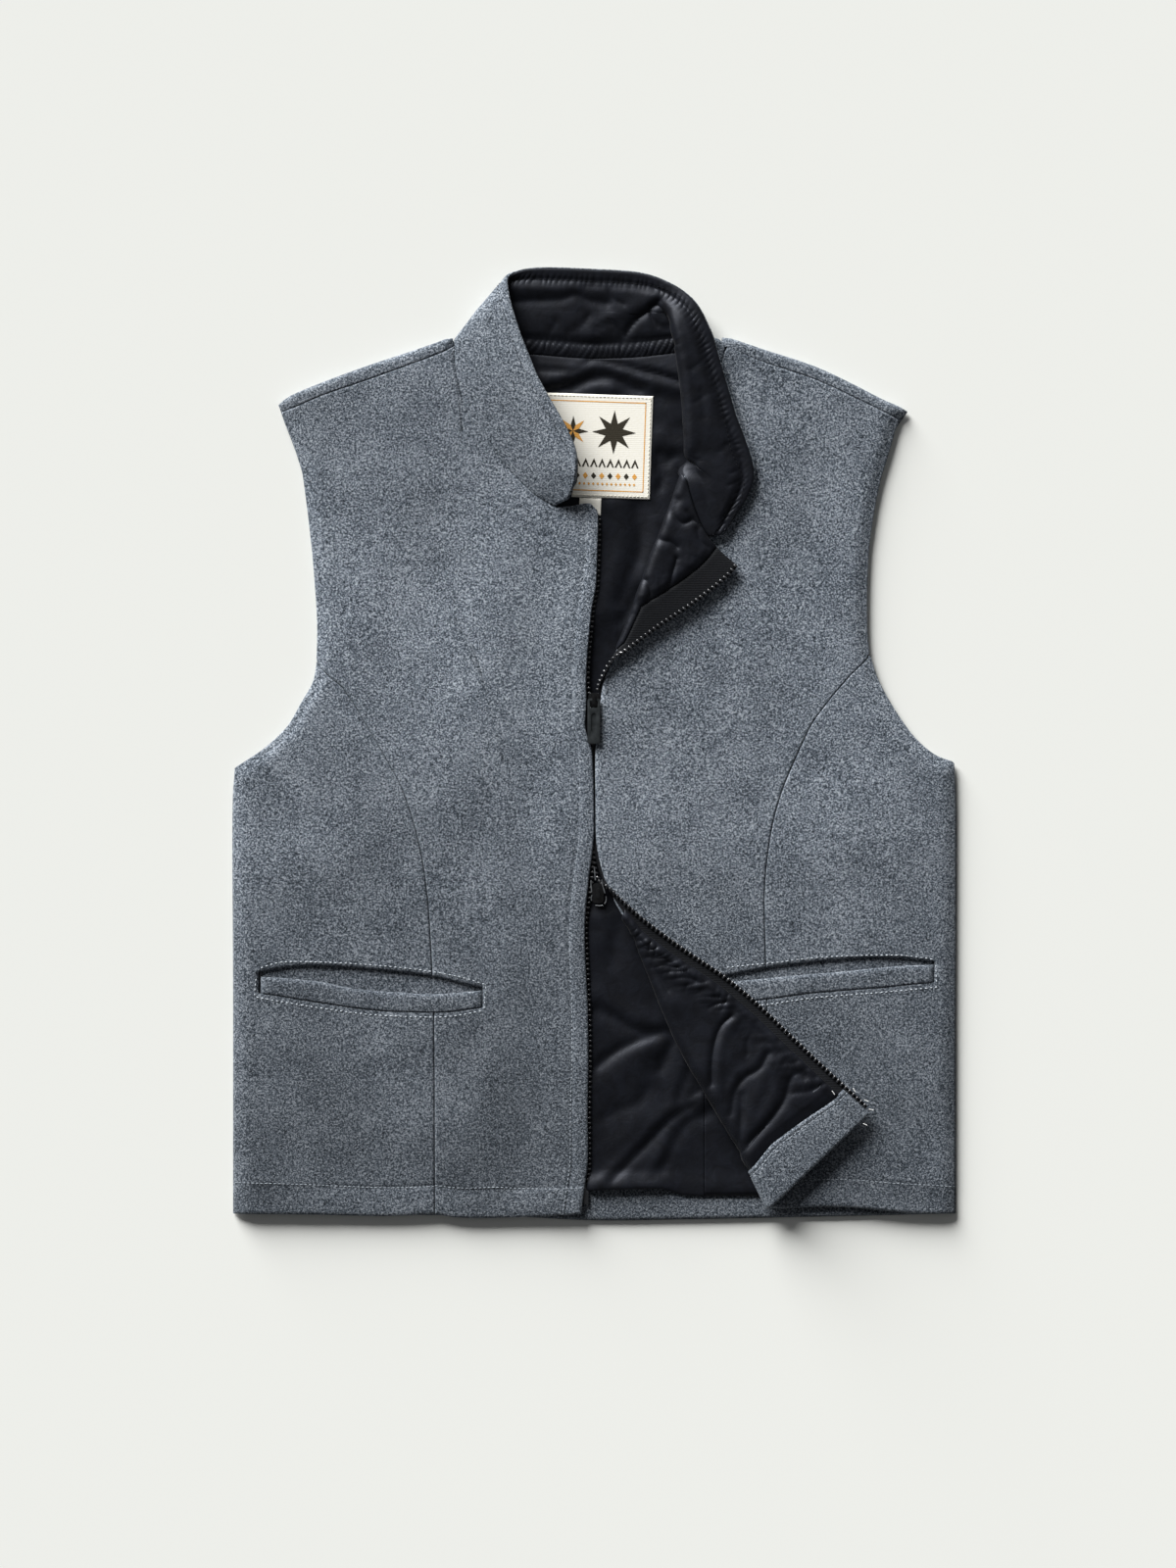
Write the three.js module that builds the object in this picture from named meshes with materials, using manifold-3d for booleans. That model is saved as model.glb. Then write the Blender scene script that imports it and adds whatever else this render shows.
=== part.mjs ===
// Sleeveless wool vest with a stand collar and a two-way front zip, laid flat on its back.
// Millimetres. +X is the wearer's left, +Y is towards the collar, +Z is up from the surface it lies on.
// The left front is folded out twice: as a lapel above the closed stretch of zip, as a flap below it.
import * as THREE from 'three';
import Module from 'manifold-3d';
import { mergeVertices } from 'three/addons/utils/BufferGeometryUtils.js';

const wasm = await Module();
wasm.setup();

// Driving dimensions
const HALF_WIDTH = 246.9;
const HEM_Y = -321;
const BACK_HEM_Y = -325.6;
const WOOL = 2;
const SATIN = 1;
const GAP = 0.3;
const TURN_UP = 25;
const TURN_UP_FLAT = 0.2;
const SEAM_STEP = GAP / 2;

// Heights of the lying layers, measured to the face where wool and lining meet
const BACK_REST = WOOL;
const BACK_LINING = BACK_REST + GAP;
const FRONT_REST = 5.6;
const PLACKET = { rise: 1.7, halfWidth: 35 };
const EDGE_DROP = { depth: 3.1, reach: 6 };

// Zip
const TEETH = { width: 2.6, top: 0.4, bottom: 2.6 };
const TAPE = { width: 14.1, top: 0.3, bottom: 1.1, gap: 1.15, least: 1, onFlap: 6 };
const ZIP_TOP_Y = 156;
const ZIP_END_Y = -299;
const ZIP_ROWS = 34;
const PIN = { width: 3, length: 15, depth: 2.2, x: -5.6, drop: 8, z: 5.6 };

const FINISH = {
  wool: { color: 0x6f7883, roughness: 0.9 },
  satin: { color: 0x1c1d21, roughness: 0.4 },
  tape: { color: 0x1f2022, roughness: 0.9 },
  teeth: { color: 0x141517, roughness: 0.35 },
  slider: { color: 0x17181a, roughness: 0.35, metalness: 0.6 },
  pull: { color: 0x45494b, roughness: 0.4, metalness: 0.7 },
  label: { color: 0xf1eee2, roughness: 0.7 },
};

// Outline of the wearer's right front and of the back: [x, y]
const ARMHOLE_R = [
  [-215.5, 233], [-212.5, 222.5], [-206, 205.5], [-199.5, 185], [-194, 140.5], [-191.5, 114.5],
  [-189.5, 84], [-190, 54.5], [-192.5, 42], [-200.5, 28], [-209.5, 12.5], [-225, -2.5], [-239, -12],
  [-246, -16.5],
];
const ARMHOLE_L = [
  [213.5, 228.5], [206, 216.5], [202, 201.5], [196, 181.5], [192, 163], [188, 136], [186.5, 109],
  [186.5, 78.5], [188, 62.5], [194, 44], [204, 25.5], [219, 4.5], [233, -7.5], [246, -12.5],
];
const PRINCESS_R = [
  [-189.5, 56], [-180.5, 45], [-172.5, 39], [-164, 27], [-153, 8], [-142, -10.5], [-131.5, -30],
  [-123.5, -53.5], [-117.5, -78.5], [-113.5, -109], [-111, -151.5], [-109.5, -187.5], [-109, HEM_Y],
];
const PRINCESS_L = [
  [187, 60], [175, 47], [163, 33.5], [149, 14.5], [139, -6], [129, -29.5], [122, -53.5], [117.5, -82.5],
  [116, -108.5], [117, -147.5], [118.5, -201.5], [121.5, -262], [131, -317],
];
const SHOULDER_EDGE_R = [
  [-215.5, 233], [-204.5, 239], [-161, 256], [-119, 270], [-102, 276], [-96, 278.5],
];
const SHOULDER_SEAM_R = [
  [-213.5, 226.5], [-202.5, 230.5], [-187.5, 237], [-148.5, 250.5], [-129.5, 257.5], [-102, 268],
  [-95.5, 271.5],
];
const SHOULDER_EDGE_L = [
  [213.5, 228.5], [198, 234.5], [177.5, 245], [151, 257.5], [116, 269.5], [91, 278.8],
];
const SHOULDER_SEAM_L = [
  [208, 221], [196.5, 227], [177, 236.5], [151, 248.5], [116, 260.5], [91, 271.5],
];
const NECK_R = [
  [-95.5, 271.5], [-95, 254], [-89.5, 234], [-78, 212.5], [-58.5, 187.5], [-41, 170], [-26.5, 161.5],
];
const NECK_L = [
  [91, 271.5], [88.5, 266.5], [83.5, 253.5], [79, 239], [74.5, 224], [70.8, 209.5], [67.8, 197.5],
];
const NECK_BACK = [
  [-96, 277.5], [-87, 273], [-66, 268.3], [-41, 266.3], [-5.5, 263.5], [29, 264.3], [46.5, 266.3],
  [60.5, 268.3], [75, 271.6], [91, 277.8],
];
const TOP_R = [[-26.5, 161.5], [-17, 162], [-4.5, 164], [0.5, 162], [2.5, 157]];
const EDGE_R = [
  [2.5, 157], [2.5, 146.5], [2, 129.5], [1, 106.5], [-1.5, 93], [-3, 79], [-4.5, 62.5], [-5.5, 46],
  [-5.5, 34], [-5.5, 26], [-6, 9.5], [-2, -3], [-1, -19], [-0.3, -43], [-0.3, -61], [-1.5, -74.5],
  [-3.5, -90], [-4.5, -100], [-6, -114.5], [-6.5, -134.5], [-4.5, -179.5], [-4, -215.5], [-4.5, -252],
  [-4.5, -287.5], [-7, -305.5], [-9, -321],
];
const HEM_R = [[-109, -321], [-93.5, -323.5], [-58, -323.5], [-9, -321]];
const HEM_SIDE_R = [[-246, -321], [-192.5, -321.5], [-139.5, -322.5], [-109, -321]];
const HEM_SIDE_L = [[246, -321], [218, -320.5], [180, -317], [161, -316], [131, -317]];
const SIDE_HEIGHTS = [-40, -180, HEM_Y];
const BACK_SIDE_R = [[-245.5, -16.5], [-HALF_WIDTH, -30], [-HALF_WIDTH, -180], [-HALF_WIDTH, HEM_Y]];
const BACK_SIDE_L = [[245.5, -12.5], [HALF_WIDTH, -30], [HALF_WIDTH, -180], [HALF_WIDTH, HEM_Y]];
const BACK_HEM = [[-HALF_WIDTH, HEM_Y], [-60, -323], [0, BACK_HEM_Y], [60, -325], [HALF_WIDTH, HEM_Y]];
const BACK_ARMHOLE_STEP = 0.5;

// Heights of the rows of the right front, and steps across the panels
const RIGHT_HEIGHTS = [
  226.5, 205, 180, 150, 120, 90, 56, 51, 36, 18, -4, -28, -55, -85, -120, -155, -190, -225, -260, -292,
  HEM_Y,
];
const RIGHT_COLUMNS = [{ count: 5, to: 0.4 }, { count: 6, to: 0.84 }, { count: 3, to: 1 }];
const SIDE_COLUMNS = [{ count: 6, to: 0.92 }, { count: 1, to: 1 }];
const BACK_STEPS = [{ count: 9, to: 0.45 }, { count: 5, to: 1 }];
const SHOULDER_STEPS = 5;
const NECK_STEPS = 8;
const SHOULDER_TURN = [1, 0.75, 0.5, 0.25];

// Back lining and back turn-up
const LINING = { inset: 13, seamX: 75, hemRise: 13, right: 268, left: 270, side: 267, armholeY: -30 };
const LINING_SHOULDER_R = [[-205, 226], [-160, 244], [-118, 257]];
const LINING_SHOULDER_L = [[200, 219], [160, 242], [118, 258]];
const BACK_TURN_UP_X = 230;
const BACK_TURN_UP_HEM = [
  [-BACK_TURN_UP_X, HEM_Y], [-60, -322.6], [0, BACK_HEM_Y + 0.5], [60, -324.5], [BACK_TURN_UP_X, HEM_Y],
];

// Outer side of the right teeth: past the cloth edge where the zip is open, on the centre line
// where it is closed
const TEETH_LINE_R = [
  [4.2, ZIP_TOP_Y], [3.8, 129.5], [2.8, 106.5], [0.2, 93], [-1.2, 79], [-2.8, 62.5], [-3.6, 46],
  [-3, 36], [-1.4, 29], [-0.5, 24], [-0.5, 0], [-0.5, -50], [-0.5, -86], [-1, -94], [-2.2, -103],
  [-3.6, -111], [-4.8, -122], [-4.7, -134.5], [-2.7, -179.5], [-2.2, -215.5], [-2.7, -252],
  [-2.7, -287.5], [-4, ZIP_END_Y],
];

// Left front from the collar to the hem. side: height where the row starts at the armhole or seam.
// fold: outermost point of the roll. free: the edge along the zip. lift: its height over the panel.
// zip: how far the teeth stand out past that edge.
const LEFT_ROWS = [
  { side: 190, fold: [60.5, 184], roll: 4.2, free: [96, 122.5], lift: 7, zip: 0.85 },
  { side: 174, fold: [49, 152], roll: 4.2, free: [87.5, 113], lift: 7, zip: 0.85 },
  { side: 152, fold: [38.5, 124.5], roll: 4.2, free: [66.5, 96.5], lift: 6.5, zip: 0.85 },
  { side: 125, fold: [28, 94.5], roll: 4, free: [42.5, 80.5], lift: 6.5, zip: 0.85 },
  { side: 96, fold: [18, 70.5], roll: 3, free: [24, 66.5], lift: 6, zip: 0.85 },
  { side: 76, fold: [11.5, 55.5], roll: 1.6, free: [13, 56.5], lift: 5, zip: 1 },
  { side: 60, fold: [8, 44], roll: 0.7, free: [6.5, 43.5], lift: 2.4, zip: 1.6 },
  { side: 36, fold: [9.5, 33], roll: 0, free: [4.6, 33], lift: 0, zip: 2.5 },
  { side: 18, fold: [8, 19], roll: 0, free: [3, 19], lift: 0, zip: 3.15 },
  { side: -4, fold: [5.7, -4], roll: 0, free: [0.7, -4], lift: 0, zip: 0.85 },
  { side: -40, fold: [5.7, -41], roll: 0, free: [0.7, -41], lift: 0, zip: 0.85 },
  { side: -66, fold: [6, -66], roll: 0, free: [1.2, -66], lift: 0, zip: 1.35 },
  { side: -82, fold: [9, -82], roll: 0, free: [4, -82], lift: 0, zip: 4 },
  { side: -95, fold: [11.5, -95.5], roll: 0.1, free: [7.8, -94], lift: 0.1, zip: 5 },
  { side: -106, fold: [13.5, -107], roll: 1, free: [12.8, -102.5], lift: 2.8, zip: 3.2 },
  { side: -118, fold: [20, -118.5], roll: 2.2, free: [21.5, -110.5], lift: 6, zip: 1.4 },
  { side: -131, fold: [28.5, -131], roll: 3, free: [32, -120], lift: 7, zip: 0.85 },
  { side: -147, fold: [34.5, -147], roll: 3.4, free: [44, -129.5], lift: 7.5, zip: 0.85 },
  { side: -170, fold: [43.5, -170], roll: 4, free: [62, -142.5], lift: 8, zip: 0.85 },
  { side: -200, fold: [56, -200], roll: 4.4, free: [88, -160], lift: 8, zip: 0.85 },
  { side: -230, fold: [72, -229], roll: 5, free: [112, -180], lift: 8, zip: 0.85 },
  { side: -262, fold: [91.5, -262], roll: 5.4, free: [137, -204], lift: 8.5, zip: 0.85 },
  { side: -292, fold: [107.5, -293], roll: 5.4, free: [161.5, -227], lift: 9, zip: 0.85 },
  { side: -317, fold: [119, -317], roll: 5, free: [188, -251.5], lift: 9.5, zip: 0.85 },
];
const LEFT = { sideColumns: 8, rollColumns: 6, freeColumns: 4, neckRows: 3, minRoll: 2.4 };
const LAPEL_BOW = { x: -5, y: -5.5, rows: 3 };
const CLOSED = { first: 8, last: 11 };
const LAPEL_END = 4;
const FLAP_START = 15;
const LINING_REACH = 8;
const TURN_UP_FIRST = 2;
const TURN_UP_TOP = 21.9;
const SLANT = { clear: 12, run: 52, gap: 1.2 };
const TURN_UP_ROWS = 2;
const LAST_LEFT = LEFT_ROWS.length - 1;
const POSITION_STEP = 0.02;
const SEAM_TIP = 6.35;
const TWISTS = [4.35, 4.7, 5.5, 13.5];
const ROLL_END = LEFT.sideColumns + LEFT.rollColumns;
const LEFT_ARMHOLE = [SHOULDER_SEAM_L[0], ...ARMHOLE_L.slice(1)];
const STRIP_INSET = 2;
const MIN_SHOULDER_RADIUS = 0.4;

// Collar from the wearer's right front end, round the back neck, to the left front end: [x, y, z].
// seam: on the neck seam. turn: half way up, or the outermost point of the roll. top: the upper edge.
const COLLAR_ROWS = [
  { seam: [-27, 162.6, 7.3], turn: [-17.5, 166.5, 15.3], top: [-12.5, 178, 23], roll: 0 },
  { seam: [-33, 165.5, 6.9], turn: [-20.5, 176.5, 17.3], top: [-11.5, 190, 28], roll: 0 },
  { seam: [-41, 170.5, 6.3], turn: [-26, 186, 18.3], top: [-13, 201, 29.5], roll: 0 },
  { seam: [-50, 178.5, 6], turn: [-33, 197, 18.3], top: [-18, 213, 29], roll: 0 },
  { seam: [-60, 189, 5.8], turn: [-40, 209, 17.8], top: [-24, 224, 28], roll: 0 },
  { seam: [-69.5, 200.5, 5.7], turn: [-48.5, 220.5, 16.8], top: [-31, 236, 26], roll: 0 },
  { seam: [-78, 212.5, 5.6], turn: [-56, 233.5, 15.8], top: [-38.5, 250, 23.5], roll: 0 },
  { seam: [-85, 224.5, 5.6], turn: [-62.5, 246, 15.3], top: [-44, 263.5, 21.5], roll: 0 },
  { seam: [-90, 236, 5.6], turn: [-67.5, 258, 14.3], top: [-49, 276, 19.5], roll: 0 },
  { seam: [-93.5, 248.5, 5.6], turn: [-71.5, 270, 13.3], top: [-53, 288, 17.8], roll: 0 },
  { seam: [-95, 261, 5.6], turn: [-74.5, 281.5, 12.3], top: [-56.5, 299.5, 16], roll: 0 },
  { seam: [-94.8, 270.5, 5.6], turn: [-77.5, 289.5, 10.9], top: [-58.5, 309.5, 13.6], roll: 0 },
  { seam: [-94, 275, 4.3], turn: [-79.5, 294, 7.7], top: [-58.8, 317.5, 10.1], roll: 0 },
  { seam: [-86, 274, 2.6], turn: [-72.5, 298.5, 3.7], top: [-54.5, 321.8, 6.6], roll: 0 },
  { seam: [-66, 269.5, 2.2], turn: [-58, 299, 2.8], top: [-45, 324.6, 5], roll: 0 },
  { seam: [-41, 267.5, 2.2], turn: [-36, 296, 2.6], top: [-30, 325.4, 4.6], roll: 0 },
  { seam: [-5.5, 264.7, 2.2], turn: [-4.5, 295, 2.6], top: [-2.5, 324.4, 4.6], roll: 0 },
  { seam: [29, 265.5, 2.2], turn: [28, 294, 2.6], top: [26, 322.6, 4.8], roll: 0 },
  { seam: [46.5, 267.5, 2.2], turn: [44, 295, 3.6], top: [41.5, 319, 6], roll: 0.3 },
  { seam: [61, 269.7, 2.4], turn: [51.5, 294, 7], top: [57, 311.6, 9], roll: 2 },
  { seam: [74.5, 272.8, 3.5], turn: [53.5, 284, 10], top: [67.5, 303, 11.8], roll: 3.4 },
  { seam: [82.5, 275, 4.7], turn: [55, 278, 11], top: [73.5, 294.5, 13], roll: 3.8 },
  { seam: [87.5, 273, 5.6], turn: [56.5, 272.5, 11.4], top: [77.8, 285.5, 13.4], roll: 4 },
  { seam: [88, 266, 5.6], turn: [58, 265, 11.4], top: [81.8, 276, 13.4], roll: 4 },
  { seam: [83.5, 253.5, 5.6], turn: [60, 252.5, 11.4], top: [87, 258, 13.2], roll: 4 },
  { seam: [79, 239, 5.7], turn: [61.8, 238.5, 11.4], top: [92.5, 240, 13], roll: 4 },
  { seam: [74.5, 224, 5.9], turn: [63, 224, 11.4], top: [97.3, 224, 13], roll: 4 },
  { seam: [70.8, 209.5, 6.1], turn: [63, 209.5, 11.2], top: [102.5, 210.5, 13], roll: 3.8 },
  { seam: [66.5, 196, 7.3], turn: [62.8, 197, 11], top: [107, 198, 13], roll: 2.8 },
  { seam: [61.2, 186, 11.3], turn: [72, 189, 13.6], top: [109.2, 188, 13], roll: 0.4 },
  { seam: [62.8, 173, 14.9], turn: [84, 177.5, 13.8], top: [108.8, 179, 13], roll: 0 },
  { seam: [67.8, 159, 14.9], turn: [87, 165.5, 13.6], top: [104.5, 168, 12.8], roll: 0 },
  { seam: [74.8, 147.5, 14.7], turn: [87, 153.5, 13.4], top: [97, 156, 12.6], roll: 0 },
  { seam: [81.5, 139, 14.3], turn: [86, 142.5, 13], top: [90, 145.5, 12.6], roll: 0 },
];
const COLLAR = { minRoll: 4, lowColumns: 1, rollColumns: 4, highColumns: 2 };
const LAPEL_SEAM = [6.6, 18, 33, 47, 58];
const LAPEL_GAP = { x: 0.7, y: 2.4 };
const COLLAR_GAP = 1.2;

// Soft swellings and hollows of the lying cloth:
// centre, half length, direction in degrees, half width, height
const FRONT_FOLDS = [
  { x: -38, y: 20, reach: 110, turn: 86, width: 15, height: -0.9 },
  { x: -75, y: 60, reach: 120, turn: 80, width: 24, height: 1.3 },
  { x: -150, y: 120, reach: 70, turn: 65, width: 26, height: 1.2 },
  { x: -75, y: -250, reach: 45, turn: 75, width: 20, height: 1.4 },
  { x: -190, y: -80, reach: 60, turn: 12, width: 22, height: 1.1 },
  { x: -165, y: -262, reach: 70, turn: 172, width: 22, height: 0.9 },
  { x: 105, y: 110, reach: 90, turn: 96, width: 18, height: 1.3 },
  { x: 150, y: 150, reach: 90, turn: 88, width: 14, height: -0.5 },
  { x: 60, y: -30, reach: 60, turn: 60, width: 26, height: 1.2 },
  { x: 185, y: -70, reach: 55, turn: 4, width: 22, height: 1.2 },
  { x: 195, y: -240, reach: 55, turn: 170, width: 24, height: 1 },
];
const LINING_FOLDS = [
  { x: 30, y: -262, reach: 26, turn: 38, width: 8, height: 1.1 },
  { x: 36, y: -284, reach: 26, turn: 28, width: 8, height: 1 },
  { x: 22, y: -222, reach: 24, turn: 55, width: 9, height: 0.9 },
  { x: 34, y: 118, reach: 26, turn: 72, width: 9, height: 0.9 },
];

// Welt pockets: lip of the opening, upper edge of the welt, seam under the welt
const POCKET_R = {
  lip: [[-228, -155.5], [-206, -152], [-179, -152], [-139.5, -155], [-109, -159], [-76, -166.5]],
  welt: [
    [-228, -159], [-186, -162.5], [-166.5, -167], [-139.5, -169.5], [-109, -171], [-81.5, -169],
    [-76, -168.5],
  ],
  base: [[-228, -170.5], [-192.5, -176], [-153, -181.5], [-126.5, -183], [-100, -183], [-76, -180]],
};
const POCKET_L = {
  lip: [
    [88, -158.5], [103, -155.5], [126, -151.5], [164.5, -147.5], [187.5, -146], [210.5, -146.5],
    [232, -148.5],
  ],
  welt: [
    [88, -163], [103, -161.5], [133.5, -158.5], [164.5, -156], [195.5, -153], [210.5, -151.5], [232, -151],
  ],
  base: [[88, -177], [116, -174.5], [149, -170], [195.5, -166.5], [232, -163]],
};
const POCKET = {
  stations: 14, weltRise: 0.8, facing: 1.1, facingGap: 0.5, overlap: 7, reach: 1, slotTop: 11,
};

// Labels inside the back neck
const BRAND_LABEL = { left: -39, right: 39, bottom: 168, top: 238.5, thick: 0.8 };
const SIZE_TAB = { left: -9, right: 6, bottom: 156, top: 167.6, thick: 0.6 };

// Sliders and pull
const SLIDER_TOP = { x: -0.45, y: 30, width: 7.6, length: 9.4 };
const SLIDER_LOW = { x: 2.3, y: -102, width: 8, length: 13.5 };
const PLATE = { low: 3.7, thin: 0.7, high: 7.2, thick: 1, corner: 2.4 };
const POST = { width: 1.3, length: 1.8, inset: 1.2 };
const BRIDGE = { width: 2.2, halfLength: 3.2, leg: 1, rise: 3.6, top: 1, sink: 0.1, lap: 0.01 };
const PULL = { axisZ: 10.4, bar: 1.6, width: 8.6, eye: 5.4, length: 30, tabTop: 1.6, plate: 0.8 };
const PULL_CORNER = { frame: 1.6, tab: 1.4, overlap: 2, hole: 4 };
const WINDOW = { width: 3.4, length: 13, corner: 1.6, depth: 1, cut: 0.5, up: 2 };

const clamp = (value, low, high) => Math.min(high, Math.max(low, value));
const lerp = (a, b, t) => a + (b - a) * t;
const mix = (p, q, t) => new THREE.Vector3().lerpVectors(p, q, t);
const plan = (x, y, z = 0) => new THREE.Vector3(x, y, z);

// Smooth value between the entries of a column, at a position counted in entries
function between(column, position) {
  const last = column.length - 1;
  const k = clamp(Math.floor(position), 0, last - 1);
  const t = position - k;
  const at = (i) => column[clamp(i, 0, last)];
  const [a, b, c, d] = [at(k - 1), at(k), at(k + 1), at(k + 2)];
  const bend = 2 * b - 2 * c + (c - a) / 2 + (d - b) / 2;
  const slope = -3 * b + 3 * c - (c - a) - (d - b) / 2;
  return b + t * ((c - a) / 2 + t * (slope + t * bend));
}

// Row of a table at a fractional position, numbers and short lists alike
function tableRow(rows, position) {
  const row = {};
  for (const key of Object.keys(rows[0])) {
    const sample = rows[0][key];
    row[key] = Array.isArray(sample)
      ? sample.map((_, i) => between(rows.map((r) => r[key][i]), position))
      : between(rows.map((r) => r[key]), position);
  }
  return row;
}

// Plan curve made of smooth stretches, each given a share of the parameter, with corners between them
function outline(...stretches) {
  const curves = stretches.map(({ points, share }) => ({
    curve: new THREE.CatmullRomCurve3(points.map((p) => plan(...p)), false, 'centripetal'),
    share,
  }));
  return (t) => {
    let rest = clamp(t, 0, 1);
    for (const { curve, share } of curves) {
      if (rest <= share + 1e-9) return curve.getPointAt(clamp(rest / share, 0, 1));
      rest -= share;
    }
    return curves.at(-1).curve.getPointAt(1);
  };
}

// x of an outline at a given y, from a list that runs down the garment
function acrossAt(list, y) {
  const ys = list.map((p) => p[1]);
  let k = ys.findIndex((value) => value <= y);
  k = clamp(k < 0 ? list.length - 1 : k, 1, list.length - 1);
  const t = (ys[k - 1] - y) / (ys[k - 1] - ys[k]);
  return between(list.map((p) => p[0]), k - 1 + clamp(t, 0, 1));
}

// Surface patch between four boundary curves
function coons(left, right, top, bottom) {
  return (u, v) => {
    const [tl, tr, bl, br] = [left(0), right(0), left(1), right(1)];
    const sides = mix(left(v), right(v), u);
    const ends = mix(top(u), bottom(u), v);
    const corners = mix(mix(tl, tr, u), mix(bl, br, u), v);
    return sides.add(ends).sub(corners);
  };
}

function foldHeight(folds, x, y) {
  let height = 0;
  for (const fold of folds) {
    const angle = THREE.MathUtils.degToRad(fold.turn);
    const dx = x - fold.x;
    const dy = y - fold.y;
    const along = (dx * Math.cos(angle) + dy * Math.sin(angle)) / fold.reach;
    const across = (-dx * Math.sin(angle) + dy * Math.cos(angle)) / fold.width;
    height += fold.height * Math.exp(-(across ** 2) - along ** 4);
  }
  return height;
}

const EDGE_LINES = [
  ARMHOLE_R,
  ARMHOLE_L,
  [[-HALF_WIDTH, -16], [-HALF_WIDTH, HEM_Y]],
  [[HALF_WIDTH, -12], [HALF_WIDTH, HEM_Y]],
];

// Distance in plan to the armholes and side edges, where the front comes down to the back
function edgeDistance(x, y) {
  let best = Infinity;
  for (const line of EDGE_LINES) {
    for (let i = 1; i < line.length; i += 1) {
      const [ax, ay] = line[i - 1];
      const [bx, by] = line[i];
      const length = (bx - ax) ** 2 + (by - ay) ** 2;
      const t = clamp(((x - ax) * (bx - ax) + (y - ay) * (by - ay)) / length, 0, 1);
      best = Math.min(best, Math.hypot(x - lerp(ax, bx, t), y - lerp(ay, by, t)));
    }
  }
  return best;
}

// Height of the inner face of the fronts
function frontHeight(x, y) {
  const placket = PLACKET.rise * Math.exp(-((x / PLACKET.halfWidth) ** 2));
  const inland = edgeDistance(x, y);
  const drop = EDGE_DROP.depth * Math.exp(-((inland / EDGE_DROP.reach) ** 2));
  const fade = 1 - Math.exp(-((inland / (3 * EDGE_DROP.reach)) ** 2));
  const folds = foldHeight(FRONT_FOLDS, x, y) * fade * (1 - placket / PLACKET.rise);
  return FRONT_REST + placket - drop + folds;
}

const onFront = (p) => plan(p.x, p.y, frontHeight(p.x, p.y));
const liningHeight = (x, y) => BACK_LINING + foldHeight(LINING_FOLDS, x, y);

// Grid of points over a patch, with its column and row stations
function gridOf(patch, columns, rows) {
  return rows.map((v) => columns.map((u) => patch(u, v)));
}

const steps = (count, low = 0, high = 1) => (
  Array.from({ length: count + 1 }, (_, i) => lerp(low, high, i / count))
);

// Shares from 0 to 1 in parts, each with its own number of steps
function stepsThrough(parts) {
  const shares = [0];
  for (const { count, to } of parts) shares.push(...steps(count, shares.at(-1), to).slice(1));
  return shares;
}

// Grid between two edges given point by point, with curves for its first and last row
function gridBetween(left, right, top, bottom, columns) {
  const last = left.length - 1;
  const total = left[0].y - left[last].y;
  return left.map((start, i) => {
    const v = (left[0].y - start.y) / total;
    return columns.map((u) => {
      const p = mix(start, right[i], u);
      p.add(top(u).sub(mix(left[0], right[0], u)).multiplyScalar(1 - v));
      return p.add(bottom(u).sub(mix(left[last], right[last], u)).multiplyScalar(v));
    });
  });
}

// Difference of a point's two neighbours, or of the one that is there and the point itself
function across(before, point, after) {
  return (after ?? point).clone().sub(before ?? point);
}

function gridNormals(grid, side) {
  return grid.map((row, i) => row.map((point, j) => {
    if (!point) return null;
    const down = across(grid[i - 1]?.[j], point, grid[i + 1]?.[j]);
    const along = across(row[j - 1], point, row[j + 1]);
    return along.cross(down).normalize().multiplyScalar(side);
  }));
}

// Closed wall between two offsets of a grid, in which points may be missing.
// side is 1 or -1: the way the outside faces.
function wall(grid, side, low, high) {
  const normals = gridNormals(grid, side);
  const columns = grid[0].length;
  const positions = [];
  for (const offset of [low, high]) {
    grid.forEach((row, i) => row.forEach((point, j) => {
      const p = point ? point.clone().addScaledVector(normals[i][j], offset) : plan(0, 0);
      positions.push(p.x, p.y, p.z);
    }));
  }
  const id = (layer, [i, j]) => (layer * grid.length + i) * columns + j;
  const isCell = (i, j) => (
    Boolean(grid[i]?.[j] && grid[i][j + 1] && grid[i + 1]?.[j] && grid[i + 1][j + 1])
  );
  const faces = [];
  const quad = (a, b, c, d) => {
    if (side > 0) faces.push(a, b, c, a, c, d);
    else faces.push(a, c, b, a, d, c);
  };
  for (let i = 0; i + 1 < grid.length; i += 1) {
    for (let j = 0; j + 1 < columns; j += 1) {
      if (!isCell(i, j)) continue;
      const corners = [[i, j], [i, j + 1], [i + 1, j + 1], [i + 1, j]];
      const neighbours = [isCell(i - 1, j), isCell(i, j + 1), isCell(i + 1, j), isCell(i, j - 1)];
      quad(...corners.map((corner) => id(1, corner)));
      quad(...[0, 3, 2, 1].map((k) => id(0, corners[k])));
      neighbours.forEach((joined, k) => {
        const [a, b] = [corners[k], corners[(k + 1) % 4]];
        if (!joined) quad(id(1, a), id(0, a), id(0, b), id(1, b));
      });
    }
  }
  const geometry = new THREE.BufferGeometry();
  geometry.setAttribute('position', new THREE.Float32BufferAttribute(positions, 3));
  geometry.setIndex(faces);
  return withoutLoosePoints(geometry);
}

// Same surface with only the points that its faces use
function withoutLoosePoints(geometry) {
  const source = geometry.attributes.position;
  const renumbered = new Map();
  const positions = [];
  const faces = Array.from(geometry.index.array, (index) => {
    if (!renumbered.has(index)) {
      renumbered.set(index, renumbered.size);
      positions.push(source.getX(index), source.getY(index), source.getZ(index));
    }
    return renumbered.get(index);
  });
  const bare = new THREE.BufferGeometry();
  bare.setAttribute('position', new THREE.Float32BufferAttribute(positions, 3));
  bare.setIndex(faces);
  return bare;
}

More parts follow.
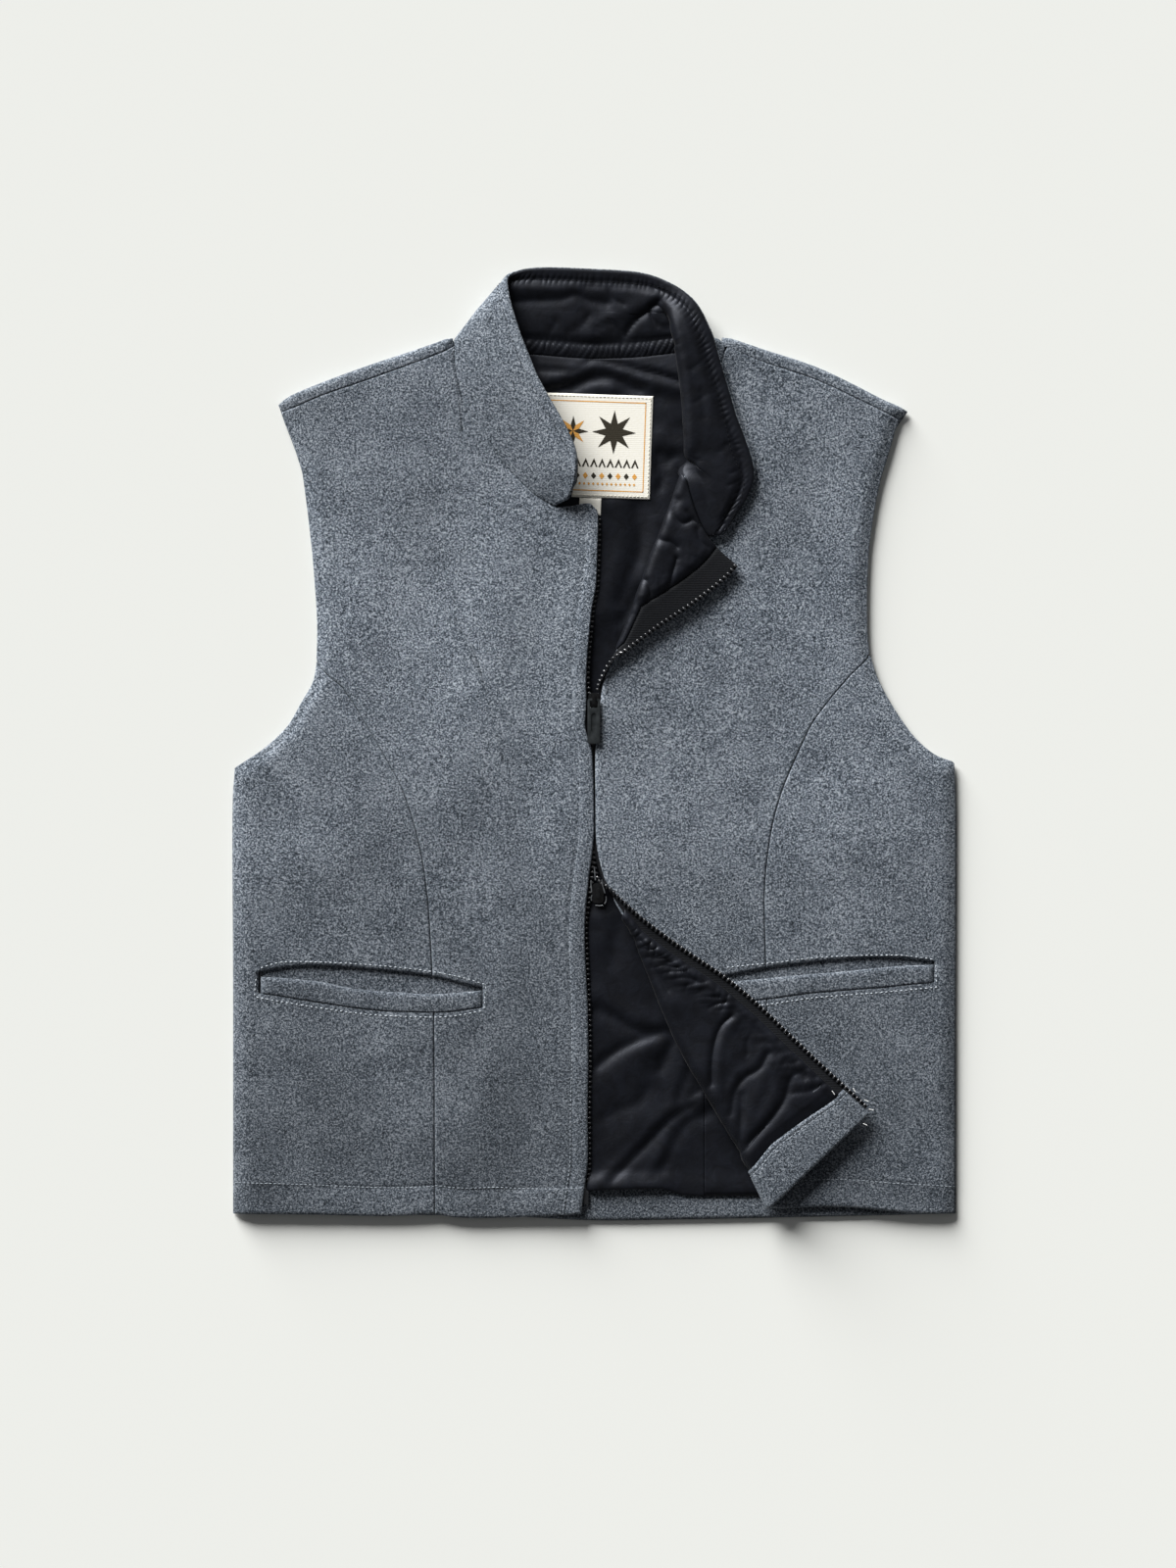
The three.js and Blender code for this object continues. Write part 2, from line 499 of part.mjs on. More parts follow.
function solidOf(geometry) {
  const bare = geometry.clone();
  bare.deleteAttribute('normal');
  bare.deleteAttribute('uv');
  const merged = mergeVertices(bare, 1e-4);
  return new wasm.Manifold(new wasm.Mesh({
    numProp: 3,
    vertProperties: new Float32Array(merged.attributes.position.array),
    triVerts: new Uint32Array(merged.index.array),
  }));
}

function geometryOf(solid) {
  const mesh = solid.getMesh();
  const geometry = new THREE.BufferGeometry();
  geometry.setAttribute('position', new THREE.Float32BufferAttribute(mesh.vertProperties, 3));
  geometry.setIndex(Array.from(mesh.triVerts));
  return geometry;
}

const vest = new THREE.Group();

function addPiece(name, geometry, finish) {
  const mesh = new THREE.Mesh(geometry, new THREE.MeshStandardMaterial(finish));
  mesh.name = name;
  vest.add(mesh);
}

// Height of a pocket line at x
const pocketLine = (list, x) => acrossAt(list.map(([px, py]) => [py, -px]), -x);

// Opening of a welt pocket, as a prism to cut with
function pocketSlot(pocket) {
  const xs = steps(POCKET.stations, pocket.lip[0][0], pocket.lip.at(-1)[0]);
  const upper = xs.map((x) => new THREE.Vector2(x, pocketLine(pocket.lip, x)));
  const lower = xs.map((x) => new THREE.Vector2(x, pocketLine(pocket.base, x))).reverse();
  const shape = new THREE.Shape([...upper, ...lower]);
  return solidOf(new THREE.ExtrudeGeometry(shape, { depth: POCKET.slotTop, bevelEnabled: false }));
}

const slots = { right: pocketSlot(POCKET_R), left: pocketSlot(POCKET_L) };
const withSlot = (geometry, slot) => geometryOf(solidOf(geometry).subtract(slot));

// Points of the side edge of a centre panel at the given heights: along the armhole, then down the seam
function panelSide(armhole, seam, heights, step) {
  return heights.map((y) => {
    const list = y > seam[0][1] ? armhole : seam;
    return plan(acrossAt(list, y) + (list === seam ? step : 0), y);
  });
}

// Side panel between the armhole, the side edge and the seam, from the points of the seam
function sidePanel(armhole, seam, step, hem) {
  const inner = seam.map((p) => plan(p.x + step, p.y));
  const tip = [acrossAt(armhole, inner[0].y), inner[0].y];
  const under = armhole.filter(([, y]) => y < inner[0].y);
  const sideX = Math.sign(tip[0]) * HALF_WIDTH;
  const edge = outline(
    { points: [tip, ...under], share: 0.3 },
    { points: [under.at(-1), ...SIDE_HEIGHTS.map((y) => [sideX, y])], share: 0.7 },
  );
  const total = inner[0].y - inner.at(-1).y;
  const outer = inner.map((p) => edge((inner[0].y - p.y) / total));
  const upper = outline({ points: [[inner[0].x, inner[0].y], tip], share: 1 });
  const foot = [inner.at(-1).x, inner.at(-1).y];
  const lower = outline({ points: [foot, ...[...hem].reverse().slice(1)], share: 1 });
  return gridBetween(inner, outer, upper, lower, stepsThrough(SIDE_COLUMNS)).map((row) => row.map(onFront));
}

function rightFront() {
  const armhole = [SHOULDER_SEAM_R[0], ...ARMHOLE_R.filter(([, y]) => y < 223)];
  const seam = panelSide(armhole, PRINCESS_R, RIGHT_HEIGHTS, 0);
  const side = panelSide(armhole, PRINCESS_R, RIGHT_HEIGHTS, SEAM_STEP);
  const edgeCurve = outline({ points: EDGE_R, share: 1 });
  const total = side[0].y - side.at(-1).y;
  const edge = side.map((p) => edgeCurve((side[0].y - p.y) / total));
  const top = outline(
    { points: SHOULDER_SEAM_R, share: 0.4 },
    { points: NECK_R, share: 0.44 },
    { points: TOP_R, share: 0.16 },
  );
  const hem = outline({ points: [[side.at(-1).x, HEM_Y], ...HEM_R.slice(1)], share: 1 });
  const grid = gridBetween(side, edge, top, hem, stepsThrough(RIGHT_COLUMNS)).map((row) => row.map(onFront));
  addPiece('front_right_centre', withSlot(wall(grid, -1, 0, WOOL), slots.right), FINISH.wool);

  const sideGrid = sidePanel(ARMHOLE_R, seam.filter((p) => p.y < PRINCESS_R[0][1]), -SEAM_STEP, HEM_SIDE_R);
  addPiece('front_right_side', withSlot(wall(sideGrid, 1, 0, WOOL), slots.right), FINISH.wool);
}

// Two stretches joined by a roll: flat to the roll, round it, then back over or on to the far end
function rolledSection(start, turn, end, roll, minRoll, counts) {
  const toStart = plan(start.x - turn.x, start.y - turn.y);
  const toEnd = plan(end.x - turn.x, end.y - turn.y);
  const reachStart = Math.min(Math.max(roll, minRoll), 0.5 * toStart.length());
  const reachEnd = Math.min(Math.max(roll, minRoll), 0.5 * toEnd.length());
  toStart.normalize();
  toEnd.normalize();
  const rise = (turn.z - roll - start.z) * (reachStart / Math.max(reachStart, start.distanceTo(turn)));
  const fall = (turn.z + roll - end.z) * (reachEnd / Math.max(reachEnd, end.distanceTo(turn)));
  const points = [];
  for (let i = 0; i <= counts.roll; i += 1) {
    const angle = lerp(-Math.PI / 2, Math.PI / 2, i / counts.roll);
    const open = 1 - Math.cos(angle);
    const point = turn.clone();
    if (angle < 0) point.addScaledVector(toStart, reachStart * open).add(plan(0, 0, -rise * open));
    else point.addScaledVector(toEnd, reachEnd * open).add(plan(0, 0, -fall * open));
    point.z += roll * Math.sin(angle);
    points.push(point);
  }
  const before = steps(counts.before).slice(0, -1).map((t) => mix(start, points[0], t));
  const after = steps(counts.after).slice(1).map((t) => {
    const p = mix(points.at(-1), end, t);
    p.z += 0.25 * fall * Math.sin(Math.PI * t);
    return p;
  });
  return [...before, ...points, ...after];
}


// One row of the left front at a position in its table, as points from the side to the zip edge
function leftRow(position) {
  const row = tableRow(LEFT_ROWS, position);
  const [side] = panelSide(LEFT_ARMHOLE, PRINCESS_L, [row.side], -SEAM_STEP);
  const start = onFront(side);
  const roll = Math.max(0, row.roll);
  const ground = frontHeight(row.fold[0] + roll, row.fold[1]);
  const turn = plan(row.fold[0], row.fold[1], ground + roll);
  const end = plan(row.free[0], row.free[1], ground + Math.max(0, row.lift));
  const counts = { before: LEFT.sideColumns, roll: LEFT.rollColumns, after: LEFT.freeColumns };
  const points = rolledSection(start, turn, end, roll, LEFT.minRoll, counts).map((p, j) => (
    j < LEFT.sideColumns ? onFront(p) : p
  ));
  const bow = Math.max(0, 1 - position / LAPEL_BOW.rows);
  const first = LEFT.sideColumns + LEFT.rollColumns;
  for (let j = first; j < points.length; j += 1) {
    const swing = bow * Math.sin((Math.PI * (j - first)) / LEFT.freeColumns);
    points[j].add(plan(LAPEL_BOW.x * swing, LAPEL_BOW.y * swing));
  }
  return { points, zip: row.zip };
}

// Point of a row at a distance from its zip edge; a negative distance lies past the edge
function fromEdge(points, distance) {
  let rest = distance;
  for (let i = points.length - 1; i > 0; i -= 1) {
    const length = points[i].distanceTo(points[i - 1]);
    if (rest <= length || i === 1) return mix(points[i], points[i - 1], rest / length);
    rest -= length;
  }
  return points[0].clone();
}

// Position in the left table where the row lies a given distance from the hem, along the zip edge
function positionAboveHem(distance) {
  let rest = distance;
  let previous = leftRow(LAST_LEFT).points.at(-1);
  for (let position = LAST_LEFT - POSITION_STEP; position > 0; position -= POSITION_STEP) {
    const point = leftRow(position).points.at(-1);
    rest -= point.distanceTo(previous);
    if (rest <= 0) return position;
    previous = point;
  }
  return 0;
}

const TURN_UP_START = positionAboveHem(TURN_UP);
const wholePositions = steps(LAST_LEFT, 0, LAST_LEFT);
const leftPositions = [...wholePositions, ...TWISTS, SEAM_TIP, TURN_UP_START].sort((a, b) => a - b);
const leftRows = leftPositions.map((position) => ({ position, ...leftRow(position) }));

// Length along a row from its zip edge to one of its points
function arcTo(points, index) {
  let length = 0;
  for (let i = points.length - 1; i > index; i -= 1) length += points[i].distanceTo(points[i - 1]);
  return length;
}

const rowsBetween = (first, last) => (
  leftRows.filter(({ position }) => position >= first && position <= last)
);

// Edge of the tape away from the teeth. It shows as far as the roll of the lapel, and on the flap
// the lining covers all but a narrow part.
function tapeFar({ position, points, zip }) {
  const near = TEETH.width + TAPE.gap - zip;
  const full = near + (position > CLOSED.last ? TAPE.onFlap : TAPE.width);
  if (position >= CLOSED.first && position <= CLOSED.last) return full;
  return Math.max(Math.min(full, arcTo(points, ROLL_END) - GAP), near + TAPE.least);
}

// Strip of the left front between two distances from the zip edge
function leftStrip(rows, near, far, count) {
  return rows.map((row) => (
    steps(count, far(row), near(row)).map((distance) => fromEdge(row.points, distance))
  ));
}

// Strip of the left front from points of the roll to a distance from the zip edge
function rolledStrip(rows, firstOnRoll, near, count) {
  return rows.map((row) => {
    const onRoll = row.points.slice(LEFT.sideColumns + firstOnRoll, ROLL_END + 1);
    const free = steps(count, arcTo(row.points, ROLL_END), near(row)).slice(1);
    return [...onRoll, ...free.map((distance) => fromEdge(row.points, distance))];
  });
}

// Row where the lining of the flap ends and the turn-up starts: it slants up from the tape to the fold
function slantedRow(shape) {
  const [above, below] = [TURN_UP_TOP, TURN_UP_START].map((position) => ({ position, ...leftRow(position) }));
  const edge = below.points.at(-1);
  const upper = shape(above);
  return shape(below).map((p, j) => {
    const share = (p.distanceTo(edge) - SLANT.clear) / SLANT.run;
    return mix(p, upper[j], clamp(share, 0, 1));
  });
}

function liningRow(row) {
  const [visible] = rolledStrip([row], 0, (r) => tapeFar(r) + GAP, LEFT.freeColumns);
  const arc = arcTo(row.points, LEFT.sideColumns);
  return [fromEdge(row.points, arc + LINING_REACH), ...visible];
}

function leftFront() {
  const collarEnd = leftRows[0].points;
  const corner = collarEnd[LEFT.sideColumns];
  const neck = outline({ points: [...NECK_L, [corner.x, corner.y]], share: 1 });
  const armholeHeights = steps(LEFT.neckRows, SHOULDER_SEAM_L[0][1], LEFT_ROWS[0].side);
  const band = gridBetween(
    panelSide(LEFT_ARMHOLE, PRINCESS_L, armholeHeights, 0),
    steps(LEFT.neckRows).map(neck),
    outline({ points: SHOULDER_SEAM_L, share: 1 }),
    (u) => mix(collarEnd[0], corner, u).setZ(0),
    steps(LEFT.sideColumns),
  );
  const missing = Array(LEFT.rollColumns + LEFT.freeColumns).fill(null);
  const above = band.slice(0, -1).map((row) => [...row.map(onFront), ...missing]);
  const wool = [...above, ...leftRows.map(({ points }) => points)];
  addPiece('front_left_centre', withSlot(wall(wool, 1, 0, WOOL), slots.left), FINISH.wool);

  const onSeam = leftPositions.filter((position) => position >= SEAM_TIP);
  const heights = onSeam.map((position) => tableRow(LEFT_ROWS, position).side);
  const seam = panelSide(LEFT_ARMHOLE, PRINCESS_L, heights, 0);
  const grid = sidePanel(ARMHOLE_L, seam, SEAM_STEP, HEM_SIDE_L);
  addPiece('front_left_side', withSlot(wall(grid, -1, 0, WOOL), slots.left), FINISH.wool);

  const onLapel = rowsBetween(0, LAPEL_END).map(liningRow);
  addPiece('lapel_lining', wall(onLapel, 1, -GAP - SATIN, -GAP), FINISH.satin);
  const onFlap = [...rowsBetween(FLAP_START, TURN_UP_TOP).map(liningRow), slantedRow(liningRow)];
  addPiece('flap_lining', wall(onFlap, 1, -GAP - SATIN, -GAP), FINISH.satin);

  const turnUpRow = (row) => rolledStrip([row], TURN_UP_FIRST, () => GAP, LEFT.freeColumns)[0];
  const lower = steps(TURN_UP_ROWS, TURN_UP_START, LAST_LEFT).slice(1);
  const hemBand = [
    slantedRow(turnUpRow),
    ...lower.map((position) => turnUpRow({ position, ...leftRow(position) })),
  ];
  hemBand[0] = hemBand[0].map((p, j) => mix(p, hemBand[1][j], SLANT.gap / p.distanceTo(hemBand[1][j])));
  addPiece('front_left_turn_up', wall(hemBand, 1, -GAP - WOOL, -GAP), FINISH.wool);

  const zipRows = rowsBetween(0, TURN_UP_START);
  const tape = leftStrip(zipRows, ({ zip }) => TEETH.width + TAPE.gap - zip, tapeFar, 3);
  addPiece('zip_tape_left', wall(tape, 1, -TAPE.bottom, -TAPE.top), FINISH.tape);
  const teeth = leftStrip(zipRows, ({ zip }) => -zip, ({ zip }) => TEETH.width - zip, 1);
  addPiece('zip_teeth_left', wall(teeth, 1, -TEETH.bottom, -TEETH.top), FINISH.teeth);
}

function rightZip() {
  const strip = (near, far, count) => steps(ZIP_ROWS).map((v) => {
    const y = lerp(ZIP_TOP_Y, ZIP_END_Y, v);
    const x = acrossAt(TEETH_LINE_R, y);
    return steps(count, x - far, x - near).map((px) => plan(px, y, frontHeight(x - TEETH.width, y)));
  });
  const teeth = strip(0, TEETH.width, 1);
  addPiece('zip_teeth_right', wall(teeth, -1, -TEETH.bottom, -TEETH.top), FINISH.teeth);
  const start = TEETH.width + GAP;
  const tape = strip(start, start + TAPE.width, 2).map((row) => row.map((p) => onFront(p)));
  addPiece('zip_tape_right', wall(tape, -1, -TAPE.bottom, -TAPE.top), FINISH.tape);
  const pin = new THREE.BoxGeometry(PIN.width, PIN.length, PIN.depth);
  pin.translate(PIN.x, ZIP_END_Y - PIN.drop, PIN.z);
  addPiece('zip_pin', pin, FINISH.teeth);
}

// Back: lies flat, and comes forward over each shoulder to the seam on the front
function back() {
  const moved = (armhole, step) => armhole.slice(1).map(([x, y]) => [x + step, y]);
  const sideR = outline(
    { points: [SHOULDER_EDGE_R[0], ...moved(ARMHOLE_R, BACK_ARMHOLE_STEP)], share: 0.45 },
    { points: BACK_SIDE_R, share: 0.55 },
  );
  const sideL = outline(
    { points: [SHOULDER_EDGE_L[0], ...moved(ARMHOLE_L, -BACK_ARMHOLE_STEP)], share: 0.45 },
    { points: BACK_SIDE_L, share: 0.55 },
  );
  const neck = outline({ points: NECK_BACK, share: 1 });
  const shoulders = [
    { edge: SHOULDER_EDGE_R, seam: SHOULDER_SEAM_R, away: -STRIP_INSET },
    { edge: SHOULDER_EDGE_L, seam: SHOULDER_SEAM_L, away: STRIP_INSET },
  ].map(({ edge, seam, away }) => steps(SHOULDER_STEPS).map((u) => {
    const clear = plan(away * u, 0);
    const seamPoint = outline({ points: seam, share: 1 })(u).add(clear).add(plan(0, GAP));
    const top = outline({ points: edge, share: 1 })(u).add(clear);
    const room = frontHeight(seamPoint.x, seamPoint.y) - BACK_REST;
    const radius = Math.max(MIN_SHOULDER_RADIUS, room / 2);
    const turned = SHOULDER_TURN.map((share) => {
      const angle = Math.PI * share;
      const depth = WOOL + radius * (1 - Math.sin(angle));
      return plan(top.x, top.y - depth, BACK_REST + radius * (1 - Math.cos(angle)));
    });
    const over = [seamPoint.setZ(BACK_REST + 2 * radius), ...turned];
    return { over, flat: top.add(plan(0, -WOOL - radius)) };
  }));
  const nothing = Array(SHOULDER_TURN.length + 1).fill(null);
  const overNeck = steps(NECK_STEPS).slice(1, -1).map((u) => ({ over: nothing, flat: neck(u) }));
  const columns = [...shoulders[0], ...overNeck, ...shoulders[1].reverse()];
  const last = columns.length - 1;
  const hem = outline({ points: BACK_HEM, share: 1 });
  const upper = (u) => columns[Math.round(u * last)].flat.clone();
  const body = coons(sideR, sideL, upper, hem);
  const flat = gridOf((u, v) => body(u, v).setZ(BACK_REST), steps(last), stepsThrough(BACK_STEPS));
  const over = columns[0].over.map((_, i) => columns.map((column) => column.over[i]));
  addPiece('back_panel', wall([...over, ...flat], 1, 0, WOOL), FINISH.wool);
}

function backLining() {
  const top = (list) => outline({ points: list, share: 1 });
  const hemY = HEM_Y + LINING.hemRise;
  const lay = (p) => plan(p.x, p.y, liningHeight(p.x, p.y));
  const neck = NECK_BACK.filter(([x]) => Math.abs(x) < LINING.seamX - 1).map(([x, y]) => [x, y - GAP]);
  const centre = coons(
    top([[-LINING.seamX, LINING.right], [-LINING.seamX, hemY]]),
    top([[LINING.seamX, LINING.left], [LINING.seamX, hemY]]),
    top([[-LINING.seamX, LINING.right], ...neck, [LINING.seamX, LINING.left]]),
    top([[-LINING.seamX, hemY], [LINING.seamX, hemY]]),
  );
  const grid = gridOf((u, v) => lay(centre(u, v)), steps(8), steps(20));
  addPiece('back_lining_centre', wall(grid, -1, 0, SATIN), FINISH.satin);
  const sides = [
    { name: 'back_lining_right', sign: -1, armhole: ARMHOLE_R, shoulder: LINING_SHOULDER_R },
    { name: 'back_lining_left', sign: 1, armhole: ARMHOLE_L, shoulder: LINING_SHOULDER_L },
  ];
  for (const { name, sign, armhole, shoulder } of sides) {
    const inner = armhole.slice(2, -3).map(([x, y]) => [x - sign * LINING.inset, y - 3]);
    const edgeX = sign * (HALF_WIDTH - LINING.inset);
    const seamX = sign * (LINING.seamX + GAP);
    const outer = outline(
      { points: [shoulder[0], ...inner, [edgeX, LINING.armholeY]], share: 0.5 },
      { points: [[edgeX, LINING.armholeY], [edgeX, hemY]], share: 0.5 },
    );
    const seam = top([[seamX, LINING.side], [seamX, hemY]]);
    const upper = top([...shoulder, [seamX, LINING.side]]);
    const lower = top([[edgeX, hemY], [seamX, hemY]]);
    const patch = coons(outer, seam, upper, lower);
    const side = gridOf((u, v) => lay(patch(u, v)), steps(4), steps(14));
    addPiece(name, wall(side, sign, 0, SATIN), FINISH.satin);
  }
  const band = coons(
    top([[-BACK_TURN_UP_X, hemY - GAP], [-BACK_TURN_UP_X, HEM_Y]]),
    top([[BACK_TURN_UP_X, hemY - GAP], [BACK_TURN_UP_X, HEM_Y]]),
    top([[-BACK_TURN_UP_X, hemY - GAP], [BACK_TURN_UP_X, hemY - GAP]]),
    top(BACK_TURN_UP_HEM),
  );
  const turned = gridOf((u, v) => band(u, v).setZ(BACK_LINING), steps(16), steps(2));
  addPiece('back_turn_up', wall(turned, -1, 0, WOOL - TURN_UP_FLAT), FINISH.wool);
}

// Points of the seam between the collar and the lapel, at distances along the top row of the lapel
function lapelSeam() {
  const top = leftRows[0].points;
  const arc = arcTo(top, LEFT.sideColumns);
  return LAPEL_SEAM.map((distance) => fromEdge(top, arc - distance).add(plan(LAPEL_GAP.x, LAPEL_GAP.y)));
}

function collar() {
  const counts = { before: COLLAR.lowColumns, roll: COLLAR.rollColumns, after: COLLAR.highColumns };
  const onLapel = lapelSeam();
  const grid = COLLAR_ROWS.map((row, i) => {
    const [turn, top] = [plan(...row.turn), plan(...row.top)];
    const lapelPoint = onLapel[i - (COLLAR_ROWS.length - onLapel.length)];
    const seam = lapelPoint ?? plan(...row.seam);
    if (!lapelPoint) {
      const inward = plan(turn.x - seam.x, turn.y - seam.y);
      const slope = Math.atan2(Math.max(0, turn.z - row.roll - seam.z), inward.length());
      seam.addScaledVector(inward.normalize(), COLLAR_GAP + WOOL * Math.sin(slope));
    }
    return rolledSection(seam, turn, top, row.roll, COLLAR.minRoll, counts);
  });
  addPiece('collar_outer', wall(grid, 1, 0, WOOL), FINISH.wool);
  addPiece('collar_lining', wall(grid, 1, -GAP - SATIN, -GAP), FINISH.satin);
}

function pocketPieces(side, pocket) {
  const [x0, x1] = [pocket.lip[0][0], pocket.lip.at(-1)[0]];
  const across = (inset) => steps(POCKET.stations, x0 + inset, x1 - inset);
  const strip = (low, high, inset) => steps(2).map((v) => (
    across(inset).map((x) => onFront(plan(x, lerp(high(x), low(x), v))))
  ));
  const welt = strip((x) => pocketLine(pocket.base, x) + GAP, (x) => pocketLine(pocket.welt, x), GAP);
  addPiece(`pocket_welt_${side}`, wall(welt, -1, GAP, WOOL + POCKET.weltRise), FINISH.wool);
  const low = (x) => pocketLine(pocket.base, x) - POCKET.overlap;
  const facing = strip(low, (x) => pocketLine(pocket.lip, x) + POCKET.overlap, -POCKET.reach);
  const behind = -POCKET.facingGap;
  addPiece(`pocket_facing_${side}`, wall(facing, -1, behind - POCKET.facing, behind), FINISH.wool);
}

function patchOnLining(name, sheet) {
  const grid = steps(2).map((v) => steps(4, sheet.left, sheet.right).map((x) => {
    const y = lerp(sheet.top, sheet.bottom, v);
    return plan(x, y, liningHeight(x, y) + SATIN + GAP);
  }));
  addPiece(name, wall(grid, -1, 0, sheet.thick), FINISH.label);
}

const block = (sx, sy, sz, x, y, z) => solidOf(new THREE.BoxGeometry(sx, sy, sz).translate(x, y, z + sz / 2));

function rounded(width, length, radius, depth) {
  const [w, l] = [width / 2, length / 2];
  const shape = new THREE.Shape();
  shape.moveTo(-w + radius, -l);
  shape.lineTo(w - radius, -l);
  shape.absarc(w - radius, -l + radius, radius, -Math.PI / 2, 0);
  shape.lineTo(w, l - radius);
  shape.absarc(w - radius, l - radius, radius, 0, Math.PI / 2);
  shape.lineTo(-w + radius, l);
  shape.absarc(-w + radius, l - radius, radius, Math.PI / 2, Math.PI);
  shape.lineTo(-w, -l + radius);
  shape.absarc(-w + radius, -l + radius, radius, Math.PI, Math.PI * 1.5);
  return new THREE.ExtrudeGeometry(shape, { depth, bevelEnabled: false, curveSegments: 4 });
}

// Slider: two plates with the chain between them, a post where the chains part, and a bridge on top
function slider(name, size, postSide) {
  const plate = (thick, z) => (
    solidOf(rounded(size.width, size.length, PLATE.corner, thick).translate(size.x, size.y, z))
  );
  const postY = size.y + postSide * (size.length / 2 - POST.inset);
  const post = block(POST.width, POST.length, PLATE.high - PLATE.low, size.x, postY, PLATE.low);
  const legZ = PLATE.high + PLATE.thick - BRIDGE.sink;
  const leg = (y) => block(BRIDGE.width, BRIDGE.leg, BRIDGE.rise + BRIDGE.sink, size.x, y, legZ);
  const roof = PLATE.high + PLATE.thick + BRIDGE.rise - BRIDGE.lap;
  const cap = block(BRIDGE.width, 2 * BRIDGE.halfLength, BRIDGE.top, size.x, size.y, roof);
  const legY = BRIDGE.halfLength - BRIDGE.leg / 2;
  const bridge = leg(size.y + legY).add(leg(size.y - legY)).add(cap);
  const body = plate(PLATE.thin, PLATE.low).add(plate(PLATE.thick, PLATE.high)).add(post).add(bridge);
  addPiece(name, geometryOf(body), FINISH.slider);
}

// Pull: a bar under the bridge, two arms and a flat tab, hinged about the bar
function pull() {
  const { axisZ, bar, width, eye, length, tabTop, plate } = PULL;
  const ring = eye + bar + PULL_CORNER.overlap;
  const arms = rounded(width, ring, PULL_CORNER.frame, bar).translate(0, (bar - ring) / 2, -bar / 2);
  const reach = eye - bar / 2;
  const hole = block(width - 2 * bar, reach, PULL_CORNER.hole, 0, -(bar + reach) / 2, -PULL_CORNER.hole / 2);
  const tabLength = length - eye;
  const middle = -eye - tabLength / 2;
  const tab = rounded(width, tabLength, PULL_CORNER.tab, plate + tabTop).translate(0, middle, -plate);
  const slot = rounded(WINDOW.width, WINDOW.length, WINDOW.corner, WINDOW.depth);
  const window = slot.translate(0, middle + WINDOW.up, tabTop - WINDOW.cut);
  const body = solidOf(arms).subtract(hole).add(solidOf(tab)).subtract(solidOf(window));
  const geometry = geometryOf(body).translate(SLIDER_TOP.x, SLIDER_TOP.y, axisZ);
  addPiece('zip_pull_top', geometry, FINISH.pull);
}

back();
backLining();
rightFront();
leftFront();
rightZip();
collar();
pocketPieces('right', POCKET_R);
pocketPieces('left', POCKET_L);
patchOnLining('neck_label', BRAND_LABEL);
patchOnLining('size_tab', SIZE_TAB);
slider('zip_slider_top', SLIDER_TOP, 1);
slider('zip_slider_low', SLIDER_LOW, -1);
pull();

export default vest;
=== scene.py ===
"""A sleeveless wool vest laid out flat, its zip partly open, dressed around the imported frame.

Lengths are millimetres until a mesh is made. +X is the wearer's left, +Y the collar, +Z up.
"""

import logging
import math
from dataclasses import dataclass, field
from enum import Enum
from functools import partial
from typing import Any, Callable, Optional, Sequence

import bpy
import numpy as np
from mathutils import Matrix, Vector


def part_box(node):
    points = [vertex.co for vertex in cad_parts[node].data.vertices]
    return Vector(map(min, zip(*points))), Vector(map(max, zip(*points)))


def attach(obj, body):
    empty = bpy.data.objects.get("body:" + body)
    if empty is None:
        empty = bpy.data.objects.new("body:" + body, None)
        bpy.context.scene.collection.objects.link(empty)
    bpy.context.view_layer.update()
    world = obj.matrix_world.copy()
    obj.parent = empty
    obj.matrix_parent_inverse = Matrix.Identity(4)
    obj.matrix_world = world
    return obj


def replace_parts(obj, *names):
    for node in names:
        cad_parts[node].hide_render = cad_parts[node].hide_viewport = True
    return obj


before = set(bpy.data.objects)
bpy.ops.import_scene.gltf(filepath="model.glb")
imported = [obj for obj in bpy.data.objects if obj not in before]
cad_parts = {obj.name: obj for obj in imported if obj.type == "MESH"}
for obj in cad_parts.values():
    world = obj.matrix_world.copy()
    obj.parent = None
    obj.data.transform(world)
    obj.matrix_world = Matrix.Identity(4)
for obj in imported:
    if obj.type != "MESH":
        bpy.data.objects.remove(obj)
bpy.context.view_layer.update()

MM = 0.001
BODY = "vest"
PULL_BODY = "pull"

log = logging.getLogger("vest")

Array = np.ndarray
Line = Sequence[tuple[float, float]]
Curve = Callable[[Array], Array]

# Driving sizes of the garment
HALF_WIDTH = 246.9
HEM_Y = -321.0
BACK_HEM_Y = -325.6
WOOL = 2.0
SATIN = 1.0
GAP = 0.3
TURN_UP = 25.0
SEAM_STEP = 0.15
BACK_REST = 2.0
BACK_LINING = 2.3
FRONT_REST = 5.6
PLACKET_RISE = 1.7
PLACKET_WIDTH = 35.0
EDGE_DROP = 3.1
EDGE_REACH = 6.0
TEETH_WIDTH = 2.6
TAPE_WIDTH = 14.1
TAPE_ON_FLAP = 6.0
TAPE_GAP = 1.15
TAPE_LEAST = 1.0
ZIP_END_Y = -299.0

# Outlines in plan, running down the garment or from the wearer's right to the left
ARMHOLE_R: Line = (
    (-215.5, 233), (-212.5, 222.5), (-206, 205.5), (-199.5, 185), (-194, 140.5), (-191.5, 114.5),
    (-189.5, 84), (-190, 54.5), (-192.5, 42), (-200.5, 28), (-209.5, 12.5), (-225, -2.5), (-239, -12),
    (-246, -16.5),
)
ARMHOLE_L: Line = (
    (213.5, 228.5), (206, 216.5), (202, 201.5), (196, 181.5), (192, 163), (188, 136), (186.5, 109),
    (186.5, 78.5), (188, 62.5), (194, 44), (204, 25.5), (219, 4.5), (233, -7.5), (246, -12.5),
)
PRINCESS_R: Line = (
    (-189.5, 56), (-180.5, 45), (-172.5, 39), (-164, 27), (-153, 8), (-142, -10.5), (-131.5, -30),
    (-123.5, -53.5), (-117.5, -78.5), (-113.5, -109), (-111, -151.5), (-109.5, -187.5), (-109, -321),
)
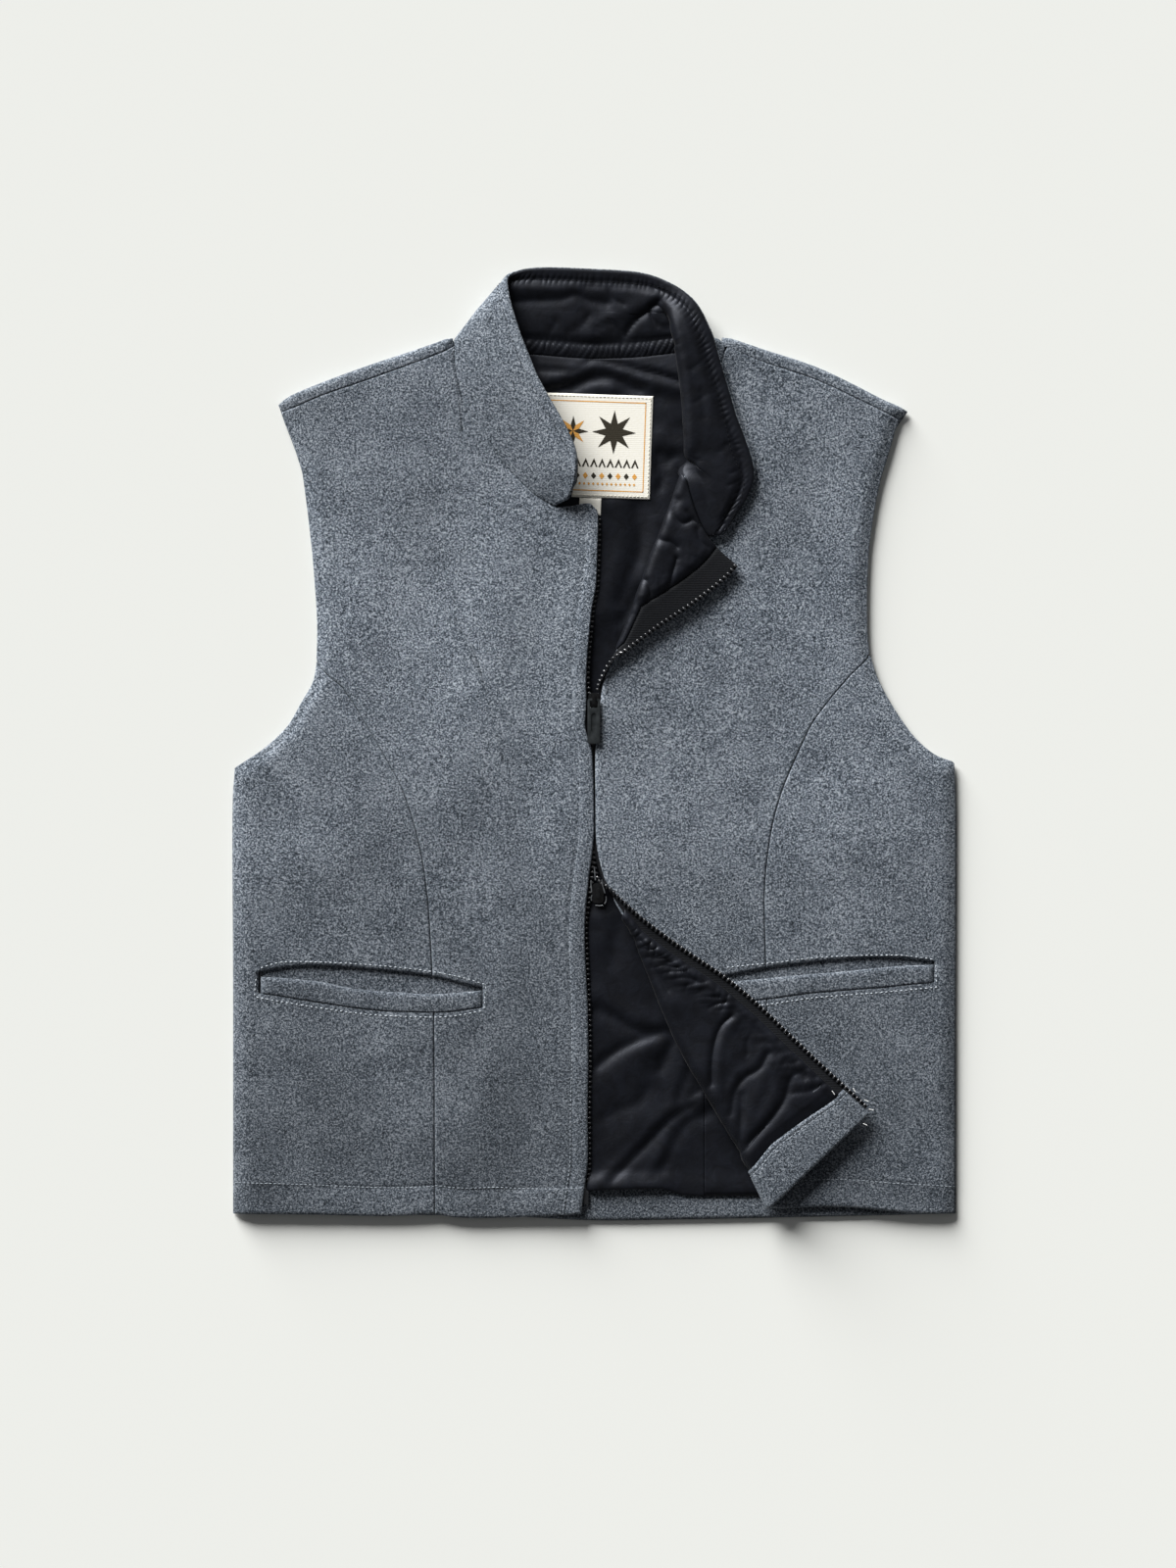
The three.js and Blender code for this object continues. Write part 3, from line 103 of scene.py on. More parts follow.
PRINCESS_L: Line = (
    (187, 60), (175, 47), (163, 33.5), (149, 14.5), (139, -6), (129, -29.5), (122, -53.5), (117.5, -82.5),
    (116, -108.5), (117, -147.5), (118.5, -201.5), (121.5, -262), (131, -317),
)
SHOULDER_EDGE_R: Line = (
    (-215.5, 233), (-204.5, 239), (-161, 256), (-119, 270), (-102, 276), (-96, 278.5),
)
SHOULDER_SEAM_R: Line = (
    (-213.5, 226.5), (-202.5, 230.5), (-187.5, 237), (-148.5, 250.5), (-129.5, 257.5), (-102, 268),
    (-95.5, 271.5),
)
SHOULDER_EDGE_L: Line = (
    (213.5, 228.5), (198, 234.5), (177.5, 245), (151, 257.5), (116, 269.5), (91, 278.8),
)
SHOULDER_SEAM_L: Line = (
    (208, 221), (196.5, 227), (177, 236.5), (151, 248.5), (116, 260.5), (91, 271.5),
)
NECK_R: Line = (
    (-95.5, 271.5), (-95, 254), (-89.5, 234), (-78, 212.5), (-58.5, 187.5), (-41, 170), (-26.5, 161.5),
)
NECK_L: Line = (
    (91, 271.5), (88.5, 266.5), (83.5, 253.5), (79, 239), (74.5, 224), (70.8, 209.5), (67.8, 197.5),
)
NECK_BACK: Line = (
    (-96, 277.5), (-87, 273), (-66, 268.3), (-41, 266.3), (-5.5, 263.5), (29, 264.3), (46.5, 266.3),
    (60.5, 268.3), (75, 271.6), (91, 277.8),
)
TOP_R: Line = (
    (-26.5, 161.5), (-17, 162), (-4.5, 164), (0.5, 162), (2.5, 157),
)
EDGE_R: Line = (
    (2.5, 157), (2.5, 146.5), (2, 129.5), (1, 106.5), (-1.5, 93), (-3, 79), (-4.5, 62.5), (-5.5, 46),
    (-5.5, 34), (-5.5, 26), (-6, 9.5), (-2, -3), (-1, -19), (-0.3, -43), (-0.3, -61), (-1.5, -74.5),
    (-3.5, -90), (-4.5, -100), (-6, -114.5), (-6.5, -134.5), (-4.5, -179.5), (-4, -215.5), (-4.5, -252),
    (-4.5, -287.5), (-7, -305.5), (-9, -321),
)
HEM_R: Line = (
    (-109, -321), (-93.5, -323.5), (-58, -323.5), (-9, -321),
)
HEM_SIDE_R: Line = (
    (-246, -321), (-192.5, -321.5), (-139.5, -322.5), (-109, -321),
)
HEM_SIDE_L: Line = (
    (246, -321), (218, -320.5), (180, -317), (161, -316), (131, -317),
)
TEETH_LINE_R: Line = (
    (4.2, 156), (3.8, 129.5), (2.8, 106.5), (0.2, 93), (-1.2, 79), (-2.8, 62.5), (-3.6, 46), (-3, 36),
    (-1.4, 29), (-0.5, 24), (-0.5, 0), (-0.5, -50), (-0.5, -86), (-1, -94), (-2.2, -103), (-3.6, -111),
    (-4.8, -122), (-4.7, -134.5), (-2.7, -179.5), (-2.2, -215.5), (-2.7, -252), (-2.7, -287.5),
    (-4, -299),
)

# Left front from the collar to the hem: height where the row starts at the side, outermost point of the
# roll in x and y, roll radius, zip edge in x and y, its lift over the panel, reach of the teeth past it
LEFT_TABLE = np.array((
    (190, 60.5, 184, 4.2, 96, 122.5, 7, 0.85),
    (174, 49, 152, 4.2, 87.5, 113, 7, 0.85),
    (152, 38.5, 124.5, 4.2, 66.5, 96.5, 6.5, 0.85),
    (125, 28, 94.5, 4, 42.5, 80.5, 6.5, 0.85),
    (96, 18, 70.5, 3, 24, 66.5, 6, 0.85),
    (76, 11.5, 55.5, 1.6, 13, 56.5, 5, 1),
    (60, 8, 44, 0.7, 6.5, 43.5, 2.4, 1.6),
    (36, 9.5, 33, 0, 4.6, 33, 0, 2.5),
    (18, 8, 19, 0, 3, 19, 0, 3.15),
    (-4, 5.7, -4, 0, 0.7, -4, 0, 0.85),
    (-40, 5.7, -41, 0, 0.7, -41, 0, 0.85),
    (-66, 6, -66, 0, 1.2, -66, 0, 1.35),
    (-82, 9, -82, 0, 4, -82, 0, 4),
    (-95, 11.5, -95.5, 0.1, 7.8, -94, 0.1, 5),
    (-106, 13.5, -107, 1, 12.8, -102.5, 2.8, 3.2),
    (-118, 20, -118.5, 2.2, 21.5, -110.5, 6, 1.4),
    (-131, 28.5, -131, 3, 32, -120, 7, 0.85),
    (-147, 34.5, -147, 3.4, 44, -129.5, 7.5, 0.85),
    (-170, 43.5, -170, 4, 62, -142.5, 8, 0.85),
    (-200, 56, -200, 4.4, 88, -160, 8, 0.85),
    (-230, 72, -229, 5, 112, -180, 8, 0.85),
    (-262, 91.5, -262, 5.4, 137, -204, 8.5, 0.85),
    (-292, 107.5, -293, 5.4, 161.5, -227, 9, 0.85),
    (-317, 119, -317, 5, 188, -251.5, 9.5, 0.85),
), dtype=float)
SIDE, FOLD_X, FOLD_Y, ROLL, FREE_X, FREE_Y, LIFT, ZIP = range(8)

# Collar from its right front end round the neck to its left front end: seam, then the point half way
# up or the outermost point of the roll, then the upper edge, each in x, y and z, and the roll radius
COLLAR_TABLE = np.array((
    (-27, 162.6, 7.3, -17.5, 166.5, 15.3, -12.5, 178, 23, 0),
    (-33, 165.5, 6.9, -20.5, 176.5, 17.3, -11.5, 190, 28, 0),
    (-41, 170.5, 6.3, -26, 186, 18.3, -13, 201, 29.5, 0),
    (-50, 178.5, 6, -33, 197, 18.3, -18, 213, 29, 0),
    (-60, 189, 5.8, -40, 209, 17.8, -24, 224, 28, 0),
    (-69.5, 200.5, 5.7, -48.5, 220.5, 16.8, -31, 236, 26, 0),
    (-78, 212.5, 5.6, -56, 233.5, 15.8, -38.5, 250, 23.5, 0),
    (-85, 224.5, 5.6, -62.5, 246, 15.3, -44, 263.5, 21.5, 0),
    (-90, 236, 5.6, -67.5, 258, 14.3, -49, 276, 19.5, 0),
    (-93.5, 248.5, 5.6, -71.5, 270, 13.3, -53, 288, 17.8, 0),
    (-95, 261, 5.6, -74.5, 281.5, 12.3, -56.5, 299.5, 16, 0),
    (-94.8, 270.5, 5.6, -77.5, 289.5, 10.9, -58.5, 309.5, 13.6, 0),
    (-94, 275, 4.3, -79.5, 294, 7.7, -58.8, 317.5, 10.1, 0),
    (-86, 274, 2.6, -72.5, 298.5, 3.7, -54.5, 321.8, 6.6, 0),
    (-66, 269.5, 2.2, -58, 299, 2.8, -45, 324.6, 5, 0),
    (-41, 267.5, 2.2, -36, 296, 2.6, -30, 325.4, 4.6, 0),
    (-5.5, 264.7, 2.2, -4.5, 295, 2.6, -2.5, 324.4, 4.6, 0),
    (29, 265.5, 2.2, 28, 294, 2.6, 26, 322.6, 4.8, 0),
    (46.5, 267.5, 2.2, 44, 295, 3.6, 41.5, 319, 6, 0.3),
    (61, 269.7, 2.4, 51.5, 294, 7, 57, 311.6, 9, 2),
    (74.5, 272.8, 3.5, 53.5, 284, 10, 67.5, 303, 11.8, 3.4),
    (82.5, 275, 4.7, 55, 278, 11, 73.5, 294.5, 13, 3.8),
    (87.5, 273, 5.6, 56.5, 272.5, 11.4, 77.8, 285.5, 13.4, 4),
    (88, 266, 5.6, 58, 265, 11.4, 81.8, 276, 13.4, 4),
    (83.5, 253.5, 5.6, 60, 252.5, 11.4, 87, 258, 13.2, 4),
    (79, 239, 5.7, 61.8, 238.5, 11.4, 92.5, 240, 13, 4),
    (74.5, 224, 5.9, 63, 224, 11.4, 97.3, 224, 13, 4),
    (70.8, 209.5, 6.1, 63, 209.5, 11.2, 102.5, 210.5, 13, 3.8),
    (66.5, 196, 7.3, 62.8, 197, 11, 107, 198, 13, 2.8),
    (61.2, 186, 11.3, 72, 189, 13.6, 109.2, 188, 13, 0.4),
    (62.8, 173, 14.9, 84, 177.5, 13.8, 108.8, 179, 13, 0),
    (67.8, 159, 14.9, 87, 165.5, 13.6, 104.5, 168, 12.8, 0),
    (74.8, 147.5, 14.7, 87, 153.5, 13.4, 97, 156, 12.6, 0),
    (81.5, 139, 14.3, 86, 142.5, 13, 90, 145.5, 12.6, 0),
), dtype=float)

# Soft swellings and hollows: centre x and y, half length, direction in degrees, half width, height
FRONT_FOLDS = (
    (-38, 20, 110, 86, 15, -0.9),
    (-75, 60, 120, 80, 24, 1.3),
    (-150, 120, 70, 65, 26, 1.2),
    (-75, -250, 45, 75, 20, 1.4),
    (-190, -80, 60, 12, 22, 1.1),
    (-165, -262, 70, 172, 22, 0.9),
    (105, 110, 90, 96, 18, 1.3),
    (150, 150, 90, 88, 14, -0.5),
    (60, -30, 60, 60, 26, 1.2),
    (185, -70, 55, 4, 22, 1.2),
    (195, -240, 55, 170, 24, 1),
)
LINING_FOLDS = (
    (30, -262, 26, 38, 8, 1.1),
    (36, -284, 26, 28, 8, 1),
    (22, -222, 24, 55, 9, 0.9),
    (34, 118, 26, 72, 9, 0.9),
)
POCKET_LIP_R: Line = (
    (-228, -155.5), (-206, -152), (-179, -152), (-139.5, -155), (-109, -159), (-76, -166.5),
)
POCKET_WELT_R: Line = (
    (-228, -159), (-186, -162.5), (-166.5, -167), (-139.5, -169.5), (-109, -171), (-81.5, -169),
    (-76, -168.5),
)
POCKET_BASE_R: Line = (
    (-228, -170.5), (-192.5, -176), (-153, -181.5), (-126.5, -183), (-100, -183), (-76, -180),
)
POCKET_LIP_L: Line = (
    (88, -158.5), (103, -155.5), (126, -151.5), (164.5, -147.5), (187.5, -146), (210.5, -146.5),
    (232, -148.5),
)
POCKET_WELT_L: Line = (
    (88, -163), (103, -161.5), (133.5, -158.5), (164.5, -156), (195.5, -153), (210.5, -151.5),
    (232, -151),
)
POCKET_BASE_L: Line = (
    (88, -177), (116, -174.5), (149, -170), (195.5, -166.5), (232, -163),
)

# Stitching round the pockets
BOX_R: tuple[Line, ...] = (
    (
        (-228.5, -153.4), (-215.4, -149.4), (-179.2, -149.4), (-139.7, -152.1), (-109.2, -155.8),
        (-89.4, -159.8), (-74.7, -164.2),
    ),
    ((-74.0, -164.8), (-74.7, -173.5), (-75.4, -182.2)),
    (
        (-231.5, -172.9), (-192.6, -179.6), (-153.1, -184.9), (-126.3, -186.3), (-100.2, -186.3),
        (-76.0, -182.2),
    ),
    ((-230.8, -159.5), (-231.5, -165.5), (-231.8, -171.5)),
)
BOX_L: tuple[Line, ...] = (
    (
        (89.4, -152.8), (102.8, -151.4), (122.9, -149.4), (149.7, -146.1), (189.9, -144.4),
        (213.4, -144.7), (232.8, -147.4),
    ),
    ((232.8, -150.1), (233.2, -156.8), (233.5, -163.5)),
    ((92.8, -180.6), (116.2, -178.2), (149.1, -173.5), (195.3, -169.8), (233.5, -166.2)),
)

# Creases of the satin: height, half width, and the line that each one follows
Crease = tuple[float, float, Line]
COLLAR_CREASES: tuple[Crease, ...] = (
    (-2.2, 4.0, ((-58, 302), (-40, 303), (-22, 304), (-13, 307), (-4, 303), (8, 301))),
    (0.74, 6.5, ((-48, 311), (-30, 312), (-14, 313))),
    (-1.6, 3.2, ((-6, 313), (12, 314), (30, 313), (46, 312))),
    (1.74, 6.0, ((-2, 279), (10, 290), (24, 296), (38, 303), (46, 309))),
    (-2.6, 2.6, ((45, 303), (36, 295), (27, 288), (21, 279))),
    (-1.5, 1.5, ((0, 282), (7, 286), (12, 288), (16, 284), (19, 277))),
    (-1.4, 1.4, ((38, 299), (44, 299), (50, 293), (54, 285), (57, 272))),
    (-1.2, 1.3, ((38, 295), (40, 289), (45, 285), (51, 284))),
    (0.74, 3.4, ((43, 293), (48, 289))),
    (0.93, 7.8, ((-38, 290), (-26, 293), (-16, 289))),
    (-0.9, 2.2, ((-18, 281), (-10, 285), (-4, 292))),
    (-0.7, 2.0, ((-30, 282), (-26, 288))),
    (0.5, 3.4, ((28, 283), (34, 288), (39, 286))),
    (-1.0, 2.0, ((10, 309), (13, 304), (20, 300))),
    (0.56, 6.5, ((22, 306), (34, 307))),
    (0.5, 2.6, ((61.5, 262), (62, 240), (64, 215), (66, 202))),
    (-0.7, 2.2, ((72, 240), (75, 222))),
    (0.37, 5.2, ((78, 215), (86, 196), (90, 184))),
    (-0.8, 1.6, ((86, 199), (90, 204), (94, 206))),
    (-0.8, 1.6, ((93, 184), (99, 187), (104, 190))),
    (-0.6, 1.6, ((92, 176), (99, 179))),
    (-0.6, 2.2, ((66, 255), (72, 259))),
    (-0.5, 2.0, ((68, 232), (76, 238))),
)
NECK_CREASES: tuple[Crease, ...] = (
    (-2.6, 2.2, ((-4, 262), (8, 261), (20, 258), (30, 255), (44, 252), (60, 247))),
    (0.99, 4.4, ((-34, 246), (-18, 251), (-4, 258), (10, 258), (26, 251), (44, 246), (58, 242))),
    (-2.4, 4.4, ((-34, 239), (-18, 243), (-4, 249), (6, 251), (16, 248), (30, 241))),
    (-1.1, 1.4, ((-40, 255), (-28, 254.5), (-17, 254))),
    (-1.2, 1.6, ((-16, 253), (-8, 257), (-4, 261))),
    (-0.9, 1.6, ((16, 264), (20, 260), (28, 257))),
    (0.74, 5.2, ((12, 246), (13, 240))),
    (0.99, 6.5, ((46, 210), (52, 205), (58, 203))),
    (-2.0, 4.0, ((44, 197), (50, 194), (54, 196))),
    (0.68, 3.1, ((54, 196), (60, 188), (64, 178))),
    (-1.4, 1.8, ((57, 190), (61, 180), (66, 168))),
    (-1.2, 3.2, ((42, 190), (46, 182), (44, 174))),
    (0.56, 5.2, ((49, 228), (54, 222))),
    (0.81, 7.8, ((12, 166), (17, 152), (19, 138), (14, 118), (8, 98), (5, 84))),
    (-1.0, 5.0, ((28, 160), (32, 138), (26, 116), (18, 98))),
    (0.62, 7.2, ((42, 150), (40, 132), (34, 116))),
    (-1.4, 4.0, ((30, 104), (24, 92), (18, 82))),
)
OPENING_CREASES: tuple[Crease, ...] = (
    (0.81, 6.5, ((4, -120), (8, -127), (3, -135))),
    (-0.9, 5.0, ((18, -122), (14, -134), (12, -150))),
    (0.81, 8.5, ((27, -136), (24, -152), (27, -168), (33, -182))),
    (1.49, 6.5, ((2, -170), (14, -181), (28, -190), (42, -194))),
    (-3.2, 4.4, ((2, -181), (14, -187), (28, -195), (42, -197), (50, -196))),
    (-2.6, 3.6, ((2, -220), (10, -213), (22, -206), (40, -199))),
    (1.12, 7.8, ((2, -232), (14, -222), (30, -210), (44, -204))),
    (-2.4, 4.0, ((56, -200), (50, -210), (45, -222))),
    (0.93, 6.5, ((36, -210), (30, -226), (26, -242), (28, -256))),
    (-1.2, 4.0, ((6, -256), (16, -250), (28, -246), (36, -236))),
    (0.74, 3.4, ((62, -214), (57, -226), (53, -238), (53, -248))),
    (-1.1, 2.4, ((66, -220), (60, -234), (57, -246))),
    (1.24, 3.6, ((4, -299), (16, -286), (30, -272), (42, -258), (56, -248), (78, -238))),
    (-1.9, 3.0, ((12, -298), (26, -283), (40, -268), (52, -256), (66, -248))),
    (1.05, 3.4, ((36, -294), (45, -280), (50, -266), (60, -254), (78, -243))),
    (-1.3, 3.0, ((46, -290), (54, -274), (62, -261), (76, -250))),
    (-1.2, 1.6, ((62, -244), (68, -239), (76, -236))),
    (-0.9, 1.4, ((66, -230), (70, -234), (68, -240))),
    (-1.8, 3.4, ((84, -246), (80, -252), (74, -256))),
    (0.56, 6.5, ((20, -296), (34, -298), (50, -296))),
    (0.5, 3.9, ((88, -290), (84, -302))),
)
LAPEL_CREASES: tuple[Crease, ...] = (
    (0.74, 7.2, ((57, 160), (54, 150), (52, 142))),
    (-2.4, 2.2, ((57, 166), (54, 156), (60, 150), (66, 152))),
    (-2.2, 2.4, ((47, 138), (52, 137), (56, 134))),
    (0.93, 6.5, ((47, 132), (46, 120), (47, 108))),
    (-2.0, 1.7, ((56, 126), (53, 115), (50, 103))),
    (-2.2, 1.8, ((36, 111), (38, 103), (39, 96))),
    (0.68, 5.2, ((33, 102), (32, 92))),
    (-1.8, 1.8, ((27, 88), (26, 82), (25, 77))),
    (0.5, 5.2, ((24, 80), (21, 72))),
    (0.87, 5.2, ((62, 140), (66, 128), (62, 116))),
    (-1.2, 2.0, ((70, 146), (72, 138), (77, 134))),
    (-1.0, 1.4, ((63, 158), (68, 152), (73, 148))),
)
FLAP_CREASES: tuple[Crease, ...] = (
    (0.62, 2.0, ((27, -126), (35, -148), (46, -168), (58, -196), (72, -220), (79, -240), (89, -257))),
    (-1.0, 2.2, ((31, -131), (39, -150), (50, -168))),
    (0.81, 3.9, ((36, -134), (45, -152), (60, -161), (80, -168))),
    (0.99, 9.1, ((58, -176), (68, -186), (74, -200), (76, -218))),
    (-2.6, 2.2, ((93, -186), (86, -193), (82, -204), (80, -218), (80, -232))),
    (1.24, 4.4, ((97, -188), (90, -196), (86, -208), (85, -222), (84, -240))),
    (0.87, 6.5, ((94, -206), (93, -220))),
    (-1.8, 2.4, ((118, -211), (113, -221), (103, -227), (96, -236), (93, -252))),
    (0.8, 3.0, ((112, -212), (107, -219), (98, -224), (92, -234))),
    (-1.2, 1.6, ((104, -202), (104, -212))),
    (1.12, 5.7, ((118, -222), (112, -234), (107, -248), (104, -262))),
    (-2.6, 2.8, ((133, -230), (129, -243), (120, -256), (110, -267), (101, -277))),
    (-2.0, 3.0, ((100, -240), (100, -256), (99, -272))),
    (1.18, 4.2, ((124, -218), (124, -232), (119, -246), (112, -257))),
    (0.62, 7.8, ((146, -230), (138, -242), (130, -252))),
    (-1.8, 2.2, ((134, -226), (142, -224), (150, -228))),
    (-1.5, 1.8, ((136, -238), (148, -236), (156, -232))),
    (-1.2, 1.6, ((78, -180), (90, -176), (100, -176))),
)

# Ends of thread left on the turn-up of the flap: place and run
THREAD_ENDS: tuple[tuple[float, float, float, float], ...] = (
    (161.8, -236.5, 1.6, -2.2),
    (176.0, -234.5, 1.4, -2.4),
    (183.8, -242.5, 2.4, -1.0),
    (187.0, -248.8, 2.6, -0.6),
    (183.0, -258.6, 3.0, -1.4),
)

# Plan line beyond which the flap covers the lining of the back
FLAP_FOLD: Line = ((26, -125), (42, -165), (58, -203), (78, -238), (92, -264), (105, -287), (118, -316))

# Rims of the lower slider that catch the light: its mouth, its bridge and its two flanges
SLIDER_RIMS: tuple[Line, ...] = (
    ((7.9, -104), (8.1, -105.5), (7.9, -107.5), (7.0, -109.2)),
    ((5.6, -110.2), (3.4, -110.6), (0.6, -110.2)),
    ((-1.6, -103.2), (-2.2, -105), (-2.0, -107)),
    ((0, -84), (0.2, -88), (0.7, -93)),
    ((-2.2, -93), (-2.3, -96), (-1.8, -101)),
    ((5, -92.5), (5.4, -96), (7.2, -102)),
)

# Pockets: rows set beside each cut edge, rise of the welt over the panel, and the facing's thickness and gap
CUT_ROWS = (2.8, 1.5, 0.6, 0.0)
WELT_RISE = 0.8
FACING_DEPTH = 1.1
FACING_GAP = 0.5

# Stretches over which the showing lining's forms fade in, in x or y or in distance, from nothing to full
OPENING_SIDE = (-12, -2)
OPENING_TOP = (-108, -118)
NECK_SIDE = (-44, -36)
NECK_FOOT = (70, 90)
NECK_TOP = (266, 254)
NECK_SEAM = (238, 243)
HEM_EASE = (-292, -301)
HEM_EASE_SIDE = (56, 42)
FLAP_COVER = 8
LABEL_EDGE = (0, 3)

# Half sizes and height of the stretch under the label, which has no creases
LABEL_HALF = (39, 35)
LABEL_Y = 203

# Height of the showing lining: share of its creases everywhere and more in the neck, its level, its rise over
# the neck seam, and the ease over the hem beside the flap and more towards the zip
CREASE_SHARE = (0.7, 0.75)
LINING_LEVEL = 1.5
SEAM_RISE = 0.9
HEM_EASE_HEIGHT = (1.0, 2.4)
LOWEST_CREASE = -0.1

# Unevenness of the lying wool: height, size and pattern of each layer
WOOL_LUMPS = ((0.55, 46, 3), (0.22, 19, 5))

# Noise: knots to a side of its pattern and shift of its start, and samples in each stretch of a smooth curve
NOISE_KNOTS = 64
NOISE_SHIFT = (31.3, 29.7)
CURVE_SAMPLES = 33


def ramp(value: Any, start: float, end: float) -> Any:
    """Rise from 0 at the start to 1 at the end, level outside them."""
    return np.clip((value - start) / (end - start), 0, 1)


def bell(offset: Any, width: float) -> Any:
    """Fall smoothly from 1 at no offset to nothing at a few widths."""
    return np.exp(-((offset / width) ** 2))


def run_along(points: Array) -> Array:
    """Return the length of a line from its start to each of its points."""
    return np.concatenate([[0], np.cumsum(np.linalg.norm(np.diff(points, axis=0), axis=1))])


def read_line(values: Array, run: Array, at: Array) -> Array:
    """Read the points or directions of a line at lengths along it."""
    return np.stack([np.interp(at, run, column) for column in values.T], axis=-1)


def upwards(count: int) -> Array:
    """Return the upward direction for each of a number of points."""
    return np.tile((0.0, 0.0, 1.0), (count, 1))


def ring_faces(rings: int, sides: int) -> list[tuple[int, ...]]:
    """Return the faces between neighbouring rings of points."""
    return [
        (r * sides + k, r * sides + (k + 1) % sides, (r + 1) * sides + (k + 1) % sides, (r + 1) * sides + k)
        for r in range(rings - 1)
        for k in range(sides)
    ]


def smooth_value(column: Array, position: Array) -> Array:
    """Read a column smoothly between its entries.

    Args:
        column: Entries, one a row, each a number or a point.
        position: Places to read at, counted in entries.

    Returns:
        One value for each place.
    """
    column = np.asarray(column, dtype=float)
    position = np.asarray(position, dtype=float)
    last = len(column) - 1
    k = np.clip(np.floor(position).astype(int), 0, last - 1)
    t = position - k
    if column.ndim > 1:
        t = t[..., None]
    a, b, c, d = (column[np.clip(k + i, 0, last)] for i in (-1, 0, 1, 2))
    bend = 2 * b - 2 * c + (c - a) / 2 + (d - b) / 2
    slope = -3 * b + 3 * c - (c - a) - (d - b) / 2
    return b + t * ((c - a) / 2 + t * (slope + t * bend))


def across_at(line: Line, y: Array) -> Array:
    """Find where a line that runs down the garment passes given heights.

    Args:
        line: Points with falling y.
        y: Heights.

    Returns:
        The x at each height.
    """
    points = np.array(line, dtype=float)
    y = np.asarray(y, dtype=float)
    k = np.clip((points[:, 1] > y[..., None]).sum(-1), 1, len(points) - 1)
    t = (points[k - 1, 1] - y) / (points[k - 1, 1] - points[k, 1])
    return smooth_value(points[:, 0], k - 1 + np.clip(t, 0, 1))


def height_at(line: Line, x: Array) -> Array:
    """Find the y of a line that runs across the garment at each x."""
    turned = [(py, -px) for px, py in line]
    return across_at(turned, -np.asarray(x, dtype=float))


def height_beside(line: Line, step: float, x: Array) -> Array:
    """Give the y of a line moved up by a step."""
    return height_at(line, x) + step


def smooth_curve(points: Line) -> Curve:
    """Lay a smooth plan curve through points.

    Args:
        points: Points in plan.

    Returns:
        A function from shares of the curve's length to points in plan.
    """
    p = np.array(points, dtype=float)
    p = np.vstack([2 * p[0] - p[1], p, 2 * p[-1] - p[-2]])
    steps = np.maximum(np.linalg.norm(np.diff(p, axis=0), axis=1) ** 0.5, 1e-4)
    t = np.linspace(0, 1, CURVE_SAMPLES)[:, None]
    dense = [p[1:2]]
    for i in range(1, len(p) - 2):
        (before, here, after), (a, b, c, d) = steps[i - 1 : i + 2], p[i - 1 : i + 3]
        start = (b - a) / before - (c - a) / (before + here) + (c - b) / here
        end = (c - b) / here - (d - b) / (here + after) + (d - c) / after
        cubic = (2 * b - 2 * c + (start + end) * here) * t**3
        square = (-3 * b + 3 * c - (2 * start + end) * here) * t**2
        dense.append((cubic + square + start * here * t + b)[1:])
    dense = np.vstack(dense)
    run = run_along(dense)
    return partial(read_line, dense, run / run[-1])


def outline(*stretches: tuple[Line, float]) -> Curve:
    """Join smooth stretches with corners between them.

    Args:
        stretches: Points of each stretch, and its share of the parameter.

    Returns:
        A function from 0 to 1 to points in plan.
    """
    ends = np.cumsum([share for _, share in stretches])
    curves = [smooth_curve(points) for points, _ in stretches]

    def at(t: Array) -> Array:
        """Return the plan points at parameters from 0 to 1."""
        t = np.clip(np.asarray(t, dtype=float), 0, 1)
        which = np.clip(np.searchsorted(ends, t - 1e-9), 0, len(curves) - 1)
        result = np.zeros(t.shape + (2,))
        for i, (curve, (_, share)) in enumerate(zip(curves, stretches)):
            chosen = which == i
            result[chosen] = curve((t[chosen] - (ends[i] - share)) / share)
        return result

    return at


def fold_height(folds: Sequence[Sequence[float]], x: Array, y: Array) -> Array:
    """Add up the soft swellings and hollows of a table at points in plan."""
    total = np.zeros_like(np.asarray(x, dtype=float))
    for fx, fy, reach, turn, width, height in folds:
        c, s = math.cos(math.radians(turn)), math.sin(math.radians(turn))
        along = ((x - fx) * c + (y - fy) * s) / reach
        over = (-(x - fx) * s + (y - fy) * c) / width
        total = total + height * np.exp(-(over**2) - along**4)
    return total


def line_distance(line: Line, x: Array, y: Array) -> Array:
    """Measure the distance in plan from points to a line of straight stretches."""
    best = np.full(np.shape(x), np.inf)
    for (ax, ay), (bx, by) in zip(line[:-1], line[1:]):
        length = (bx - ax) ** 2 + (by - ay) ** 2
        t = np.clip(((x - ax) * (bx - ax) + (y - ay) * (by - ay)) / length, 0, 1)
        best = np.minimum(best, np.hypot(x - ax - t * (bx - ax), y - ay - t * (by - ay)))
    return best


def crease_height(creases: Sequence[Crease], x: Array, y: Array) -> Array:
    """Add up the creases of a table at points in plan."""
    total = np.zeros(np.shape(x))
    for height, width, line in creases:
        path = [tuple(p) for p in smooth_curve(line)(np.linspace(0, 1, 4 * len(line)))]
        total += height * np.exp(-((line_distance(path, x, y) / width) ** 1.8))
    return total


def sheared(grid: Array, positions: Array, starts: Array, ends: Array) -> Array:
    """Read a grid anew between a start and an end position for each of its columns."""
    shares = (positions - positions[0]) / (positions[-1] - positions[0])
    result = np.empty_like(grid)
    for j, (start, end) in enumerate(zip(starts, ends)):
        result[:, j] = read_line(grid[:, j], positions, start + (end - start) * shares)
    return result


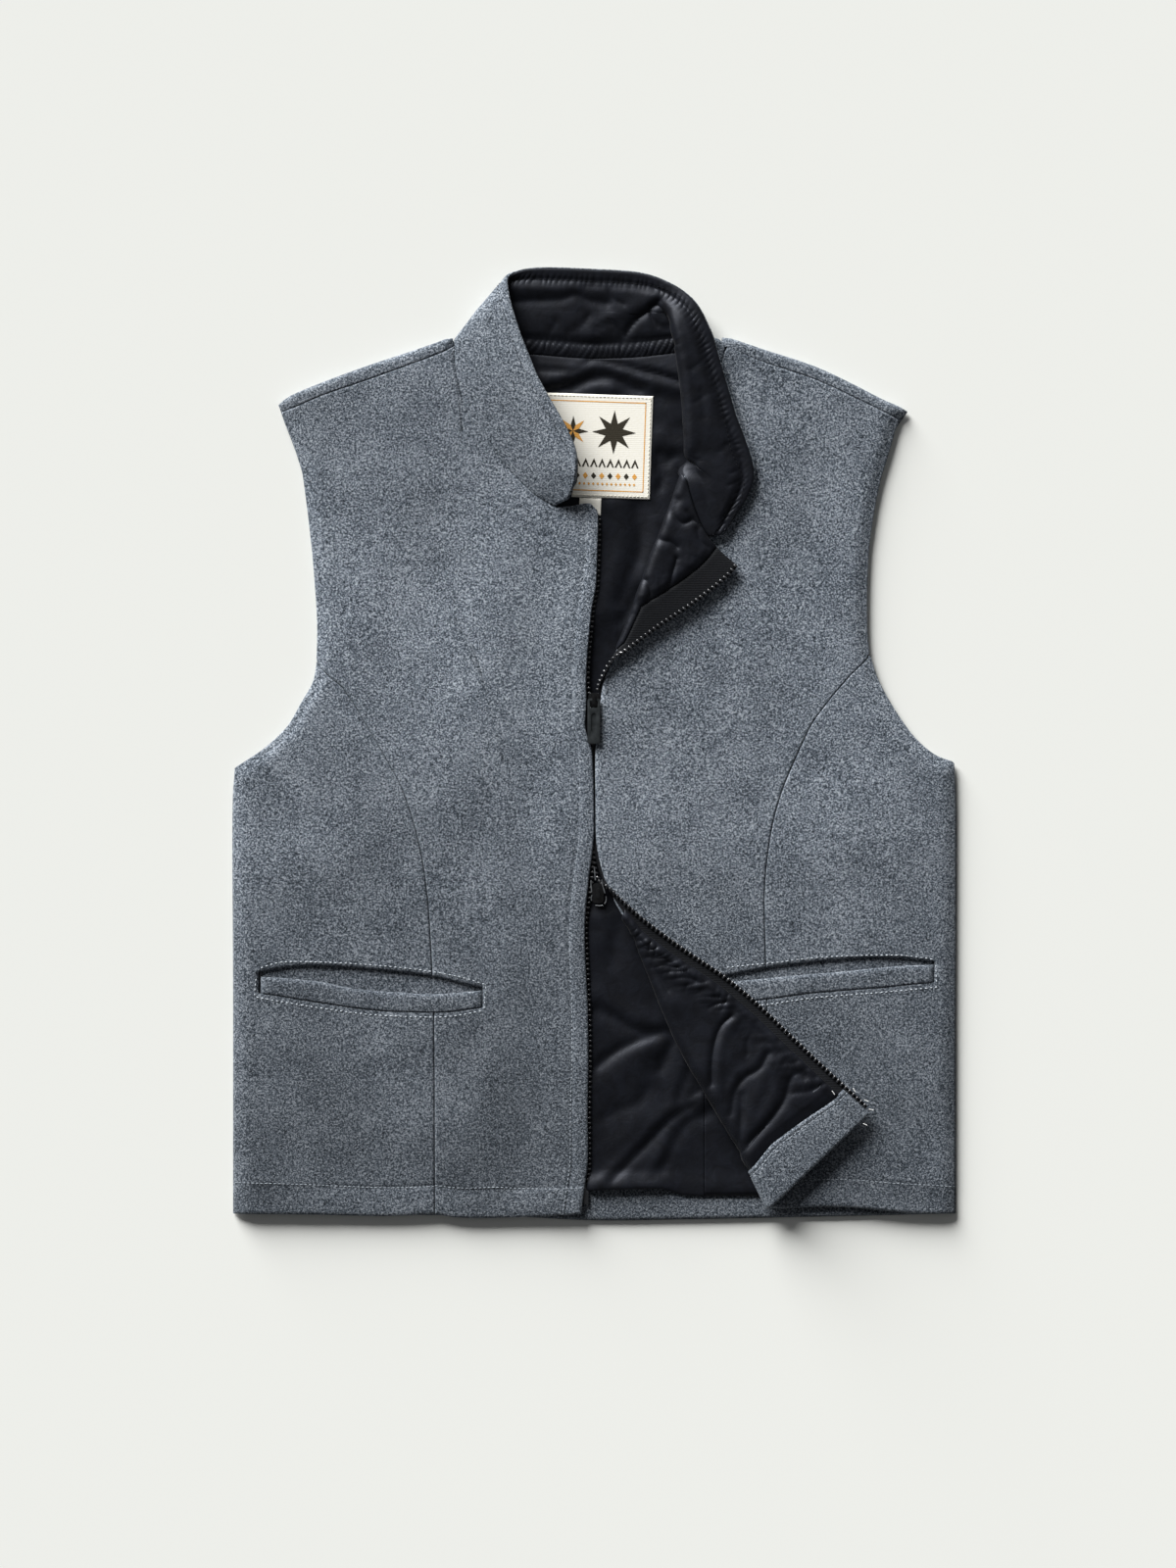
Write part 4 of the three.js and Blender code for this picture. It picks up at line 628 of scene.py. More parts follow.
def value_noise(x: Array, y: Array, size: float, seed: int) -> Array:
    """Read smooth noise between -1 and 1.

    Args:
        x: Plan x.
        y: Plan y.
        size: Distance between the noise's knots.
        seed: Number that picks the pattern.

    Returns:
        Noise at each point.
    """
    table = np.random.default_rng(seed).uniform(-1, 1, (NOISE_KNOTS, NOISE_KNOTS))
    gx, gy = np.asarray(x) / size + NOISE_SHIFT[0], np.asarray(y) / size + NOISE_SHIFT[1]
    ix, iy = np.floor(gx).astype(int), np.floor(gy).astype(int)
    tx, ty = gx - ix, gy - iy
    tx, ty = tx * tx * (3 - 2 * tx), ty * ty * (3 - 2 * ty)
    a, b, c, d = (table[(ix + i) % NOISE_KNOTS, (iy + j) % NOISE_KNOTS] for j in (0, 1) for i in (0, 1))
    return (a * (1 - tx) + b * tx) * (1 - ty) + (c * (1 - tx) + d * tx) * ty


EDGE_LINES: tuple[Line, ...] = (
    ARMHOLE_R,
    ARMHOLE_L,
    ((-HALF_WIDTH, -16), (-HALF_WIDTH, HEM_Y)),
    ((HALF_WIDTH, -12), (HALF_WIDTH, HEM_Y)),
)


def front_height(x: Array, y: Array) -> Array:
    """Give the height of the inner face of the fronts as they lie, with the small unevenness of the cloth."""
    placket = bell(x, PLACKET_WIDTH)
    inland = np.min([line_distance(line, x, y) for line in EDGE_LINES], axis=0)
    fade = (1 - bell(inland, 3 * EDGE_REACH)) * (1 - placket)
    uneven = sum(height * value_noise(x, y, size, seed) for height, size, seed in WOOL_LUMPS)
    level = FRONT_REST + PLACKET_RISE * placket - EDGE_DROP * bell(inland, EDGE_REACH)
    return level + (fold_height(FRONT_FOLDS, x, y) + uneven) * fade


def lining_height(x: Array, y: Array) -> Array:
    """Give the height of the inner face of the back lining, with its creases and the ease over the hem."""
    beside_flap = ramp(across_at(FLAP_FOLD, y) + FLAP_COVER - x, 0, FLAP_COVER)
    opening = ramp(x, *OPENING_SIDE) * beside_flap * ramp(y, *OPENING_TOP)
    neck = ramp(x, *NECK_SIDE) * ramp(y, *NECK_FOOT) * ramp(y, *NECK_TOP)
    beside_label = np.maximum(np.abs(x) - LABEL_HALF[0], np.abs(y - LABEL_Y) - LABEL_HALF[1])
    free_neck = neck * ramp(beside_label, *LABEL_EDGE)
    creases = crease_height(OPENING_CREASES, x, y) * opening + crease_height(NECK_CREASES, x, y) * free_neck
    soft = fold_height(LINING_FOLDS, x, y) * (opening + free_neck)
    soft = soft + (CREASE_SHARE[0] + CREASE_SHARE[1] * neck) * creases
    soft = soft + LINING_LEVEL * (opening + neck) + SEAM_RISE * neck * ramp(y, *NECK_SEAM)
    ease = HEM_EASE_HEIGHT[0] + HEM_EASE_HEIGHT[1] * ramp(x, *HEM_EASE_SIDE)
    return BACK_LINING + GAP + np.maximum(soft, LOWEST_CREASE) + ease * opening * ramp(y, *HEM_EASE)


def on_front(plan: Array) -> Array:
    """Lift plan points to the inner face of the fronts."""
    return np.dstack([plan[..., 0], plan[..., 1], front_height(plan[..., 0], plan[..., 1])])


class Edge(Enum):
    """The four sides of a grid of cloth."""

    TOP = "first row"
    BOTTOM = "last row"
    FIRST = "first column"
    LAST = "last column"


# Grid lines from a side inwards and to each side of a row of stitches, and how far these keep off the side
SIDE_LINES = (0.0, 0.3, 0.8, 1.6, 2.6)
STITCH_LINES = (-1.6, -0.8, 0, 0.8, 1.6)
CLEAR_OF_SIDE = 3.2


@dataclass(frozen=True)
class Border:
    """How cloth ends along one side.

    Args:
        stitch: Distance of the topstitching from the side, or None.
        groove: Depth that the stitches pull in.
        turn: Distance over which the outer face rounds down to the side.
        left_over: Share of the thickness that is left at the very side.
        above: Plan height above which the side is topstitched.
    """

    stitch: Optional[float] = None
    groove: float = 0.45
    turn: float = 2.2
    left_over: float = 0.3
    above: float = -1000.0

    def lines(self) -> list[float]:
        """Return the distances from the side at which the grid has a line."""
        if self.stitch is None:
            return list(SIDE_LINES)
        return [*SIDE_LINES, *(self.stitch + s for s in STITCH_LINES if self.stitch + s > CLEAR_OF_SIDE)]


PLAIN = Border()
SEAM = Border(turn=1.3, left_over=0.45)
CLOSE_SEAM = Border(turn=0.8, left_over=0.7)


def stations(length: float, first: Border, last: Border, spacing: float) -> Array:
    """Place grid lines across a length, close together beside its ends and its stitching.

    Args:
        length: Length to divide.
        first: Border at the start.
        last: Border at the end.
        spacing: Distance between the lines elsewhere.

    Returns:
        Rising distances from 0 to the length.
    """
    start = np.array(first.lines())
    end = length - np.array(last.lines())[::-1]
    count = max(1, round((end[0] - start[-1]) / spacing))
    return np.concatenate([start, np.linspace(start[-1], end[0], count + 1)[1:-1], end])


def fitted(lines: Array, widths: Array, first: Border, last: Border) -> Array:
    """Fit one set of grid lines to rows of differing width, keeping those beside the ends where they are.

    Args:
        lines: Distances across a typical width.
        widths: Width of each row.
        first: Border at the start.
        last: Border at the end.

    Returns:
        Shares of the width, a row for each width and a column for each line.
    """
    total = lines[-1]
    a, b = first.lines()[-1], last.lines()[-1]
    widths = widths[:, None]
    shrink = np.minimum(1, 0.8 * widths / (a + b))
    placed = a * shrink + (lines - a) / (total - a - b) * (widths - (a + b) * shrink)
    placed = np.where(lines >= total - b, widths - (total - lines) * shrink, placed)
    return np.where(lines <= a, lines * shrink, placed) / widths


def spaced(length: float, first: Border, last: Border, step: float) -> Array:
    """Return the stations over a length as shares of it."""
    return stations(length, first, last, step) / length


def grid_between(left: Array, right: Array, top: Curve, bottom: Curve, shares: Array) -> Array:
    """Fill the space between two edges given row by row and curves for the first and last row.

    Args:
        left: Plan points of the first edge.
        right: Plan points of the other edge.
        top: Curve of the first row.
        bottom: Curve of the last row.
        shares: Share of the width at each row and column.

    Returns:
        Plan points, a row for each pair of edge points.
    """
    v = ((left[0, 1] - left[:, 1]) / (left[0, 1] - left[-1, 1]))[:, None, None]
    u = shares[..., None]
    straight = left[:, None] * (1 - u) + right[:, None] * u
    straight = straight + (top(shares) - left[0] * (1 - u) - right[0] * u) * (1 - v)
    return straight + (bottom(shares) - left[-1] * (1 - u) - right[-1] * u) * v


def coons(left: Curve, right: Curve, top: Curve, bottom: Curve, u: Array, v: Array) -> Array:
    """Fill the patch between four boundary curves in plan.

    Args:
        left: Curve down the first side.
        right: Curve down the other side.
        top: Curve across the start.
        bottom: Curve across the end.
        u: Shares across.
        v: Shares down.

    Returns:
        Plan points, a row for each share down.
    """
    across, down = u[None, :, None], v[:, None, None]
    sides = left(v)[:, None] * (1 - across) + right(v)[:, None] * across
    ends = top(u)[None] * (1 - down) + bottom(u)[None] * down
    upper = left(np.zeros(1))[0] * (1 - across) + right(np.zeros(1))[0] * across
    lower = left(np.ones(1))[0] * (1 - across) + right(np.ones(1))[0] * across
    return sides + ends - upper * (1 - down) - lower * down


def rolled(
    start: Array, turn: Array, end: Array, roll: Array, least: float,
    before: Array, angles: Array, after: Array,
) -> Array:
    """Join two stretches of cloth by a roll, row by row.

    Args:
        start: Point where each row starts.
        turn: Outermost point of its roll.
        end: Point where it ends.
        roll: Radius of the roll.
        least: Least distance over which the cloth bends.
        before: Shares of the way to the roll, a row of them for each row.
        angles: Angles round the roll, from -90 to 90 degrees in radians.
        after: Shares of the way from the roll to the end, a row of them for each row.

    Returns:
        Points, a row for each start.
    """
    flat = np.array([1.0, 1.0, 0.0])
    to_start, to_end = (start - turn) * flat, (end - turn) * flat
    length_s = np.linalg.norm(to_start, axis=1)
    length_e = np.linalg.norm(to_end, axis=1)
    reach_s = np.minimum(np.maximum(roll, least), 0.5 * length_s)
    reach_e = np.minimum(np.maximum(roll, least), 0.5 * length_e)
    slope_s = reach_s / np.maximum(reach_s, np.linalg.norm(start - turn, axis=1))
    slope_e = reach_e / np.maximum(reach_e, np.linalg.norm(end - turn, axis=1))
    rise = (turn[:, 2] - roll - start[:, 2]) * slope_s
    fall = (turn[:, 2] + roll - end[:, 2]) * slope_e
    inward = 1 - np.cos(angles)
    out_s = to_start / length_s[:, None] * reach_s[:, None]
    out_e = to_end / length_e[:, None] * reach_e[:, None]
    out_s[:, 2], out_e[:, 2] = -rise, -fall
    lower = (angles < 0)[None, :, None]
    bend = turn[:, None] + np.where(lower, out_s[:, None], out_e[:, None]) * inward[None, :, None]
    bend[..., 2] += roll[:, None] * np.sin(angles)
    first = start[:, None] + (bend[:, :1] - start[:, None]) * before[..., None]
    rest = bend[:, -1:] + (end[:, None] - bend[:, -1:]) * after[..., None]
    rest[..., 2] += 0.25 * fall[:, None] * np.sin(np.pi * after)
    return np.concatenate([first, bend, rest], axis=1)


def aligned(points: Array, knots: Sequence[tuple[int, Curve]], weight: Array) -> Array:
    """Slide the points of each column along it until chosen rows follow lines across the garment.

    Args:
        points: Grid of points whose y falls from row to row.
        knots: Row numbers, rising, each with a function from x to the y of its line.
        weight: How far each column follows, from 0 to 1.

    Returns:
        The grid with its rows moved.
    """
    index = np.arange(len(points), dtype=float)
    ends = [0, len(points) - 1]
    known = [ends[0], *(row for row, _ in knots), ends[1]]
    moved = points.copy()
    for j, share in enumerate(weight):
        column = points[:, j]
        targets = []
        for row, line in knots:
            found = float(np.interp(0, line(column[:, 0]) - column[:, 1], index))
            targets.append(row + share * (found - row))
        moved[:, j] = read_line(column, index, np.interp(index, known, [ends[0], *targets, ends[1]]))
    return moved


def cut_rows(points: Array, lip: Line, base: Line, weight: Array) -> tuple[Array, int, int]:
    """Make rows of a grid follow the two cut edges of a pocket.

    Args:
        points: Grid of points.
        lip: Upper edge of the opening.
        base: Lower edge of the opening.
        weight: How far each column follows, from 0 to 1.

    Returns:
        The grid, and the numbers of the rows on the upper and lower edge.
    """
    j = int(np.argmax(weight))
    column = points[:, j]
    upper = int(np.argmin(np.abs(column[:, 1] - height_at(lip, column[:, 0]))))
    lower = int(np.argmin(np.abs(column[:, 1] - height_at(base, column[:, 0]))))
    first = upper - len(CUT_ROWS) + 1
    knots = [(first + k, partial(height_beside, lip, d)) for k, d in enumerate(CUT_ROWS)]
    knots += [(lower + k, partial(height_beside, base, -d)) for k, d in enumerate(CUT_ROWS[::-1])]
    return aligned(points, knots, weight), upper, lower


def run_where(steps: Array, joined: Array) -> Array:
    """Add up steps row by row, from 0 again wherever a row isn't joined to the one before."""
    run = np.zeros((len(steps) + 1, steps.shape[1]))
    for i, (step, there) in enumerate(zip(steps, joined)):
        run[i + 1] = np.where(there, run[i] + step, 0)
    return run


def whole_cells(here: Array) -> Array:
    """Tell which cells of a grid have all four of their points."""
    return here[:-1, :-1] & here[1:, :-1] & here[:-1, 1:] & here[1:, 1:]


@dataclass
class Cloth:
    """A piece of cloth: a grid of points on one face, closed at a distance from it by its other face.

    Args:
        points: Grid of points.
        side: 1 if the seen face lies along row direction times column direction, else -1.
        low: Distance from the grid to the hidden face.
        high: Distance from the grid to the seen face, a number or one for each point.
        borders: How the cloth ends on each side.
        cells: Which cells of the grid there are, all of them if None.
        thinnest: Least thickness.
        groove_width: Half width of the groove under stitches.
        sewing_start: Distance over which a row of stitches sinks in.
        least_cut: Least width and length of the cut; not used.
        least_share: Least share of the cut's rectangle that the cloth fills; not used.
    """

    points: Array
    side: int
    low: float
    high: Any
    borders: dict[Edge, Border] = field(default_factory=dict)
    cells: Optional[Array] = None
    thinnest: float = 0.15
    groove_width: float = 1.3
    sewing_start: float = 4.0
    least_cut: float = 10.5
    least_share: float = 0.31

    def __post_init__(self) -> None:
        """Fill in the cells and work out normals, margins and the two faces."""
        rows, columns = self.points.shape[:2]
        if self.cells is None:
            self.cells = np.ones((rows - 1, columns - 1), dtype=bool)
        self.normals = self._normals()
        self.margins = self._margins(self.cells)
        self.ends = self._margins(np.ones_like(self.cells))
        outer = self.low + (self.high - self.low) * self._fullness()
        for edge, border in self.borders.items():
            if border.stitch is not None:
                sewn = border.groove * ramp(self.points[..., 1] - border.above, 0, self.sewing_start)
                outer = outer - sewn * bell(self.ends[edge] - border.stitch, self.groove_width)
        self.outer = self.points + self.normals * np.maximum(outer, self.low + self.thinnest)[..., None]
        self.inner = self.points + self.normals * self.low

    def _normals(self) -> Array:
        """Average the normals of the cells round each point."""
        p = self.points
        across = p[:-1, 1:] - p[1:, :-1]
        down = p[1:, 1:] - p[:-1, :-1]
        cell = np.cross(across, down) * self.cells[..., None] * self.side
        total = np.zeros_like(p)
        for di in (0, 1):
            for dj in (0, 1):
                total[di : di + cell.shape[0], dj : dj + cell.shape[1]] += cell
        length = np.linalg.norm(total, axis=2, keepdims=True)
        return np.where(length > 1e-9, total / np.maximum(length, 1e-9), np.array([0.0, 0.0, 1.0]))

    def _margins(self, cells: Array) -> dict[Edge, Array]:
        """Measure how far each point is from the end of the given cells, along the four ways of the grid."""
        padded = np.pad(cells, 1)
        down = np.linalg.norm(np.diff(self.points, axis=0), axis=2)
        joined_down = padded[1:-1, :-1] | padded[1:-1, 1:]
        along = np.linalg.norm(np.diff(self.points, axis=1), axis=2).T
        joined_along = (padded[:-1, 1:-1] | padded[1:, 1:-1]).T
        return {
            Edge.TOP: run_where(down, joined_down),
            Edge.BOTTOM: run_where(down[::-1], joined_down[::-1])[::-1],
            Edge.FIRST: run_where(along, joined_along).T,
            Edge.LAST: run_where(along[::-1], joined_along[::-1])[::-1].T,
        }

    def _fullness(self) -> Array:
        """Give the share of the full thickness at each point."""
        share = np.ones(self.points.shape[:2])
        for edge, margin in self.margins.items():
            border = self.borders.get(edge, PLAIN)
            near = np.clip(1 - margin / border.turn, 0, 1)
            share = np.minimum(share, border.left_over + (1 - border.left_over) * np.sqrt(1 - near**2))
        return share

    def faces(self) -> tuple[Array, Array]:
        """Return the points and the four-cornered faces of the closed piece."""
        rows, columns = self.points.shape[:2]
        count = rows * columns
        number = np.arange(count).reshape(rows, columns)
        corners = [number[:-1, :-1], number[:-1, 1:], number[1:, 1:], number[1:, :-1]]
        chosen = [c[self.cells] for c in corners]
        outer = np.stack(chosen, axis=1) + count
        inner = np.stack(chosen[::-1], axis=1)
        padded = np.pad(self.cells, 1)
        beside = [padded[:-2, 1:-1], padded[1:-1, 2:], padded[2:, 1:-1], padded[1:-1, :-2]]
        rims = []
        for k, neighbour in enumerate(beside):
            free = self.cells & ~neighbour
            a, b = corners[k][free], corners[(k + 1) % 4][free]
            rims.append(np.stack([a + count, a, b, b + count], axis=1))
        quads = np.vstack([outer, inner, *rims])
        if self.side < 0:
            quads = quads[:, ::-1]
        points = np.vstack([self.inner.reshape(-1, 3), self.outer.reshape(-1, 3)])
        used, quads = np.unique(quads, return_inverse=True)
        return points[used], quads.reshape(-1, 4)

    def seam_line(self, edge: Edge) -> tuple[Array, Array]:
        """Return the points of the seen face along an edge's stitching, and the normals there."""
        margin, outer, normals = self.ends[edge], self.outer, self.normals
        if edge in (Edge.FIRST, Edge.LAST):
            margin, outer, normals = margin.T, outer.swapaxes(0, 1), normals.swapaxes(0, 1)
        k = int(np.argmin(np.abs(np.median(margin, axis=1) - self.borders[edge].stitch)))
        return outer[k], normals[k]


def linked(name: str, data: Any) -> Any:
    """Make a Blender object and put it in the scene."""
    piece = bpy.data.objects.new(name, data)
    bpy.context.scene.collection.objects.link(piece)
    return piece


def make_object(name: str, points: Array, faces: Sequence[Sequence[int]], finish: "Finish") -> Any:
    """Make a smooth-shaded Blender object that rides on the vest.

    Args:
        name: Name of the piece.
        points: Points in millimetres.
        faces: Corner numbers of each face.
        finish: What it is made of.

    Returns:
        The Blender object.
    """
    mesh = bpy.data.meshes.new(name)
    mesh.from_pydata((np.asarray(points) * MM).tolist(), [], [list(map(int, f)) for f in faces])
    mesh.shade_smooth()
    piece = linked(name, mesh)
    mesh.materials.append(finish.material())
    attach(piece, BODY)
    log.info("%s: %d faces", name, len(faces))
    return piece


def make_cloth(name: str, cloth: Cloth, finish: "Finish", node: str, *rests_on: str) -> None:
    """Args:
        name: Name of the piece.
        cloth: Its shape.
        finish: What it is made of.
        node: CAD node that it replaces.
        rests_on: Names of what it lies on; not used.
    """
    points, quads = cloth.faces()
    piece = make_object(name, points, quads, finish)
    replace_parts(piece, node)


@dataclass
class Stitching:
    """Lines of topstitching, one short raised stitch after another.

    Args:
        pitch: Distance from stitch to stitch.
        length: Length of the thread that shows.
        width: Thickness of the thread as it lies.
        lift: Height of its middle over the cloth.
        probe: Distance to each side at which a stitch reads the direction of its line.
        sides: Corners of its cross-section.
        rings: Place along the stitch and girth of each section, as shares of the length and width.
    """

    pitch: float = 3.0
    length: float = 1.9
    width: float = 0.55
    lift: float = 0.12
    probe: float = 0.4
    sides: int = 6
    rings: tuple[tuple[float, float], ...] = ((-0.5, 0.35), (-0.28, 0.9), (0.28, 0.9), (0.5, 0.35))
    points: list[Array] = field(default_factory=list)
    faces: list[Array] = field(default_factory=list)
    count: int = 0

    def shape(self) -> Array:
        """Return the points of one stitch: along it, across it and up."""
        half_width, half_height = 0.5 * self.width, 0.4 * self.width
        return np.array([
            (along * self.length, half_width * girth * math.cos(turn), half_height * girth * math.sin(turn))
            for along, girth in self.rings
            for turn in np.linspace(0, math.tau, self.sides, endpoint=False)
        ])

    def add(self, line: Array, normals: Array) -> None:
        """Sew along a line.

        Args:
            line: Points of the line on the cloth.
            normals: Outward directions of the cloth there.
        """
        run = run_along(line)
        at = np.arange(self.pitch / 2, run[-1], self.pitch)
        centre, normal = read_line(line, run, at), read_line(normals, run, at)
        ahead = read_line(line, run, np.minimum(at + self.probe, run[-1]))
        ahead = ahead - read_line(line, run, np.maximum(at - self.probe, 0))
        ahead /= np.linalg.norm(ahead, axis=1, keepdims=True)
        beside = np.cross(normal, ahead)
        shape = self.shape()
        stitch = (
            centre[:, None]
            + shape[None, :, :1] * ahead[:, None]
            + shape[None, :, 1:2] * beside[:, None]
            + (shape[None, :, 2:] + self.lift) * normal[:, None]
        )
        caps = [(0, 5, 4, 3), (0, 3, 2, 1), (18, 19, 20, 21), (18, 21, 22, 23)]
        faces = np.array(ring_faces(len(self.rings), self.sides) + caps)[None]
        faces = faces + (np.arange(len(at)) * len(shape))[:, None, None] + self.count
        self.points.append(stitch.reshape(-1, 3))
        self.faces.append(faces.reshape(-1, 4))
        self.count += stitch.size // 3

    def on_wool(self, line: Line, rise: float, samples: int = 80) -> None:
        """Sew along a plan line on the seen face of the fronts.

        Args:
            line: Points in plan.
            rise: Height over the wool.
            samples: Number of points at which the height is read.
        """
        plan = smooth_curve(line)(np.linspace(0, 1, samples))
        self.add(on_front(plan[None])[0] + (0, 0, WOOL + rise), upwards(samples))

    def make(self, name: str, finish: "Finish") -> None:
        """Turn the stitches sewn so far into one piece."""
        make_object(name, np.vstack(self.points), np.vstack(self.faces), finish)


# Plan lines of the back's hem, of its lining's hem and shoulders and of the turn-up
BACK_HEM: Line = ((-HALF_WIDTH, HEM_Y), (-60, -323), (0, BACK_HEM_Y), (60, -325), (HALF_WIDTH, HEM_Y))
LINING_HEM: Line = ((-75, -308), (0, -305), (30, -304), (48, -304.5), (60, -308), (75, -309))
LINING_SHOULDERS = {
    "right": (-1, ARMHOLE_R, ((-205, 226), (-160, 244), (-118, 257))),
    "left": (1, ARMHOLE_L, ((200, 219), (160, 242), (118, 258))),
}
TURN_UP_TOP: Line = ((-230, -308), (-20, -308), (0, -302), (60, -302), (120, -302), (230, -308))
TURN_UP_HEM: Line = ((-230, HEM_Y), (-60, -322.6), (0, BACK_HEM_Y + 0.5), (60, -324.5), (230, HEM_Y))


@dataclass
class Back:
    """The back: wool panel that comes forward over the shoulders, its lining and its hem.

    Args:
        spacing: Distance between points of the panel and of the side linings.
        length: Typical length of the panel.
        shoulder_columns: Points along each shoulder.
        neck_columns: Points along the back neck.
        strip_shares: Rows of the strip on the front, as shares of the way from its seam to the shoulder.
        roll_angles: Rows round the shoulder, as shares of half a turn.
        strip_reach: How far the left strip goes on under the collar.
        strip_inset: How far the right strip stops short of it.
        least_radius: Least radius of the roll over the shoulder.
        armhole_inset: Step of the panel inside the armhole's outline.
        side_start: Half width at which the straight side starts.
        lining_spacing: Distance between points of the centre lining.
        lining_length: Typical length of the linings.
        lining_width: Typical width of the centre lining.
        lining_side_width: Typical width of the side linings.
        lining_side_rows: Rows of the side linings.
        lining_tops: Heights of the centre lining's upper corners and of the side linings' at the seam.
        lining_inset: Distance of the linings from the side.
        seam_x: Half distance between the two long seams.
        unevenness: Height of the lining's small unevenness.
        uneven_size: Size of its pattern.
        uneven_top: Height at which it has faded out.
        uneven_fade: Distance over which it fades.
        turn_up_thinner: How much thinner than the wool the turn-up lies.
        turn_up_depth: Typical depth of the turn-up.
        turn_up_columns: Points along it.
    """

    spacing: float = 4.5
    length: float = 575.0
    shoulder_columns: int = 26
    neck_columns: int = 32
    strip_shares: tuple[float, ...] = (0.0, 0.03, 0.12, 0.3, 0.6)
    roll_angles: tuple[float, ...] = (1.0, 0.92, 0.84, 0.75, 0.66, 0.58, 0.5, 0.42, 0.34, 0.25)
    strip_reach: float = 4.0
    strip_inset: float = 0.6
    least_radius: float = 0.4
    armhole_inset: float = 0.5
    side_start: float = 245.5
    lining_spacing: float = 2.6
    lining_length: float = 590.0
    lining_width: float = 150.0
    lining_side_width: float = 160.0
    lining_side_rows: int = 170
    lining_tops: tuple[float, float, float] = (268.0, 270.0, 267.0)
    lining_inset: float = 13.0
    seam_x: float = 75.0
    unevenness: float = 0.35
    uneven_size: float = 34.0
    uneven_top: float = 262.0
    uneven_fade: float = 30.0
    turn_up_thinner: float = 0.2
    turn_up_depth: float = 16.0
    turn_up_columns: int = 130

    def shoulder(self, edge: Line, seam: Line, away: float) -> tuple[Array, Array]:
        """Shape the part that comes forward over one shoulder.

        Args:
            edge: Silhouette of the shoulder.
            seam: Seam on the front.
            away: Inset of the neck end.

        Returns:
            Points over the shoulder, a row for each step from the seam, and the line where the back starts.
        """
        u = np.linspace(0, 1, self.shoulder_columns)
        clear = np.stack([away * u**6, np.zeros_like(u)], axis=1)
        seam_plan = smooth_curve(seam)(u) + clear + (0, GAP)
        top = smooth_curve(edge)(u) + clear
        height = front_height(seam_plan[:, 0], seam_plan[:, 1])
        radius = np.maximum(self.least_radius, (height - BACK_REST) / 2)
        x, y = top.T
        first = np.column_stack([x, y - WOOL - radius * (1 - math.sin(math.pi * self.roll_angles[0]))])
        way, crest = first - seam_plan, BACK_REST + 2 * radius
        rows = [np.column_stack([seam_plan + share * way, crest]) for share in self.strip_shares]
        for angle in self.roll_angles:
            depth = WOOL + radius * (1 - math.sin(math.pi * angle))
            rows.append(np.column_stack([x, y - depth, BACK_REST + radius * (1 - math.cos(math.pi * angle))]))
        return np.array(rows), np.column_stack([x, y - WOOL - radius])

    def side(self, sign: int, shoulder: Line, armhole: Line, start_y: float) -> Curve:
        """Return the side of the panel, from the shoulder down to the hem.

        Args:
            sign: Which side it is, 1 for the wearer's left and -1 for the right.
            shoulder: Silhouette of the shoulder.
            armhole: Armhole on that side.
            start_y: Height at which the armhole ends.

        Returns:
            The plan curve.
        """
        x = sign * HALF_WIDTH
        upper = (shoulder[0], *((px - sign * self.armhole_inset, py) for px, py in armhole[1:]))
        lower = ((sign * self.side_start, start_y), (x, -30), (x, -180), (x, HEM_Y))
        return outline((upper, 0.45), (lower, 0.55))

    def panel(self) -> Cloth:
        """Return the wool panel."""
        right, right_flat = self.shoulder(SHOULDER_EDGE_R, SHOULDER_SEAM_R, -self.strip_inset)
        left, left_flat = self.shoulder(SHOULDER_EDGE_L, SHOULDER_SEAM_L, -self.strip_reach)
        neck = smooth_curve(NECK_BACK)(np.linspace(0, 1, self.neck_columns + 2)[1:-1])
        upper_line = np.vstack([right_flat, neck, left_flat[::-1]])
        missing = np.zeros((len(right), self.neck_columns, 3))
        over = np.concatenate([right, missing, left[:, ::-1]], axis=1)
        index = np.linspace(0, 1, len(upper_line))
        flat = coons(
            self.side(-1, SHOULDER_EDGE_R, ARMHOLE_R, -16.5),
            self.side(1, SHOULDER_EDGE_L, ARMHOLE_L, -12.5),
            partial(read_line, upper_line, index),
            smooth_curve(BACK_HEM),
            index,
            spaced(self.length, PLAIN, PLAIN, self.spacing),
        )
        points = np.concatenate([over, np.dstack([flat, np.full(flat.shape[:2], BACK_REST)])])
        here = np.ones(points.shape[:2], dtype=bool)
        here[: len(over), self.shoulder_columns : self.shoulder_columns + self.neck_columns] = False
        borders = {Edge.TOP: CLOSE_SEAM, Edge.FIRST: Border(stitch=6.0), Edge.LAST: Border(stitch=6.0)}
        return Cloth(points, 1, 0, WOOL, borders, whole_cells(here))

    def laid(self, sides: tuple[Curve, Curve], top: Line, bottom: Line, columns: Array, rows: Array) -> Array:
        """Lay a patch of lining between four plan curves."""
        plan = coons(*sides, smooth_curve(top), smooth_curve(bottom), columns, rows)
        x, y = plan[..., 0], plan[..., 1]
        inland = ramp(np.minimum(y - HEM_Y - self.lining_inset, self.uneven_top - y), 0, self.uneven_fade)
        uneven = self.unevenness * np.abs(value_noise(x + 0.5 * y, y, self.uneven_size, 11)) * inland
        return np.dstack([plan, lining_height(x, y) + uneven])

